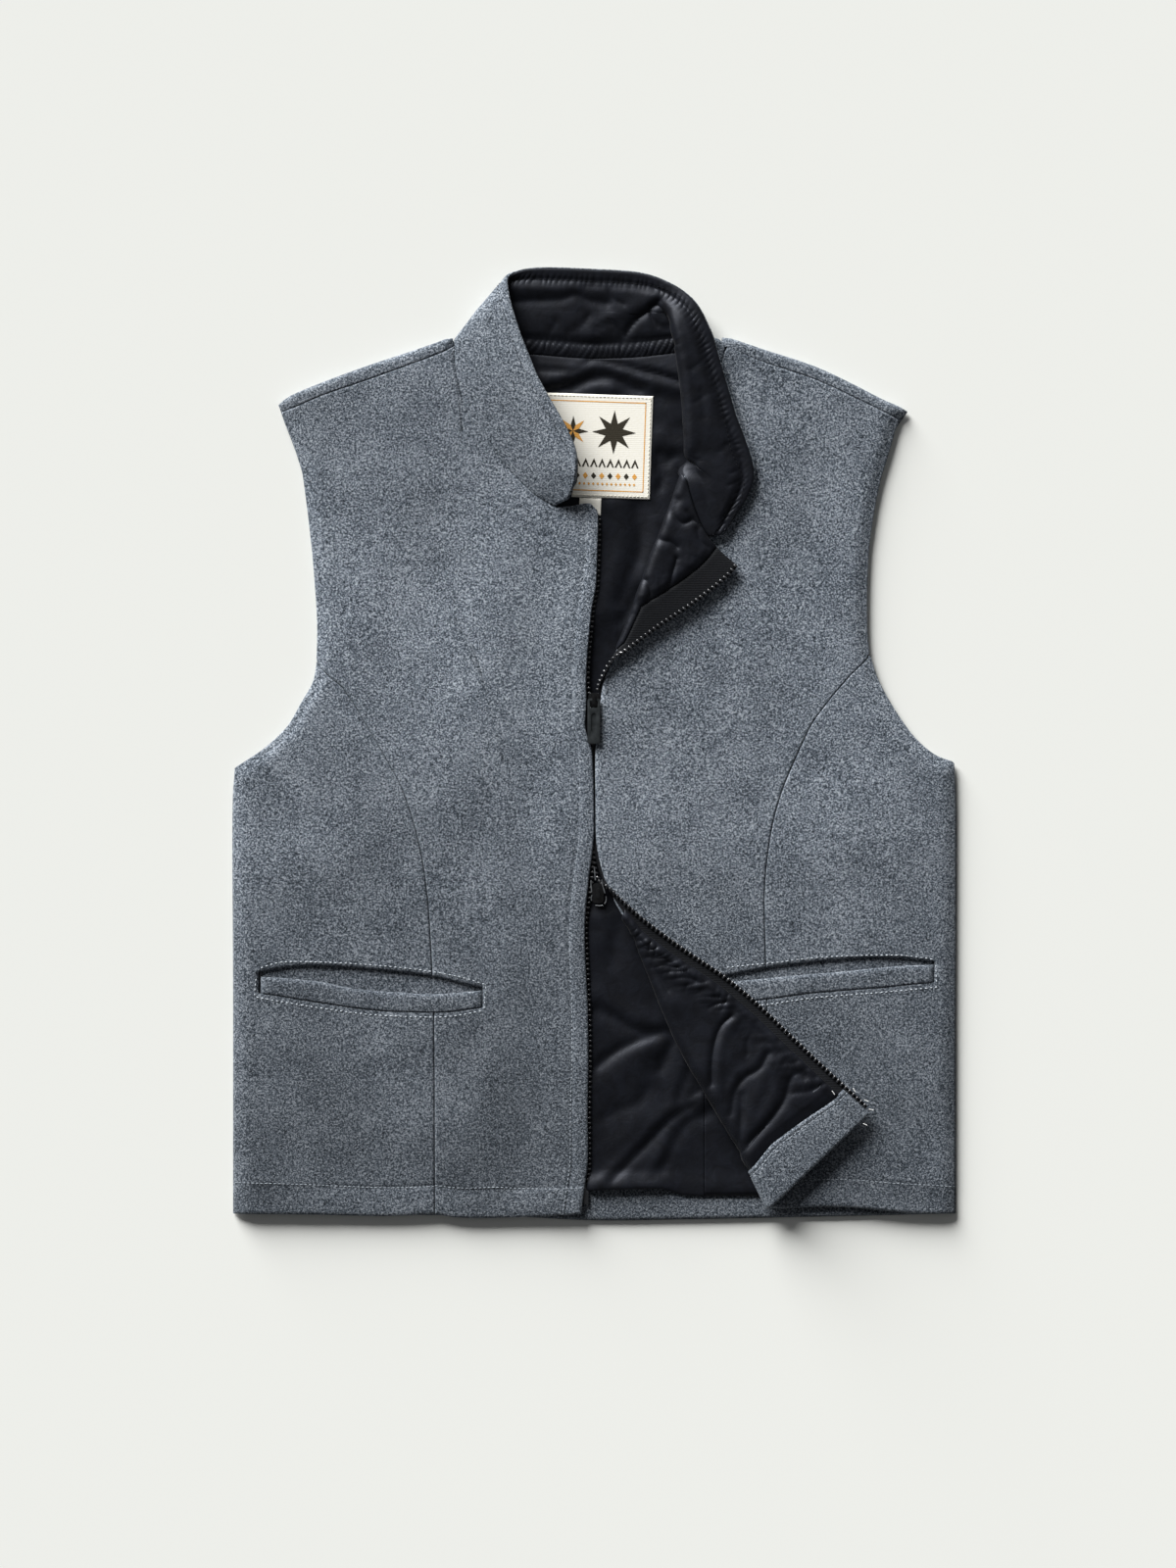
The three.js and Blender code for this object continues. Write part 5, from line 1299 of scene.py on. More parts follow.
    def lining_centre(self) -> Cloth:
        """Return the lining between the two long seams."""
        s, hem_y = self.seam_x, LINING_HEM[0][1]
        first, last = (-s, self.lining_tops[0]), (s, self.lining_tops[1])
        neck = tuple((x, y - GAP) for x, y in NECK_BACK if abs(x) < s - 1)
        points = self.laid(
            (smooth_curve((first, (-s, hem_y))), smooth_curve((last, (s, hem_y)))),
            (first, *neck, last),
            LINING_HEM,
            spaced(self.lining_width, CLOSE_SEAM, CLOSE_SEAM, self.lining_spacing),
            spaced(self.lining_length, PLAIN, PLAIN, self.lining_spacing),
        )
        return Cloth(points, -1, 0, SATIN, {Edge.FIRST: CLOSE_SEAM, Edge.LAST: CLOSE_SEAM})

    def lining_side(self, sign: int, armhole: Line, shoulder: Line) -> Cloth:
        """Return the lining beside a long seam.

        Args:
            sign: Which side it is, 1 for the wearer's left and -1 for the right.
            armhole: Armhole on that side.
            shoulder: Upper edge of the lining there.

        Returns:
            The lining.
        """
        hem_y = LINING_HEM[0][1]
        inner = tuple((x - sign * self.lining_inset, y - 3) for x, y in armhole[2:-3])
        edge_x = sign * (HALF_WIDTH - self.lining_inset)
        seam_top = (sign * (self.seam_x + 0.05), self.lining_tops[2])
        edge = (edge_x, -30)
        outer = outline(((shoulder[0], *inner, edge), 0.5), ((edge, (edge_x, hem_y)), 0.5))
        points = self.laid(
            (outer, smooth_curve((seam_top, (seam_top[0], hem_y)))),
            (*shoulder, seam_top),
            ((edge_x, hem_y), (seam_top[0], hem_y - (sign > 0))),
            1 - spaced(self.lining_side_width, CLOSE_SEAM, PLAIN, self.spacing)[::-1],
            np.linspace(0, 1, self.lining_side_rows),
        )
        return Cloth(points, sign, 0, SATIN, {Edge.LAST: CLOSE_SEAM})

    def turn_up(self) -> Cloth:
        """Return the wool that is turned up at the hem."""
        plan = coons(
            smooth_curve((TURN_UP_TOP[0], TURN_UP_HEM[0])),
            smooth_curve((TURN_UP_TOP[-1], TURN_UP_HEM[-1])),
            smooth_curve(TURN_UP_TOP),
            smooth_curve(TURN_UP_HEM),
            np.linspace(0, 1, self.turn_up_columns),
            spaced(self.turn_up_depth, PLAIN, PLAIN, 2.0),
        )
        points = np.dstack([plan, np.full(plan.shape[:2], BACK_LINING)])
        return Cloth(points, -1, 0, WOOL - self.turn_up_thinner)

    def build(self, wool: "Finish", satin: "Finish") -> None:
        """Make the pieces of the back."""
        make_cloth("back_wool", self.panel(), wool, "back_panel", "back_turn_up")
        centre = self.lining_centre()
        make_cloth("back_lining_centre_satin", centre, satin, "back_lining_centre", "back_panel")
        for name, place in LINING_SHOULDERS.items():
            node = f"back_lining_{name}"
            make_cloth(f"{node}_satin", self.lining_side(*place), satin, node, "back_panel")
        make_cloth("back_turn_up_wool", self.turn_up(), wool, "back_turn_up", "back_panel")


HEM = Border(stitch=19.5, groove=0.5)
ARMHOLE_EDGE = Border(stitch=6.0, groove=0.4, above=-14.0)
FRONT_EDGE = Border(stitch=11.0, groove=0.6)
NECK_EDGE = Border(turn=1.0, left_over=0.6)


@dataclass
class Pocket:
    """A welt pocket: the opening cut in the front, the welt that stands up in it and the facing behind.

    Args:
        side: Which front it is on.
        lip: Upper edge of the opening.
        welt: Upper edge of the welt.
        base: Seam under the welt.
        box: Lines of the stitching round the opening.
        spacing: Distance between points along the strips.
        row_spacing: The same across them.
        overlap: How far the facing reaches above and below the opening.
        facing_reach: How far it reaches past the opening's ends.
        foot_step: Step of the welt above its seam.
        thread_rise: Height of the stitching over the wool.
        welt_depth: Typical depth of the welt.
        facing_depth: Typical depth of the facing.
    """

    side: str
    lip: Line
    welt: Line
    base: Line
    box: tuple[Line, ...]
    spacing: float = 2.2
    row_spacing: float = 2.0
    overlap: float = 7.0
    facing_reach: float = 1.0
    foot_step: float = 0.05
    thread_rise: float = 0.1
    welt_depth: float = 13.0
    facing_depth: float = 30.0

    def ends(self) -> tuple[float, float]:
        """Return the x of the two ends of the opening."""
        return self.lip[0][0], self.lip[-1][0]

    def cut(self, points: Array, weight: Array) -> tuple[Array, Array]:
        """Cut the opening in a grid of the front.

        Args:
            points: Grid of the panel.
            weight: How far each column may slide to follow the cut edges.

        Returns:
            The grid with rows along the cut edges, and its cells without those of the opening.
        """
        points, upper, lower = cut_rows(points, self.lip, self.base, weight)
        x = (points[:-1, :-1, 0] + points[1:, 1:, 0]) / 2
        first, last = self.ends()
        cells = np.ones(x.shape, dtype=bool)
        cells[upper:lower] = (x[upper:lower] <= first) | (x[upper:lower] >= last)
        return points, cells

    def strip(self, high: Curve, low: Curve, inset: float, depth: float) -> Array:
        """Lay a strip of cloth on the front between two lines."""
        first, last = self.ends()
        x = np.linspace(first + inset, last - inset, round((last - first) / self.spacing))
        shares = spaced(depth, PLAIN, PLAIN, self.row_spacing)[:, None]
        y = high(x) + (low(x) - high(x)) * shares
        return on_front(np.dstack([np.broadcast_to(x, y.shape), y]))

    def build(self, wool: "Finish", thread: Stitching) -> None:
        """Make the welt and the facing, and sew the box round them."""
        welt_node, facing_node = f"pocket_welt_{self.side}", f"pocket_facing_{self.side}"
        foot = partial(height_beside, self.base, self.foot_step)
        welt = self.strip(partial(height_at, self.welt), foot, GAP, self.welt_depth)
        share = np.linspace(0, 1, len(welt))[:, None]
        high = WOOL + WELT_RISE * np.sqrt(1 - share**2)
        borders = {Edge.TOP: Border(turn=3.5, left_over=0.25), Edge.BOTTOM: CLOSE_SEAM}
        make_cloth(f"{welt_node}_wool", Cloth(welt, -1, GAP, high, borders), wool, welt_node, facing_node)
        above = partial(height_beside, self.lip, self.overlap)
        below = partial(height_beside, self.base, -self.overlap)
        facing = self.strip(above, below, -self.facing_reach, self.facing_depth)
        piece = Cloth(facing, -1, -FACING_GAP - FACING_DEPTH, -FACING_GAP)
        make_cloth(f"{facing_node}_wool", piece, wool, facing_node, "back_lining_centre")
        for line in self.box:
            thread.on_wool(line, self.thread_rise)


@dataclass
class SideFront:
    """The side panel of a front, from the armhole and side edge to the princess seam.

    Args:
        armhole: Outline of the armhole.
        seam: Princess seam.
        step: Step of the panel from the seam.
        hem: Hem line.
        out: Side of the grid that is seen, 1 or -1.
        spacing: Distance between points.
        typical_width: Typical width of the panel.
    """

    armhole: Line
    seam: Line
    step: float
    hem: Line
    out: int
    spacing: float = 2.4
    typical_width: float = 135.0

    def cloth(self, top_y: float, pocket: Pocket) -> Cloth:
        """Shape the panel.

        Args:
            top_y: Height of its upper tip.
            pocket: Pocket that crosses it.

        Returns:
            The panel.
        """
        bottom_y = self.seam[-1][1]
        rows = stations(top_y - bottom_y, SEAM, HEM, self.spacing)
        y = top_y - rows
        inner = np.stack([across_at(self.seam, y) + self.step, y], axis=1)
        tip = (float(across_at(self.armhole, np.array([top_y]))[0]), top_y)
        under = tuple(p for p in self.armhole if p[1] < top_y)
        side_x = math.copysign(HALF_WIDTH, tip[0])
        straight = (under[-1], (side_x, -40), (side_x, -180), (side_x, HEM_Y))
        outer = outline(((tip, *under), 0.3), (straight, 0.7))(rows / rows[-1])
        widths = np.maximum(np.linalg.norm(outer - inner, axis=1), 1.0)
        lines = stations(self.typical_width, SEAM, ARMHOLE_EDGE, self.spacing)
        shares = fitted(lines, widths, SEAM, ARMHOLE_EDGE)
        upper = smooth_curve((tuple(inner[0]), tip))
        lower = smooth_curve((tuple(inner[-1]), *self.hem[::-1][1:]))
        points = on_front(grid_between(inner, outer, upper, lower, shares))
        points, cells = pocket.cut(points, np.ones(points.shape[1]))
        borders = {Edge.FIRST: SEAM, Edge.LAST: ARMHOLE_EDGE, Edge.BOTTOM: HEM, Edge.TOP: NECK_EDGE}
        return Cloth(on_front(points[..., :2]), self.out, 0, WOOL, borders, cells)


@dataclass
class RightFront:
    """The wearer's right front: centre panel and side panel.

    Args:
        spacing: Distance between points.
        top_y: Height of the centre panel's first row at the armhole.
        typical_width: Typical width of the centre panel.
    """

    spacing: float = 2.4
    top_y: float = 226.5
    typical_width: float = 180.0

    def centre(self, pocket: Pocket) -> Cloth:
        """Shape the centre panel.

        Args:
            pocket: Pocket that crosses it.

        Returns:
            The panel.
        """
        armhole = (SHOULDER_SEAM_R[0], *ARMHOLE_R[1:])
        rows = stations(self.top_y - HEM_Y, SEAM, HEM, self.spacing)
        y = self.top_y - rows
        on_armhole = y > PRINCESS_R[0][1]
        x = np.where(on_armhole, across_at(armhole, y), across_at(PRINCESS_R, y) + SEAM_STEP)
        side = np.stack([x, y], axis=1)
        edge = smooth_curve(EDGE_R)(rows / rows[-1])
        top = outline((SHOULDER_SEAM_R, 0.4), (NECK_R, 0.44), (TOP_R, 0.16))
        hem = smooth_curve(((float(side[-1, 0]), HEM_Y), *HEM_R[1:]))
        lines = stations(self.typical_width, ARMHOLE_EDGE, FRONT_EDGE, self.spacing)
        shares = fitted(lines, np.linalg.norm(edge - side, axis=1), ARMHOLE_EDGE, FRONT_EDGE)
        points = on_front(grid_between(side, edge, top, hem, shares))
        points, cells = pocket.cut(points, np.ones(points.shape[1]))
        borders = {Edge.FIRST: SEAM, Edge.LAST: FRONT_EDGE, Edge.BOTTOM: HEM, Edge.TOP: NECK_EDGE}
        return Cloth(on_front(points[..., :2]), -1, 0, WOOL, borders, cells)

    def build(self, wool: "Finish", pocket: Pocket, thread: Stitching) -> None:
        """Make the two panels and their topstitching."""
        centre = self.centre(pocket)
        make_cloth("front_right_centre_wool", centre, wool, "front_right_centre", "back_lining_centre")
        side = SideFront(ARMHOLE_R, PRINCESS_R, -SEAM_STEP, HEM_SIDE_R, 1).cloth(PRINCESS_R[0][1], pocket)
        make_cloth("front_right_side_wool", side, wool, "front_right_side", "back_lining_right")
        thread.add(*centre.seam_line(Edge.LAST))
        thread.add(*centre.seam_line(Edge.BOTTOM))
        thread.add(*side.seam_line(Edge.BOTTOM))


# Gathers of the left linings: share, slant and stretch away from the tape, size and number of each pattern
GATHERS = ((1.0, 0.7, 0.3, 3.2, 0), (0.8, -0.5, 0.4, 5.0, 5))


@dataclass
class LeftFront:
    """The wearer's left front, folded out as a lapel above and as a flap below.

    Places along it are counted in rows of LEFT_TABLE.

    Args:
        rows_each: Rows of points between two rows of the table.
        fine_rows: The same under the linings.
        spacing: Distance between points across the panel.
        typical_width: Typical width of the panel.
        roll_steps: Points round the fold.
        free_columns: Points from the fold to the zip edge.
        least_roll: Least radius of the fold.
        bow_x: How far the lapel's upper edge bows, in x.
        bow_y: The same in y.
        bow_rows: Rows over which the bow fades.
        lapel_end: Place where the lapel's lining ends.
        flap_start: Place where the flap's lining starts.
        closed: Places between which the zip is closed.
        lining_reach: How far the linings go on over the fold.
        over_tape: How far the flap's lining covers the tape.
        over_height: Its height there.
        turn_up_top: Place where the turn-up starts at the fold.
        slant_run: Distance from the zip edge at which its slant starts, and the length of the slant.
        under_turn_up: How far the lining goes on under the turn-up, in rows.
        step: Step in rows with which the zip edge is measured.
        hem_rows: Rows of points from the turn-up's start to the hem.
        fold_ease: Distance over which the panel rises to the fold.
        pocket_clear: Distances from the fold between which the rows start to follow the pocket.
        free_bunching: Power that sets the free columns closer together towards the zip edge.
        lining_width: Typical width of the linings.
        lining_spacing: Distance between their points.
        turn_up_spacing: Distance between the turn-up's points.
        least_width: Least width of a row.
        closing_rows: Rows over which the lapel's lining narrows at its end.
        lining_level: Height of the middle of the linings.
        lowest: Depth of their deepest crease.
        crease_share: Share of the creases' heights.
        unevenness: Height of their small unevenness.
        uneven_size: Size of its pattern.
        gather_place: Distance from the tape at which the gathers are highest.
        gather_reach: Distance from there over which they fade.
        gather_size: Size of the pattern with which they come and go.
        gather_shares: Their mean share in it, and how far it varies.
        fades: Distances over which gathers, folds and the roll's neighbourhood fade in.
        pressed: Distance over which the lower end lies flat, on the lapel and on the flap.
    """

    rows_each: int = 9
    fine_rows: int = 28
    spacing: float = 2.5
    typical_width: float = 140.0
    roll_steps: int = 15
    free_columns: int = 26
    least_roll: float = 2.4
    bow_x: float = -5.0
    bow_y: float = -5.5
    bow_rows: float = 3.0
    lapel_end: float = 4.35
    flap_start: float = 15.0
    closed: tuple[float, float] = (8.0, 11.0)
    lining_reach: float = 8.0
    over_tape: float = 3.6
    over_height: float = 1.1
    turn_up_top: float = 21.9
    slant_run: tuple[float, float] = (12.0, 52.0)
    under_turn_up: float = 0.03
    step: float = 0.02
    hem_rows: int = 24
    fold_ease: float = 18.0
    pocket_clear: tuple[float, float] = (12.0, 37.0)
    free_bunching: float = 0.8
    lining_width: float = 70.0
    lining_spacing: float = 1.5
    turn_up_spacing: float = 2.4
    least_width: float = 3.0
    closing_rows: float = 0.8
    lining_level: float = 1.1
    lowest: float = -0.15
    crease_share: float = 0.62
    unevenness: float = 0.35
    uneven_size: float = 17.0
    gather_place: float = 7.0
    gather_reach: float = 8.0
    gather_size: float = 24.0
    gather_shares: tuple[float, float] = (0.55, 0.45)
    fades: tuple[float, float, float] = (2.0, 5.0, 4.0)
    pressed: tuple[float, float] = (40.0, 9.0)

    def __post_init__(self) -> None:
        """Work out the rows of the front."""
        last = self.last_row
        self.turn_up_start = round(self.above_hem(TURN_UP), 3)
        fine = [0, 0.02, 0.05, 0.1, 0.17, last - 0.1, last - 0.05, last - 0.02, last]
        turn_up = (self.turn_up_start, self.turn_up_start + self.step, self.turn_up_top)
        extra = [*turn_up, self.lapel_end, self.flap_start]
        hem = np.linspace(self.turn_up_top, last, self.hem_rows)
        positions = np.concatenate([np.linspace(0, last, last * self.rows_each + 1), hem, fine, extra])
        self.positions = np.unique(np.round(positions, 3))
        self.points, self.zip = self.rows(self.positions)
        self.before = self.points.shape[1] - self.roll_steps - self.free_columns
        self.roll_end = self.before + self.roll_steps - 1

    @property
    def last_row(self) -> int:
        """Return the number of the last row of the table."""
        return len(LEFT_TABLE) - 1

    def rows(self, positions: Array) -> tuple[Array, Array]:
        """Shape the rows at positions in the table.

        Args:
            positions: Places in the table, counted in rows.

        Returns:
            Points from the side to the zip edge, and the reach of the teeth past it.
        """
        table = smooth_value(LEFT_TABLE, positions)
        armhole = (SHOULDER_SEAM_L[0], *ARMHOLE_L[1:])
        y = table[:, SIDE]
        x = np.where(y > PRINCESS_L[0][1], across_at(armhole, y), across_at(PRINCESS_L, y) - SEAM_STEP)
        start = np.column_stack([x, y, front_height(x, y)])
        roll = np.maximum(0, table[:, ROLL])
        ground = front_height(table[:, FOLD_X] + roll, table[:, FOLD_Y])
        turn = np.column_stack([table[:, FOLD_X], table[:, FOLD_Y], ground + roll])
        end = np.column_stack([table[:, FREE_X], table[:, FREE_Y], ground + np.maximum(0, table[:, LIFT])])
        lines = stations(self.typical_width, ARMHOLE_EDGE, PLAIN, self.spacing)
        shares = fitted(lines, np.linalg.norm((turn - start)[:, :2], axis=1), ARMHOLE_EDGE, PLAIN)[:, :-1]
        free = np.linspace(0, 1, self.free_columns + 1)[1:] ** self.free_bunching
        after = np.tile(free, (len(positions), 1))
        angles = np.linspace(-np.pi / 2, np.pi / 2, self.roll_steps)
        points = rolled(start, turn, end, roll, self.least_roll, shares, angles, after)
        count = shares.shape[1]
        flat = points[:, :count]
        fix = points[:, count, 2] - front_height(points[:, count, 0], points[:, count, 1])
        away = np.linalg.norm(flat[..., :2] - points[:, count : count + 1, :2], axis=2)
        near = np.clip(1 - away / self.fold_ease, 0, 1)
        flat[..., 2] = front_height(flat[..., 0], flat[..., 1]) + fix[:, None] * near**2 * (3 - 2 * near)
        bow = np.maximum(0, 1 - positions / self.bow_rows)[:, None]
        swing = bow * np.sin(np.pi * np.concatenate([[0], free]))[None]
        points[:, -self.free_columns - 1 :, 0] += self.bow_x * swing
        points[:, -self.free_columns - 1 :, 1] += self.bow_y * swing
        return points, table[:, ZIP]

    def above_hem(self, distance: float) -> float:
        """Find the position in the table that lies a distance from the hem along the zip edge."""
        positions = np.arange(self.last_row, 0, -self.step)
        edge = self.rows(positions)[0][:, -1]
        return float(np.interp(distance, run_along(edge), positions))

    @staticmethod
    def arc(points: Array) -> Array:
        """Measure the length along each row from its zip edge to each of its points."""
        steps = np.linalg.norm(np.diff(points, axis=1), axis=2)[:, ::-1]
        return np.concatenate([np.zeros((len(points), 1)), np.cumsum(steps, axis=1)], axis=1)[:, ::-1]

    def from_edge(self, points: Array, distances: Array) -> Array:
        """Read points of rows at distances from their zip edge.

        Args:
            points: Rows of points.
            distances: Distances for each row; a negative one lies past the edge.

        Returns:
            A point for each distance.
        """
        arc = self.arc(points)
        result = np.empty(distances.shape + (3,))
        for i, (row, run) in enumerate(zip(points, arc)):
            past = np.minimum(distances[i], 0)[:, None]
            ahead = (row[-1] - row[-2]) / np.linalg.norm(row[-1] - row[-2])
            result[i] = read_line(row[::-1], run[::-1], distances[i]) - past * ahead
        return result

    def chosen(self, first: float, last: float) -> Array:
        """Tell which rows lie between two positions."""
        return (self.positions >= first - 1e-6) & (self.positions <= last + 1e-6)

    def tape_near(self) -> Array:
        """Return the distance of the tape's near side from the zip edge, a number for each row."""
        return TEETH_WIDTH + TAPE_GAP - self.zip

    def tape_far(self) -> Array:
        """Return the distance of the tape's far side from the zip edge, a number for each row."""
        near = self.tape_near()
        full = near + np.where(self.positions > self.closed[1], TAPE_ON_FLAP, TAPE_WIDTH)
        flat = (self.positions >= self.closed[0]) & (self.positions <= self.closed[1])
        room = self.arc(self.points)[:, self.roll_end] - GAP
        return np.where(flat, full, np.maximum(np.minimum(full, room), near + TAPE_LEAST))

    def slant(self, edge: Array, grid: Array) -> Array:
        """Give the position where the turn-up starts for each column of a grid."""
        clear, run = self.slant_run
        share = ramp(np.linalg.norm(grid - edge, axis=1), clear, clear + run)
        return self.turn_up_start + (self.turn_up_top - self.turn_up_start) * share

    def panel(self, pocket: Pocket) -> Cloth:
        """Shape the centre panel with its lapel and flap.

        Args:
            pocket: Pocket that crosses it.

        Returns:
            The panel.
        """
        body, start = self.points, SHOULDER_SEAM_L[0]
        first, corner = body[0, 0, :2], body[0, self.before, :2]
        depth = start[1] - first[1]
        run = stations(depth, SEAM, PLAIN, self.spacing)
        y = start[1] - run
        side = np.stack([across_at((start, *ARMHOLE_L[1:]), y), y], axis=1)
        inner = smooth_curve((*NECK_L, tuple(corner)))(run / depth)
        lines = stations(self.typical_width, ARMHOLE_EDGE, PLAIN, self.spacing)
        shares = fitted(lines, np.linalg.norm(inner - side, axis=1), ARMHOLE_EDGE, PLAIN)
        bottom = partial(read_line, np.stack([first, corner]), np.array([0.0, 1.0]))
        band = on_front(grid_between(side, inner, smooth_curve(SHOULDER_SEAM_L), bottom, shares))[:-1]
        band = np.pad(band, ((0, 0), (0, body.shape[1] - band.shape[1]), (0, 0)))
        reach = np.median(body[:, : self.before, 0] - body[:, self.before : self.before + 1, 0], axis=0)
        weight = np.concatenate([ramp(reach, *self.pocket_clear), np.zeros(body.shape[1] - self.before)])
        body, opened = pocket.cut(body, weight)
        opened[:, self.before - 1 :] = True
        points = np.concatenate([band, body])
        here = np.ones(points.shape[:2], dtype=bool)
        here[: len(band), self.before + 1 :] = False
        cells = whole_cells(here)
        cells[len(band) :] &= opened
        turned_edge = Border(turn=2.6, left_over=0.2)
        borders = {Edge.FIRST: SEAM, Edge.LAST: turned_edge, Edge.BOTTOM: HEM, Edge.TOP: CLOSE_SEAM}
        return Cloth(points, 1, 0, WOOL, borders, cells)

    def lining(self, first: float, last: float, gather: float, creases: Sequence[Crease]) -> Cloth:
        """Shape the lining on the lapel or the flap.

        Args:
            first: Position of its first row.
            last: Position of its last row.
            gather: Height of the gathers beside the tape.
            creases: Creases of the satin.

        Returns:
            The lining.
        """
        rows = self.chosen(first, last)
        points, positions = self.points[rows], self.positions[rows]
        on_flap = last > self.flap_start
        closing = 1.0 if on_flap else np.clip((last - positions) / self.closing_rows, 0, 1)
        over = self.over_tape if on_flap else 0.0
        arc = self.arc(points)
        far = arc[:, self.before] + self.lining_reach * closing
        near = (self.tape_far() + GAP - over)[rows]
        lines = stations(self.lining_width, PLAIN, PLAIN, self.lining_spacing)
        shares = fitted(lines, np.maximum(far - near, self.least_width), PLAIN, PLAIN)
        distances = far[:, None] + (near - far)[:, None] * shares
        grid = self.from_edge(points, distances)
        if on_flap:
            ends = self.slant(points[-1, -1], grid[-1]) + self.under_turn_up
            grid = sheared(grid, positions, np.full(len(ends), first), ends)
        cloth = Cloth(grid, -1, GAP, GAP + SATIN)
        run = run_along(grid[:, -1])[:, None]
        away = distances - near[:, None]
        seed = 22 if on_flap else 21
        wave = sum(
            share * np.abs(value_noise(run + slant * away, across * away, size, seed + number))
            for share, slant, across, size, number in GATHERS
        )
        least, more = self.gather_shares
        band = bell(away - self.gather_place, self.gather_reach)
        band = band * (least + more * value_noise(run, away, self.gather_size, seed + 2))
        at_tape, off_tape, at_roll = self.fades
        room = ramp(arc[:, self.before + self.roll_steps // 3, None] - distances, 0, at_roll)
        folds = self.lining_level + self.crease_share * crease_height(creases, grid[..., 0], grid[..., 1])
        folds += self.unevenness * value_noise(away, run, self.uneven_size, seed + 9)
        rise = gather * wave * band * ramp(away, 0, at_tape) + folds * ramp(away, 0, off_tape) * room
        rise = np.maximum(rise, self.lowest) * ramp(run.max() - run, 0, self.pressed[int(on_flap)])
        rise += self.over_height * ramp(over + at_tape - away, 0, at_tape) * min(over, 1)
        return Cloth(grid + cloth.normals * rise[..., None], -1, GAP, GAP + SATIN)

    def strip(self, first: float, last: float, near: Array, far: Array, count: int) -> Array:
        """Lay a strip along the zip edge between two distances from it."""
        rows = self.chosen(first, last)
        shares = np.linspace(0, 1, count)[None]
        distances = far[rows, None] + (near - far)[rows, None] * shares
        return self.from_edge(self.points[rows], distances)

    def turn_up(self) -> Cloth:
        """Shape the wool that is turned up at the hem of the flap."""
        rows = self.chosen(self.turn_up_top, self.last_row)
        points, positions = self.points[rows], self.positions[rows]
        far = self.arc(points)[:, self.before + self.roll_steps // 3]
        lines = stations(self.lining_width, PLAIN, PLAIN, self.turn_up_spacing)
        shares = fitted(lines, np.maximum(far - GAP, self.least_width), PLAIN, PLAIN)
        grid = self.from_edge(points, far[:, None] + (GAP - far)[:, None] * shares)
        at_start = np.abs(positions - self.turn_up_start).argmin()
        starts = self.slant(points[at_start, -1], grid[at_start])
        grid = sheared(grid, positions, starts, np.full(len(starts), float(self.last_row)))
        return Cloth(grid, -1, GAP, GAP + WOOL, {Edge.TOP: Border(stitch=4.0, turn=1.8)})

    def build(
        self, wool: "Finish", satin: "Finish", pocket: Pocket, thread: Stitching, ends: Stitching
    ) -> None:
        """Make the panels, the linings and the turn-up.

        Args:
            wool: Finish of the outside.
            satin: Finish of the lining.
            pocket: Pocket that crosses the panels.
            thread: Topstitching.
            ends: Loose ends of thread.
        """
        panel = self.panel(pocket)
        make_cloth("front_left_centre_wool", panel, wool, "front_left_centre", "back_lining_centre")
        side = SideFront(ARMHOLE_L, PRINCESS_L, SEAM_STEP, HEM_SIDE_L, -1).cloth(PRINCESS_L[0][1], pocket)
        make_cloth("front_left_side_wool", side, wool, "front_left_side", "back_lining_left")
        thread.add(*side.seam_line(Edge.BOTTOM))
        fine = LeftFront(rows_each=self.fine_rows)
        lapel = fine.lining(0, self.lapel_end, 0.4, LAPEL_CREASES)
        make_cloth("lapel_lining_satin", lapel, satin, "lapel_lining", "front_left_centre")
        flap = fine.lining(self.flap_start, self.turn_up_start, 1.9, FLAP_CREASES)
        make_cloth("flap_lining_satin", flap, satin, "flap_lining", "front_left_centre")
        band = self.turn_up()
        make_cloth("front_left_turn_up_wool", band, wool, "front_left_turn_up", "front_left_centre")
        for x, y, dx, dy in THREAD_ENDS:
            plan = np.array([(x, y), (x + dx, y + dy)])
            nearest = np.linalg.norm(self.points[..., :2] - plan[0], axis=2).argmin()
            height = self.points[..., 2].flat[nearest] + WOOL + 2 * GAP
            ends.add(np.column_stack([plan, np.full(2, height)]), upwards(2))
        thread.add(*band.seam_line(Edge.TOP))


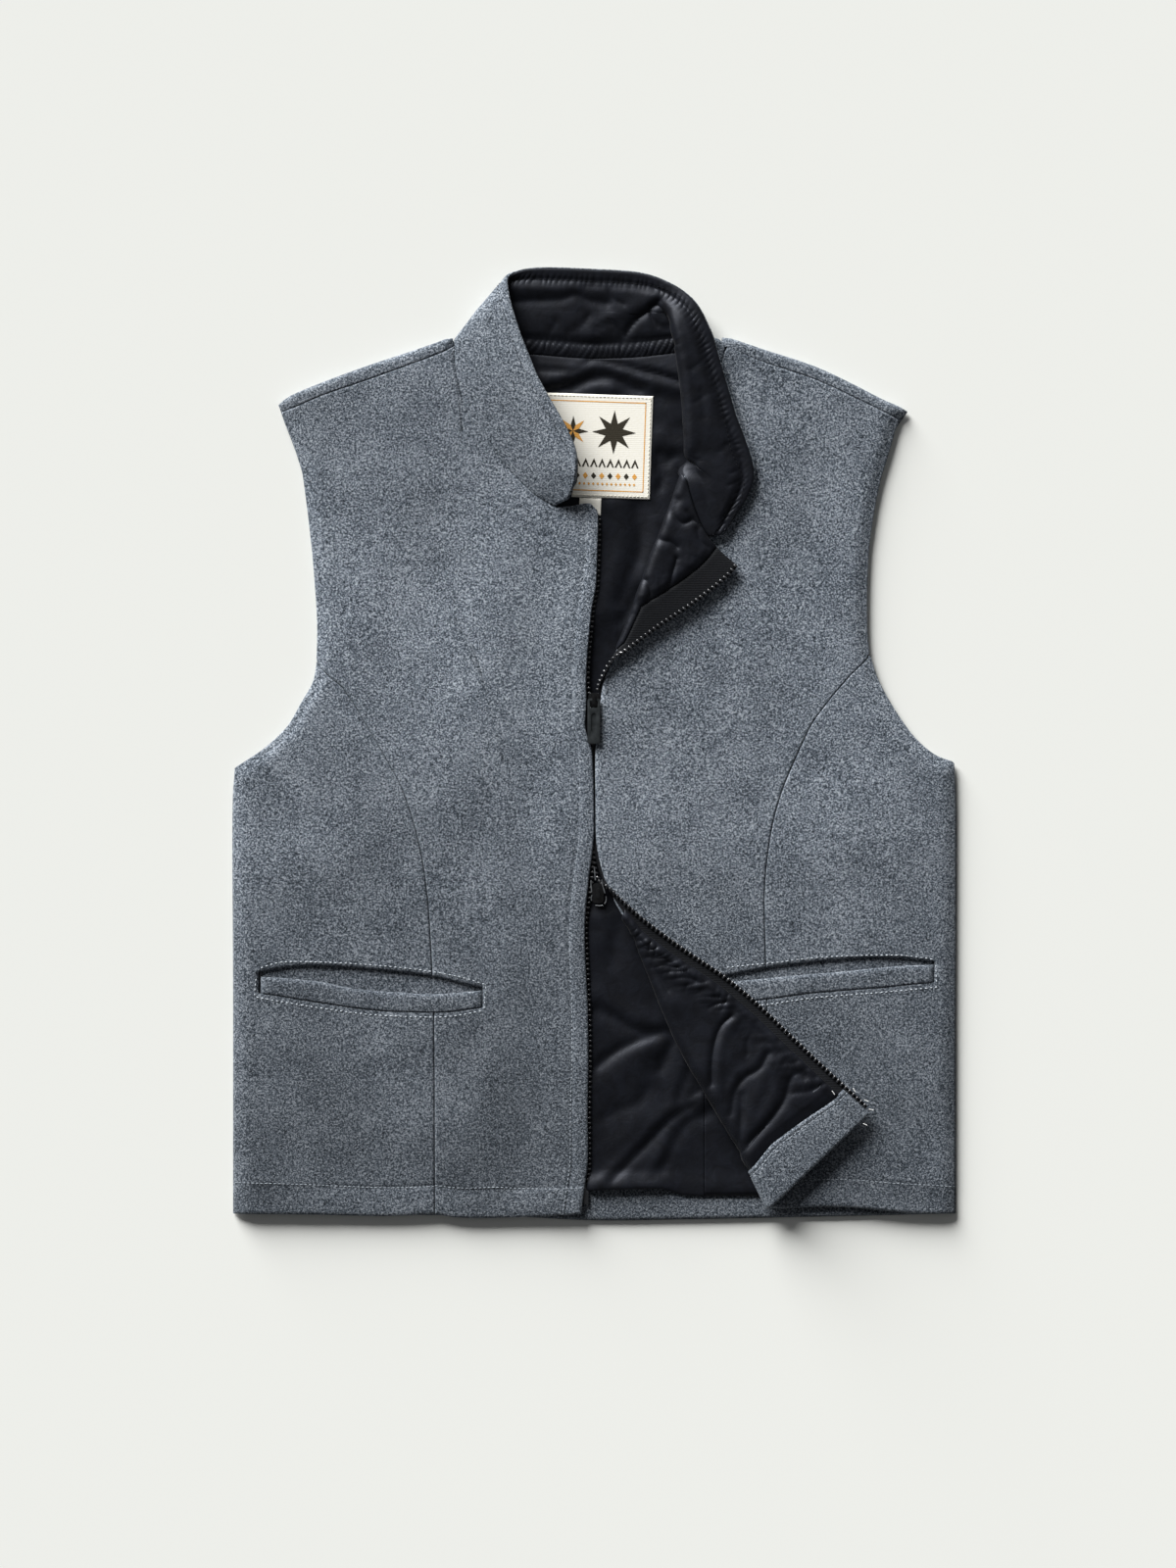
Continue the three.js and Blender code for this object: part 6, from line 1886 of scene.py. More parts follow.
@dataclass
class Zip:
    """The zip: two tapes, two rows of teeth, the pin at its foot, two sliders and the pull.

    Args:
        pitch: Distance from tooth to tooth.
        tooth_length: Length of a tooth along the tape.
        top: Depth of the teeth's upper face under the cloth's.
        bottom: Depth of their lower face.
        reach: How far a tooth grows into the tape.
        proud: How far the teeth stand off the tape's edge.
        cord: How far the tape reaches past the teeth's middle.
        tooth_plan: Outline of a tooth from above, in halves of its length and width, tape side first.
        tooth_layers: Height over the middle and scale of each layer of a tooth.
        neck: Share of a tooth's length at the tape.
        start: Distance of the first tooth from the top.
        top_y: Height at which the right tape starts.
        right_rows: Rows of points down it.
        tape_layers: Lower and upper face of the tapes.
        columns: Points across the left and the right tape.
        flap_share: How far under the turn-up the left tape reaches.
        hidden_edge: Distance of its hidden edge there.
        behind: Step back from the teeth's middle at which their direction is read.
        rim: Half width of the lower slider's rims.
        rim_sides: Corners of their cross-section.
        rounding: Width of the rounded edges of the cast pieces.
    """

    pitch: float = 3.5
    tooth_length: float = 2.1
    top: float = 0.4
    bottom: float = 2.6
    reach: float = 0.5
    proud: float = 1.2
    cord: float = 0.9
    tooth_plan: Line = ((-1, -1), (0.72, -0.72), (1, -0.3), (1, 0.3), (0.72, 0.72), (-1, 1))
    tooth_layers: Line = ((-1.1, 0.8), (-0.75, 1.0), (0.78, 1.0), (1.1, 0.5))
    neck: float = 0.62
    start: float = 1.2
    top_y: float = 156.0
    right_rows: int = 260
    tape_layers: tuple[float, float] = (0.3, 1.1)
    columns: tuple[int, int] = (14, 8)
    flap_share: float = 0.8
    hidden_edge: float = -0.1
    behind: float = 1.5
    rim: float = 0.4
    rim_sides: int = 8
    rounding: float = 0.28

    def tooth(self) -> tuple[Array, list[tuple[int, ...]]]:
        """Return a tooth about its middle, along the tape, across it and up, with softened edges."""
        half_length, half_width = self.tooth_length / 2, (TEETH_WIDTH + self.reach) / 2
        sides = len(self.tooth_plan)
        points = [
            (l * half_length * scale * (self.neck if w < 0 else 1), w * half_width * (0.5 + 0.5 * scale), z)
            for z, scale in self.tooth_layers
            for w, l in self.tooth_plan
        ]
        ends = [tuple(range(sides - 1, -1, -1)), tuple(range(len(points) - sides, len(points)))]
        return np.array(points), ends + ring_faces(len(self.tooth_layers), sides)

    def row(self, side: str, line: Array, outward: Array, up: Array, start: float, finish: "Finish") -> None:
        """Set the teeth of one side along a line.

        Args:
            side: Which side it is.
            line: Points down the middle of the teeth.
            outward: Direction away from the tape at each point.
            up: Direction of the seen face at each point.
            start: Distance of the first tooth from the start of the line.
            finish: What the teeth are made of.
        """
        run = run_along(line)
        at = np.arange(start, run[-1], self.pitch)
        centre, out, normal = (read_line(values, run, at) for values in (line, outward, up))
        out /= np.linalg.norm(out, axis=1, keepdims=True)
        normal -= out * (normal * out).sum(axis=1, keepdims=True)
        normal /= np.linalg.norm(normal, axis=1, keepdims=True)
        axes = (np.cross(out, normal), out, normal)
        shape, faces = self.tooth()
        grown = sum(shape[None, :, k : k + 1] * axis[:, None] for k, axis in enumerate(axes))
        points = (centre[:, None] + grown).reshape(-1, 3)
        quads = [tuple(k + i * len(shape) for k in face) for i in range(len(at)) for face in faces]
        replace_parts(make_object(f"zip_teeth_{side}_moulded", points, quads, finish), f"zip_teeth_{side}")

    def left_side(self, left: LeftFront, tape: "Finish", plastic: "Finish") -> None:
        """Make the tape and teeth along the zip edge of the left front."""
        end = left.turn_up_start + self.flap_share * (left.last_row - left.turn_up_start)
        edge = np.full_like(left.zip, -self.proud - self.cord)
        far = np.where(left.positions > left.turn_up_start, self.hidden_edge, left.tape_far())
        strip = Cloth(left.strip(0, end, edge, far, self.columns[0]), -1, *self.tape_layers)
        make_cloth("zip_tape_left_woven", strip, tape, "zip_tape_left", "front_left_centre")
        rows = left.chosen(0, end)
        points = left.points[rows]
        middle = (TEETH_WIDTH / 2 - left.zip)[rows, None]
        line = left.from_edge(points, middle - self.reach / 2 - self.proud)[:, 0]
        back = left.from_edge(points, np.maximum(middle, 0) + self.behind)[:, 0]
        normal = Cloth(left.strip(0, end, -left.zip, TEETH_WIDTH - left.zip, 3), -1, 0, 1).normals[:, 1]
        depth = (self.bottom + self.top) / 2
        self.row("left", line + normal * depth, line - back, normal, self.start, plastic)

    def right_side(self, tape: "Finish", plastic: "Finish") -> None:
        """Make the tape and teeth along the edge of the right front."""
        y = np.linspace(self.top_y, ZIP_END_Y, self.right_rows)
        x = across_at(TEETH_LINE_R, y)
        z = front_height(x - TEETH_WIDTH, y) - (self.bottom + self.top) / 2
        line = np.column_stack([x - TEETH_WIDTH / 2 + self.reach / 2, y, z])
        out = np.tile((1.0, 0.0, 0.0), (len(y), 1))
        self.row("right", line, out, upwards(len(y)), self.start + self.pitch / 2, plastic)
        inner = TEETH_WIDTH + GAP
        across = np.linspace(inner + TAPE_WIDTH, inner, self.columns[1])
        plan = np.dstack([x[:, None] - across, np.broadcast_to(y[:, None], (len(y), len(across)))])
        cloth = Cloth(on_front(plan), 1, *self.tape_layers)
        make_cloth("zip_tape_right_woven", cloth, tape, "zip_tape_right", "back_lining_centre")

    def rims(self, painted_glint: "Finish") -> None:
        """Raise the rims of the lower slider."""
        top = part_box("zip_slider_low")[1].z / MM
        turns = np.linspace(0, math.tau, self.rim_sides, endpoint=False)[None, :, None]
        shapes: list[Array] = []
        faces: list[tuple[int, ...]] = []
        for rim in SLIDER_RIMS:
            plan = np.array(rim, dtype=float)[:, None]
            ahead = np.gradient(plan, axis=0)
            ahead /= np.linalg.norm(ahead, axis=2, keepdims=True)
            round_plan = plan + ahead[..., ::-1] * (1, -1) * np.cos(turns) * self.rim
            height = np.broadcast_to(top + self.rim * np.sin(turns), (*round_plan.shape[:2], 1))
            first = sum(len(shape) for shape in shapes)
            shapes.append(np.dstack([round_plan, height]).reshape(-1, 3))
            for a, b, c, d in ring_faces(len(plan), self.rim_sides):
                faces.append((first + a, first + d, first + c, first + b))
        # The rims get a light grey metal: painted highlight for the glints along them, on top of their real
        # gloss.
        make_object("zip_slider_low_rims", np.vstack(shapes), faces, painted_glint)

    def build(self, left: LeftFront, tape: "Finish", plastic: "Finish", metals: Sequence["Finish"]) -> None:
        """Make the tapes and teeth, and dress the sliders, the pin and the pull.

        Args:
            left: The left front, whose zip edge the left side follows.
            tape: Finish of the tapes.
            plastic: Finish of the teeth and the pin.
            metals: Finishes of the sliders, of the rims, whose light metal is painted highlight, and of the
                pull.
        """
        slider, painted_glint, pull = metals
        self.left_side(left, tape, plastic)
        self.right_side(tape, plastic)
        softened("zip_slider_top", slider, BODY, self.rounding)
        softened("zip_slider_low", slider, BODY, self.rounding)
        softened("zip_pin", plastic, BODY, self.rounding)
        softened("zip_pull_top", pull, PULL_BODY, self.rounding)
        self.rims(painted_glint)


def softened(node: str, finish: "Finish", body: str, width: float) -> None:
    """Copy a CAD node with its edges rounded, to stand for it.

    Args:
        node: Name of the CAD node.
        finish: What it is made of.
        body: CAD body that carries it.
        width: Width of the rounded edges.
    """
    piece = linked(f"{node}_cast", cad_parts[node].data.copy())
    weld = piece.modifiers.new("weld", "WELD")
    weld.merge_threshold = 0.02 * MM
    bevel = piece.modifiers.new("bevel", "BEVEL")
    bevel.width = width * MM
    bevel.segments = 3
    bevel.limit_method = "ANGLE"
    bevel.angle_limit = math.radians(32)
    bevel.use_clamp_overlap = True
    graph = bpy.context.evaluated_depsgraph_get()
    mesh = bpy.data.meshes.new_from_object(piece.evaluated_get(graph))
    piece.modifiers.clear()
    piece.data = mesh
    mesh.materials.clear()
    mesh.materials.append(finish.material())
    mesh.shade_smooth()
    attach(piece, body)
    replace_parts(piece, node)


# Places along the collar with rows of their own at each end, and shares of the way before and after its fold
COLLAR_ENDS = (0, 0.05, 0.12, 0.22, 0.35, 0.5, 0.7)
COLLAR_LAST_ROWS = (0.7, 0.5, 0.3, 0.15, 0.05, 0)
BEFORE_FOLD = (0, 0.015, 0.04, 0.08, 0.13, 0.19, 0.26, 0.33, 0.41, 0.5, 0.6, 0.7, 0.8, 0.9)
AFTER_FOLD = (*(0.06 * k for k in range(1, 13)), 0.76, 0.8, 0.84, 0.88, 0.92, 0.95, 0.975, 0.99, 1.0)


@dataclass
class Collar:
    """The stand collar: wool outside, satin inside.

    Args:
        rows_each: Rows between two places of the table.
        least_roll: Least radius of the fold.
        roll_steps: Points round the fold.
        gap: Distance from the neck seam.
        tuck: Width of the satin that goes on behind the neck seam.
        tuck_shares: Places of its rows, from the far one to the seam.
        sink: How deep it goes down.
        lining_rows: Rows of the satin for each of the wool, and how many more where it stands.
        lapel_seam: Distances from the fold at which the collar's last places lie on the lapel.
        lapel_gap: Their step from there.
        stitch: Distance of the stitching from the upper edge.
        standing: Heights between which the lining comes to stand, for its rows and for its puckers.
        creased_from: Distances from the upper edge and from the seam between which the creases fade in.
        ease: Level of the creased lining and share of its creases.
        pucker_pitch: Distance from one pucker to the next.
        wander: How far the puckers stray, and the size of the pattern.
        pucker_depth: Least height of a pucker and how much more it has, as shares, and the pattern's size.
        edge_puckers: Height, level and reach of the puckers beside the stitching.
        neck_roll: Place, reach and height of the roll along the seam, and the level and puckers that it
            has as well behind the neck.
        neck_groove: Place, reach and depth of the groove over it.
    """

    rows_each: int = 8
    least_roll: float = 4.0
    roll_steps: int = 11
    gap: float = -0.5
    tuck: float = 4.0
    tuck_shares: tuple[float, ...] = (1.0, 0.8, 0.6, 0.4, 0.2)
    sink: float = 2.5
    lining_rows: tuple[float, float] = (2.3, 1.9)
    lapel_seam: tuple[float, ...] = (6.6, 18.0, 33.0, 47.0, 58.0)
    lapel_gap: tuple[float, float] = (0.7, 2.4)
    stitch: float = 7.5
    standing: tuple[tuple[float, float], tuple[float, float]] = ((245.0, 255.0), (252.0, 260.0))
    creased_from: tuple[tuple[float, float], tuple[float, float]] = ((9.0, 14.0), (10.0, 14.0))
    ease: tuple[float, float] = (1.5, 0.7)
    pucker_pitch: float = 4.1
    wander: tuple[float, float] = (2.2, 8.0)
    pucker_depth: tuple[float, float, float] = (0.7, 0.3, 6.0)
    edge_puckers: tuple[float, float, float] = (0.9, 0.6, 3.0)
    neck_roll: tuple[float, float, float, float, float] = (4.5, 4.2, 0.15, 0.2, 1.5)
    neck_groove: tuple[float, float, float] = (9.5, 1.3, 0.6)

    def grid(self, left: LeftFront) -> Array:
        """Shape the face where the wool and the lining meet.

        Args:
            left: The left front, on whose lapel the collar ends.

        Returns:
            Points, a row for each place along the collar.
        """
        table = COLLAR_TABLE.copy()
        seam, turn, roll = table[:, :3], table[:, 3:6], table[:, 9]
        inward = (turn - seam) * (1, 1, 0)
        length = np.linalg.norm(inward, axis=1)
        slope = np.arctan2(np.maximum(0, turn[:, 2] - roll - seam[:, 2]), length)
        seam += inward / length[:, None] * (self.gap + WOOL * np.sin(slope))[:, None]
        top_row = left.points[:1]
        arc = left.arc(top_row)[0, left.before]
        places = left.from_edge(top_row, arc - np.array([self.lapel_seam]))[0]
        seam[-len(self.lapel_seam) :] = places + (*self.lapel_gap, 0)
        last = len(table) - 1
        even = np.linspace(0, last, last * self.rows_each + 1)
        positions = np.concatenate([even, COLLAR_ENDS, last - np.array(COLLAR_LAST_ROWS)])
        rows = smooth_value(table, np.unique(np.round(positions, 4)))
        before, after = (np.tile(shares, (len(rows), 1)) for shares in (BEFORE_FOLD, AFTER_FOLD))
        angles = np.linspace(-np.pi / 2, np.pi / 2, self.roll_steps)
        start, fold, end, roll = rows[:, :3], rows[:, 3:6], rows[:, 6:9], np.maximum(0, rows[:, 9])
        return rolled(start, fold, end, roll, self.least_roll, before, angles, after)

    def lining_grid(self, grid: Array) -> Array:
        """Give the lining its finer rows and the strip that goes on behind the neck seam.

        Args:
            grid: Points of the wool's face.

        Returns:
            Points of the lining's face, the hidden strip first.
        """
        stands = ramp(grid[:, 0, 1], *self.standing[0])
        total = np.cumsum(self.lining_rows[0] + self.lining_rows[1] * stands)
        places = np.interp(np.arange(total[0], total[-1] + 1), total, np.arange(len(grid)))
        low = places.astype(int).clip(0, len(grid) - 2)
        part = (places - low)[:, None, None]
        grid = grid[low] * (1 - part) + grid[low + 1] * part
        away = grid[:, :1] - grid[:, 4:5]
        away /= np.linalg.norm(away, axis=2, keepdims=True)
        shares = np.array(self.tuck_shares)[None, :, None]
        tucked = grid[:, :1] + away * shares * self.tuck
        tucked[..., 2] = np.maximum(tucked[..., 2] - self.sink * shares[..., 0], BACK_LINING - 0.8)
        return np.concatenate([tucked, grid[:, :-2]], axis=1)

    def lining(self, grid: Array) -> Cloth:
        """Shape the lining with its creases and the puckers beside its seams.

        Args:
            grid: Points of the lining's face.

        Returns:
            The lining.
        """
        borders = {Edge.LAST: Border(stitch=self.stitch, groove=0.6)}
        flat = Cloth(grid, -1, GAP, GAP + SATIN, borders)
        edge, seam, run = flat.ends[Edge.LAST], flat.ends[Edge.FIRST] - self.tuck, flat.ends[Edge.TOP]
        level, share = self.ease
        rise = share * crease_height(COLLAR_CREASES, grid[..., 0], grid[..., 1]) + level
        rise *= ramp(edge, *self.creased_from[0]) * ramp(seam, *self.creased_from[1])
        stray, size = self.wander
        stray = run + stray * value_noise(run, edge, size, 41)
        least, more, size = self.pucker_depth
        puckers = np.abs(np.sin(np.pi * stray / self.pucker_pitch))
        puckers *= least + more * value_noise(run, seam, size, 43)
        height, level, reach = self.edge_puckers
        rise += height * (puckers - level) * bell(edge - self.stitch, reach)
        stands = ramp(grid[..., 1], *self.standing[1])
        place, reach, low, level, height = self.neck_roll
        rise += (low + stands * (level + height * puckers)) * bell(seam - place, reach)
        place, reach, depth = self.neck_groove
        rise -= depth * stands * bell(seam - place, reach)
        return Cloth(grid + flat.normals * np.maximum(rise, -0.3)[..., None], -1, GAP, GAP + SATIN, borders)

    def build(self, left: LeftFront, wool: "Finish", satin: "Finish", thread: Stitching) -> None:
        """Make the two layers and their topstitching."""
        grid = self.grid(left)
        band = Border(stitch=self.stitch, groove=0.5, turn=2.5)
        outer = Cloth(grid, 1, 0, WOOL, {Edge.LAST: band, Edge.FIRST: NECK_EDGE})
        fronts = ("front_right_centre", "front_left_centre")
        make_cloth("collar_outer_wool", outer, wool, "collar_outer", *fronts)
        inner = self.lining(self.lining_grid(grid))
        make_cloth("collar_lining_satin", inner, satin, "collar_lining", "collar_outer")
        thread.add(*inner.seam_line(Edge.LAST))
        thread.add(*outer.seam_line(Edge.LAST))


@dataclass
class NeckLabel:
    """The woven label inside the back neck and the small tab under it, with a plain woven ornament.

    Args:
        box: Left, right, lower and upper side of the label before it is turned.
        thick: Thickness of the label.
        tab: Sides of the tab.
        tab_thick: Thickness of the tab.
        tilt: How far the label is turned.
        spacing: Distance between points.
        stars: Step from the middle and size of each star.
        star_y: Height of the stars over the lower side.
        frame_inset: Distance of the woven frame from the sides.
        frame_width: Width of the frame.
        stitch_inset: Distance of the stitching from the sides.
        rises: Height of the ornament and of the frame over the label.
    """

    box: tuple[float, float, float, float] = (-39.0, 39.0, 168.0, 238.5)
    thick: float = 0.8
    tab: tuple[float, float, float, float] = (-9.0, 6.0, 156.0, 167.6)
    tab_thick: float = 0.6
    tilt: float = -0.034
    spacing: float = 2.5
    stars: Line = ((-15, 10.5), (13, 15.0))
    star_y: float = 45.0
    frame_inset: float = 4.6
    frame_width: float = 0.7
    stitch_inset: float = 1.6
    rises: tuple[float, float] = (0.12, 0.08)

    def inset(self, width: float) -> Line:
        """Return the corners of the label's outline set in by a width, left to right at the foot first."""
        left, right, bottom, top = self.box
        left, right, bottom, top = left + width, right - width, bottom + width, top - width
        return ((left, bottom), (right, bottom), (right, top), (left, top))

    def turned(self, plan: Array) -> Array:
        """Turn plan points about the middle of the label, which isn't sewn on quite squarely."""
        middle = np.mean(self.inset(0), axis=0)
        away = plan - middle
        return middle + away + self.tilt * away[..., ::-1] * (-1, 1)

    def on_lining(self, plan: Array, height: float = 0.0) -> Array:
        """Lay plan points, turned, at a height over the gap above the lining."""
        plan = self.turned(plan)
        return np.dstack([plan, lining_height(plan[..., 0], plan[..., 1]) + SATIN + GAP + height])

    def sheet(self, box: Sequence[float], thick: float) -> Cloth:
        """Lay a woven rectangle on the lining."""
        left, right, bottom, top = box
        x = left + stations(right - left, PLAIN, PLAIN, self.spacing)
        y = top - stations(top - bottom, PLAIN, PLAIN, self.spacing)
        return Cloth(self.on_lining(np.dstack(np.meshgrid(x, y))), -1, 0, thick)

    def flat_shapes(self, name: str, shapes: Sequence[Line], height: float, finish: "Finish") -> None:
        """Lay small flat shapes on the label as one piece.

        Args:
            name: Name of the piece.
            shapes: Outlines in plan.
            height: Height over the label.
            finish: What they are woven of.
        """
        points, faces, count = [], [], 0
        for corners in shapes:
            points.append(self.on_lining(np.array([corners], dtype=float), self.thick + height)[0])
            faces.append(tuple(range(count, count + len(corners))))
            count += len(corners)
        make_object(name, np.vstack(points), faces, finish)

    def ornament(self) -> tuple[list[Line], list[Line]]:
        """Return the outlines of the ornament, dark and golden: stars over chevrons and lozenges."""
        left, right, bottom, _ = self.box
        middle_x = (left + right) / 2
        dark, gold = [], []
        for step, size in self.stars:
            centre = np.array((middle_x + step, bottom + self.star_y))
            for k in range(8):
                turn = math.pi * k / 4
                rays = ((turn - 0.39, 0.42), (turn, 1), (turn + 0.39, 0.42))
                points = [centre + size * length * np.array((math.cos(a), math.sin(a))) for a, length in rays]
                (gold if k % 2 and size < 12 else dark).append([centre, *points])
        for k in range(-5, 6):
            x, y = middle_x + 5.6 * k, bottom + 22
            feet = ((-2.6, -1), (-1.4, -1), (0, 2.2), (1.4, -1), (2.6, -1), (0, 5))
            dark.append([(x + dx, y + dy) for dx, dy in feet])
            (gold if k % 2 else dark).append(self.lozenge(x, bottom + 15, 1.8, 2.3))
        gold += [self.lozenge(middle_x + 3.1 * k, bottom + 9.5, 0.9, 1.1) for k in range(-9, 10)]
        return dark, gold

    @staticmethod
    def lozenge(x: float, y: float, half_width: float, half_height: float) -> Line:
        """Return the corners of a lozenge."""
        return ((x - half_width, y), (x, y - half_height), (x + half_width, y), (x, y + half_height))

    def build(self, damask: "Finish", ink: "Finish", border: "Finish", thread: Stitching) -> None:
        """Make the label, the tab, the ornament and the woven frame."""
        label, tab = self.sheet(self.box, self.thick), self.sheet(self.tab, self.tab_thick)
        make_cloth("neck_label_damask", label, damask, "neck_label", "back_lining_centre")
        make_cloth("size_tab_damask", tab, damask, "size_tab", "back_lining_centre")
        dark, gold = self.ornament()
        self.flat_shapes("neck_label_ornament_ink", dark, self.rises[0], ink)
        self.flat_shapes("neck_label_ornament_gold", gold, self.rises[0], border)
        (x0, y0), _, (x1, y1), _ = self.inset(self.frame_inset)
        w = self.frame_width
        bars = ((x0, y0, x1, y0 + w), (x0, y1 - w, x1, y1), (x0, y0, x0 + w, y1), (x1 - w, y0, x1, y1))
        frame_bars = [((ax, ay), (bx, ay), (bx, by), (ax, by)) for ax, ay, bx, by in bars]
        self.flat_shapes("neck_label_frame", frame_bars, self.rises[1], border)
        corners = np.array(self.inset(self.stitch_inset))[::-1]
        share = np.linspace(0, 1, 40)[:, None]
        for a, b in zip(corners, np.roll(corners, -1, axis=0)):
            thread.add(self.on_lining((a + (b - a) * share)[None], self.thick)[0], upwards(len(share)))


Add = Callable[..., Any]

# Radians that a wave texture runs through in a metre at a scale of 1
WAVES_TO_A_SCALE = 20


def per_mm(size: float) -> float:
    """Return the scale of a pattern whose features are a number of millimetres wide."""
    return 1 / (size * MM)


def span(source: Optional[tuple[float, float]], target: tuple[float, float]) -> dict[str, float]:
    """Return the inputs that map one range onto another, or from 0 to 1 where there is no first range."""
    ends = {"To Min": target[0], "To Max": target[1]}
    return ends if source is None else {"From Min": source[0], "From Max": source[1], **ends}


def linear(colour: str) -> tuple[float, float, float, float]:
    """Turn an sRGB hex colour into linear light with full opacity."""
    values = [int(colour[k : k + 2], 16) / 255 for k in (1, 3, 5)]
    return (*(v / 12.92 if v <= 0.04045 else ((v + 0.055) / 1.055) ** 2.4 for v in values), 1.0)


def add_node(tree: Any, kind: str, links: Optional[dict[Any, Any]] = None, **settings: Any) -> Any:
    """Add a shader node.

    Args:
        tree: Node tree.
        kind: Type of the node.
        links: For each input, a value or the output that feeds it.
        settings: Properties of the node. stops is a list of ramp positions and colours.

    Returns:
        The node.
    """
    node = tree.nodes.new(kind)
    stops = settings.pop("stops", None)
    for name, value in settings.items():
        setattr(node, name, value)
    if stops:
        elements = node.color_ramp.elements
        while len(elements) < len(stops):
            elements.new(0.5)
        for element, (position, colour) in zip(elements, stops):
            element.position = position
            element.color = linear(colour)
    for name, value in (links or {}).items():
        if isinstance(value, bpy.types.NodeSocket):
            tree.links.new(value, node.inputs[name])
        else:
            node.inputs[name].default_value = value
    return node


@dataclass(frozen=True)
class Finish:
    """A material of the vest.

    Args:
        name: Name of the material.
        slot: Material slot of the record that it belongs to; not used.
    """

    name: str
    slot: str

    def material(self) -> Any:
        """Return the Blender material, made once."""
        found = bpy.data.materials.get(self.name)
        if found:
            return found
        material = bpy.data.materials.new(self.name)
        material.use_nodes = True
        tree = material.node_tree
        tree.nodes.clear()
        add = partial(add_node, tree)
        place = add("ShaderNodeTexCoord").outputs["Object"]
        shader = add("ShaderNodeBsdfPrincipled", self.surface(add, place))
        add("ShaderNodeOutputMaterial", {"Surface": shader.outputs[0]})
        return material

    def surface(self, add: Add, place: Any) -> dict[str, Any]:
        """Build the pattern.

        Args:
            add: Adds a node to the material.
            place: Output with the place on the object, in metres.

        Returns:
            What goes into each input of the surface.
        """
        raise NotImplementedError


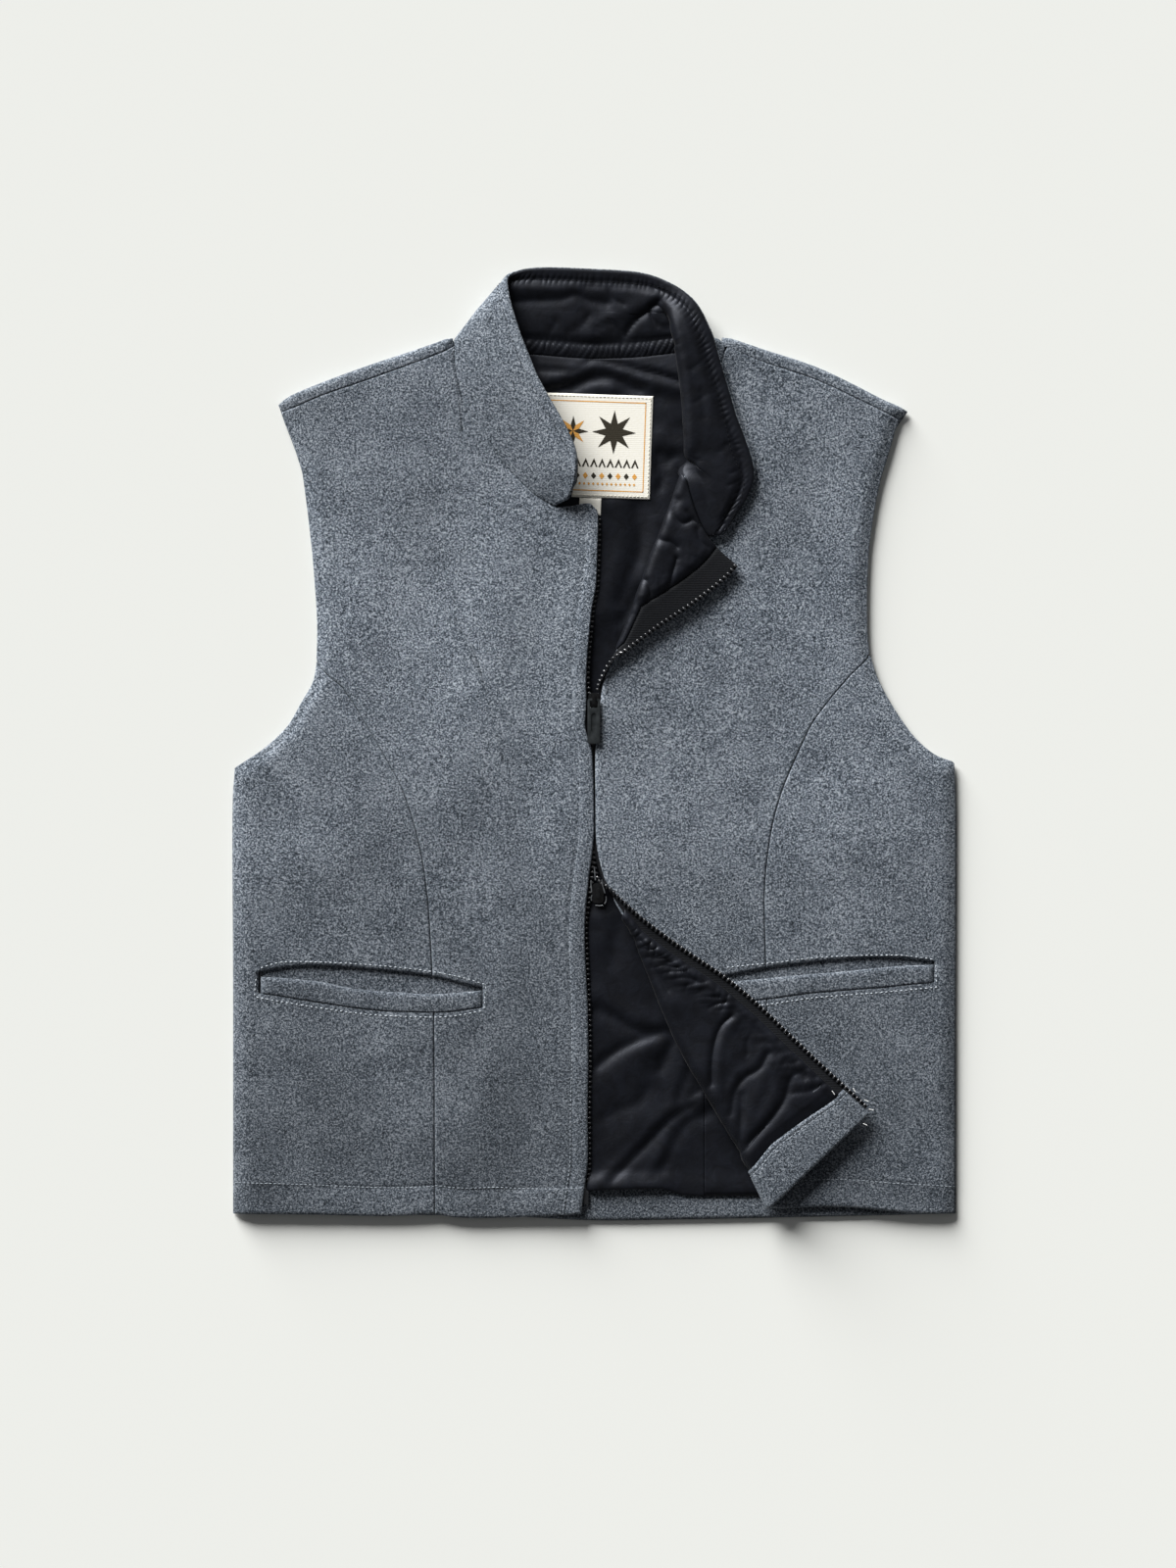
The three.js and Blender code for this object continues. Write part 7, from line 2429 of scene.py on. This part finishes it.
@dataclass(frozen=True)
class HeatheredMelton(Finish):
    """Heathered wool melton: woven, milled and brushed, so short fibres of several greys hide the weave.

    The fibres mix light, middle and dark greys in flecks of 1 to 2 mm. Broader cloudy patches come from
    the milling, and larger patches of lighter and darker tone come and go at random. The colour also
    carries painted shade by height: it is lightest at the chest and darker towards the hem, where the light
    falls off. From 120 mm up it also turns a little darker, over the collar and shoulders.
    """

    dark: str = "#181F25"
    middle: str = "#5F6873"
    light: str = "#B6BDC5"
    bloom: str = "#AEB8C2"
    bend_mm: float = 5.0
    bend_by_mm: float = 2.2
    fleck_mm: float = 1.3
    fleck_share: float = 0.58
    curl_mm: float = 0.75
    cloud_mm: float = 30.0
    cloudiness: float = 0.07
    nap_mm: float = 110.0
    nap_shading: float = 0.5
    # Painted shade by height, lightest at the chest and darker towards the hem where the light falls off: the
    # colour's scale at the hem and at the chest, and the heights in metres between which it changes; then the
    # heights over which the colour darkens a little more above the chest, and by how much.
    lower: float = 0.58
    upper: float = 1.08
    rise: tuple[float, float] = (-0.3, 0.12)
    collar_start: tuple[float, float] = (0.12, 0.24)
    collar_shade: float = -0.2
    fibre_height_mm: float = 0.7

    def surface(self, add: Add, place: Any) -> dict[str, Any]:
        """Build the pattern; see Finish.surface."""
        warp = add("ShaderNodeTexNoise", {"Vector": place, "Scale": per_mm(self.bend_mm), "Detail": 2.0})
        push = add("ShaderNodeVectorMath", {0: warp.outputs["Color"], 1: (-0.5, -0.5, -0.5)}, operation="ADD")
        push = {0: push.outputs[0], "Scale": self.bend_by_mm * MM}
        push = add("ShaderNodeVectorMath", push, operation="SCALE")
        bent = add("ShaderNodeVectorMath", {0: place, 1: push.outputs[0]}, operation="ADD").outputs[0]
        fine = {"Vector": bent, "Scale": per_mm(self.fleck_mm), "Detail": 5.0, "Roughness": 0.68}
        fleck = add("ShaderNodeTexNoise", fine).outputs["Fac"]
        fine = {"Vector": bent, "Scale": per_mm(self.curl_mm), "Detail": 3.0, "Roughness": 0.7}
        curl = add("ShaderNodeTexNoise", fine).outputs["Fac"]
        broad = {"Vector": place, "Scale": per_mm(self.cloud_mm), "Detail": 3.0}
        cloud = add("ShaderNodeTexNoise", broad).outputs["Fac"]
        mixed = add("ShaderNodeMath", {0: fleck, 1: self.fleck_share}, operation="MULTIPLY").outputs[0]
        curls = {0: curl, 1: 1 - self.fleck_share, 2: mixed}
        mixed = add("ShaderNodeMath", curls, operation="MULTIPLY_ADD").outputs[0]
        spread = add("ShaderNodeMath", {0: cloud, 1: -0.5}, operation="ADD").outputs[0]
        clouds = {0: spread, 1: self.cloudiness, 2: mixed}
        mixed = add("ShaderNodeMath", clouds, operation="MULTIPLY_ADD").outputs[0]
        greys = ((0.42, self.dark), (0.5, self.middle), (0.58, self.light))
        colour = add("ShaderNodeValToRGB", {"Fac": mixed}, stops=greys).outputs["Color"]
        broad = {"Vector": place, "Scale": per_mm(self.nap_mm), "Detail": 1.0}
        nap = add("ShaderNodeTexNoise", broad).outputs["Fac"]
        # Painted shade: scale the colour by height, darker towards the hem where the light falls off, and a
        # little darker again from 120 mm up; the broad random patches of tone are added on top.
        up = add("ShaderNodeSeparateXYZ", {0: place}).outputs["Y"]
        body = {"Value": up, **span(self.rise, (self.lower, self.upper))}
        shade = add("ShaderNodeMapRange", body, interpolation_type="SMOOTHSTEP").outputs[0]
        collar = {"Value": up, **span(self.collar_start, (0.0, self.collar_shade))}
        collar = add("ShaderNodeMapRange", collar).outputs[0]
        shade = add("ShaderNodeMath", {0: shade, 1: collar}, operation="ADD").outputs[0]
        naps = {0: nap, 1: self.nap_shading, 2: shade}
        shade = add("ShaderNodeMath", naps, operation="MULTIPLY_ADD").outputs[0]
        shade = add("ShaderNodeMath", {0: shade, 1: self.nap_shading / 2}, operation="SUBTRACT").outputs[0]
        colour = add("ShaderNodeVectorMath", {0: colour, "Scale": shade}, operation="SCALE").outputs[0]
        height = add("ShaderNodeMath", {0: fleck, 1: 1.4, 2: curl}, operation="MULTIPLY_ADD").outputs[0]
        bump = {"Height": height, "Strength": 0.75, "Distance": self.fibre_height_mm * MM}
        bump = add("ShaderNodeBump", bump)
        return {
            "Base Color": colour,
            "Roughness": 0.95,
            "Specular IOR Level": 0.2,
            "Sheen Weight": 0.35,
            "Sheen Roughness": 0.6,
            "Sheen Tint": linear(self.bloom),
            "Normal": bump.outputs["Normal"],
        }


@dataclass(frozen=True)
class LiningSatin(Finish):
    """Acetate satin: woven with long floats and calendered, so it is black with a soft broad gloss."""

    colour: str = "#0B0C10"
    lighter: str = "#12141A"
    gloss: str = "#DEE3F0"
    crease_mm: float = 9.0
    crease_height_mm: float = 1.5
    weave_mm: float = 0.9
    weave_height_mm: float = 0.2
    roughness: tuple[float, float] = (0.42, 0.54)

    def surface(self, add: Add, place: Any) -> dict[str, Any]:
        """Build the pattern; see Finish.surface."""
        soft = {"Vector": place, "Scale": per_mm(self.crease_mm), "Detail": 4.0, "Distortion": 0.6}
        crease = add("ShaderNodeTexNoise", soft).outputs["Fac"]
        fine = {"Vector": place, "Scale": per_mm(self.weave_mm), "Detail": 2.0}
        weave = add("ShaderNodeTexNoise", fine).outputs["Fac"]
        blacks = ((0.35, self.colour), (0.65, self.lighter))
        colour = add("ShaderNodeValToRGB", {"Fac": crease}, stops=blacks).outputs["Color"]
        rough = add("ShaderNodeMapRange", {"Value": weave, **span(None, self.roughness)}).outputs[0]
        bump = {"Height": crease, "Strength": 0.2, "Distance": self.crease_height_mm * MM}
        bump = add("ShaderNodeBump", bump).outputs["Normal"]
        bump = {"Height": weave, "Strength": 0.12, "Distance": self.weave_height_mm * MM, "Normal": bump}
        return {
            "Base Color": colour,
            "Roughness": rough,
            "Specular IOR Level": 0.29,
            "Specular Tint": linear(self.gloss),
            "Sheen Weight": 0.03,
            "Sheen Roughness": 0.4,
            "Normal": add("ShaderNodeBump", bump).outputs["Normal"],
        }


@dataclass(frozen=True)
class WovenFinish(Finish):
    """Flat woven goods such as zip tape, label damask and sewing thread: fine crossing threads, matt.

    Real threads are 0.2 to 0.4 mm thick. They are drawn three or four times as coarse, so that they show.
    """

    colour: str
    lighter: str
    thread_mm: float = 0.9
    slub_mm: float = 1.3
    height_mm: float = 0.25
    roughness: float = 0.85
    depth: float = 0.5

    def surface(self, add: Add, place: Any) -> dict[str, Any]:
        """Build the pattern; see Finish.surface."""
        scale = 2 * math.pi / (self.thread_mm * MM) / WAVES_TO_A_SCALE
        ribs = {"Vector": place, "Scale": scale, "Distortion": 1.2, "Detail": 1.0}
        ribs = add("ShaderNodeTexWave", ribs, bands_direction="Y").outputs["Fac"]
        slubs = {"Vector": place, "Scale": per_mm(self.slub_mm), "Detail": 3.0}
        slubs = add("ShaderNodeTexNoise", slubs).outputs["Fac"]
        blend = add("ShaderNodeMath", {0: ribs, 1: 0.5, 2: slubs}, operation="MULTIPLY_ADD").outputs[0]
        shades = ((0.35, self.colour), (0.95, self.lighter))
        colour = add("ShaderNodeValToRGB", {"Fac": blend}, stops=shades).outputs["Color"]
        bump = {"Height": blend, "Strength": self.depth, "Distance": self.height_mm * MM}
        bump = add("ShaderNodeBump", bump)
        return {
            "Base Color": colour,
            "Roughness": self.roughness,
            "Specular IOR Level": 0.2,
            "Normal": bump.outputs["Normal"],
        }


@dataclass(frozen=True)
class HardFinish(Finish):
    """Moulded plastic, lacquered zinc or plated metal: smooth, with a faint unevenness in its gloss."""

    colour: str
    lighter: str
    metallic: float = 0.0
    roughness: float = 0.3
    coat: float = 0.0
    specular: float = 0.5
    cloud_mm: float = 3.5
    height_mm: float = 0.1

    def surface(self, add: Add, place: Any) -> dict[str, Any]:
        """Build the pattern; see Finish.surface."""
        clouds = {"Vector": place, "Scale": per_mm(self.cloud_mm), "Detail": 4.0}
        cloud = add("ShaderNodeTexNoise", clouds).outputs["Fac"]
        shades = ((0.35, self.colour), (0.7, self.lighter))
        colour = add("ShaderNodeValToRGB", {"Fac": cloud}, stops=shades).outputs["Color"]
        gloss = (self.roughness - 0.06, self.roughness + 0.08)
        rough = add("ShaderNodeMapRange", {"Value": cloud, **span(None, gloss)}).outputs[0]
        bump = add("ShaderNodeBump", {"Height": cloud, "Strength": 0.15, "Distance": self.height_mm * MM})
        return {
            "Base Color": colour,
            "Metallic": self.metallic,
            "Roughness": rough,
            "Specular IOR Level": self.specular,
            "Coat Weight": self.coat,
            "Coat Roughness": 0.2,
            "Normal": bump.outputs["Normal"],
        }


@dataclass
class Studio:
    """The pale floor, the soft light from the upper left and the camera straight above.

    Args:
        centre: Plan point under the camera.
        seen_height: Height of the picture on the floor.
        distance: Height of the camera.
        farthest: Distance in metres beyond which it sees nothing.
        sensor: Height of its sensor.
        floor_reach: Half width of the floor in metres.
        floor_colour: Colour of the floor.
        sun: Strength of the key light.
        sun_width: Angle that it fills, in degrees.
        sun_way: Direction in which it shines.
        world: Strength of the light from all round.
        world_colour: Colour of that light.
    """

    centre: tuple[float, float] = (-4.4, -27.5)
    seen_height: float = 1072.0
    distance: float = 4000.0
    farthest: float = 20.0
    sensor: float = 24.0
    floor_reach: float = 3.0
    floor_colour: str = "#EFF0EB"
    sun: float = 8.05
    sun_width: float = 38.0
    sun_way: tuple[float, float, float] = (0.52, -0.9, -0.385)
    world: float = 0.1
    world_colour: str = "#FBFCFF"

    def floor(self) -> None:
        """Lay the floor."""
        mesh = bpy.data.meshes.new("floor")
        r = self.floor_reach
        mesh.from_pydata([(-r, -r, 0), (r, -r, 0), (r, r, 0), (-r, r, 0)], [], [(0, 1, 2, 3)])
        floor = linked("floor", mesh)
        material = bpy.data.materials.new("painted studio floor")
        material.use_nodes = True
        tree = material.node_tree
        shader = tree.nodes["Principled BSDF"]
        shader.inputs["Base Color"].default_value = linear(self.floor_colour)
        shader.inputs["Roughness"].default_value = 1.0
        shader.inputs["Specular IOR Level"].default_value = 0.0
        mesh.materials.append(material)

    def lights(self) -> None:
        """Set the key light and the light from all round."""
        sun = bpy.data.lights.new("window light", "SUN")
        sun.energy = self.sun
        sun.angle = math.radians(self.sun_width)
        linked("window light", sun).rotation_euler = Vector(self.sun_way).to_track_quat("-Z", "Y").to_euler()
        world = bpy.data.worlds.new("soft box")
        bpy.context.scene.world = world
        world.use_nodes = True
        background = world.node_tree.nodes["Background"]
        background.inputs["Color"].default_value = linear(self.world_colour)
        background.inputs["Strength"].default_value = self.world

    def camera(self) -> None:
        """Set the camera over the vest."""
        data = bpy.data.cameras.new("camera")
        data.sensor_fit = "VERTICAL"
        data.sensor_height = self.sensor
        data.lens = self.sensor * self.distance / self.seen_height
        data.clip_end = self.farthest
        camera = linked("camera", data)
        camera.location = Vector((*self.centre, self.distance)) * MM
        bpy.context.scene.camera = camera

    def build(self) -> None:
        """Make the stage."""
        bpy.context.scene.view_settings.view_transform = "Standard"
        self.camera()
        self.floor()
        self.lights()


WOOL_CLOTH = HeatheredMelton("heathered wool melton", "wool")
SATIN_CLOTH = LiningSatin("calendered acetate satin", "satin")
TAPE_CLOTH = WovenFinish("woven polyester zip tape", "zip_tape", "#06070A", "#15171B", 1.6, roughness=0.75)
DAMASK = WovenFinish("woven label damask", "label", "#F2EEDF", "#FBF8EE", 1.3, roughness=0.7, depth=0.25)
INK = WovenFinish("dark woven ornament", "label", "#2A261D", "#3A352A", 1.3, roughness=0.75, depth=0.3)
GOLD = WovenFinish("golden woven frame", "label", "#D8933A", "#EBB160", 1.3, roughness=0.7, depth=0.3)
GREY_THREAD = WovenFinish("spun polyester thread, grey", "wool", "#7E868E", "#B4BCC4")
LIGHT_THREAD = WovenFinish("spun polyester thread, light grey", "wool", "#AEB6BD", "#D2D8DE")
BLACK_THREAD = WovenFinish("spun polyester thread, black", "satin", "#08090B", "#15161A")
WHITE_THREAD = WovenFinish("spun polyester thread, white", "wool", "#ECECE8", "#FAFAF8")
CREAM_THREAD = WovenFinish("spun polyester thread, cream", "label", "#D8D2BF", "#EFEADB")
ACETAL = HardFinish(
    "moulded acetal", "zip_teeth", "#0E1014", "#1C1F25", roughness=0.4, coat=0.9, specular=1.0
)
LACQUER = HardFinish("lacquered zinc", "slider", "#08090A", "#101113", roughness=0.22, coat=0.6)
# Light grey metal for the raised rims of the lower slider: painted highlight that stands in for the glints
# along them, on top of the real gloss of the rims.
GLINT_ZINC = HardFinish("zinc where the lacquer has worn", "slider", "#6B6E71", "#95989B", metallic=0.7)
GUNMETAL = HardFinish("satin gunmetal plate", "pull", "#2F3335", "#3A3E40", metallic=0.55, roughness=0.42)


def main() -> None:
    """Dress the vest."""
    logging.basicConfig(level=logging.INFO)
    Studio().build()
    wool_thread, label_thread = Stitching(), Stitching(pitch=2.6)
    satin_thread = Stitching(pitch=3.2, width=0.45)
    pocket_thread = Stitching(pitch=3.4, length=1.5, width=0.75)
    loose_ends = Stitching(pitch=1.0, length=1.3, width=0.6)
    Back().build(WOOL_CLOTH, SATIN_CLOTH)
    right_pocket = Pocket("right", POCKET_LIP_R, POCKET_WELT_R, POCKET_BASE_R, BOX_R)
    left_pocket = Pocket("left", POCKET_LIP_L, POCKET_WELT_L, POCKET_BASE_L, BOX_L)
    RightFront().build(WOOL_CLOTH, right_pocket, wool_thread)
    left = LeftFront()
    left.build(WOOL_CLOTH, SATIN_CLOTH, left_pocket, wool_thread, loose_ends)
    right_pocket.build(WOOL_CLOTH, pocket_thread)
    left_pocket.build(WOOL_CLOTH, pocket_thread)
    Zip().build(left, TAPE_CLOTH, ACETAL, (LACQUER, GLINT_ZINC, GUNMETAL))
    Collar().build(left, WOOL_CLOTH, SATIN_CLOTH, satin_thread)
    NeckLabel().build(DAMASK, INK, GOLD, label_thread)
    wool_thread.make("topstitching_wool", GREY_THREAD)
    pocket_thread.make("topstitching_pockets", LIGHT_THREAD)
    satin_thread.make("topstitching_collar", BLACK_THREAD)
    label_thread.make("topstitching_label", CREAM_THREAD)
    loose_ends.make("thread_ends", WHITE_THREAD)


if __name__ == "__main__":
    main()
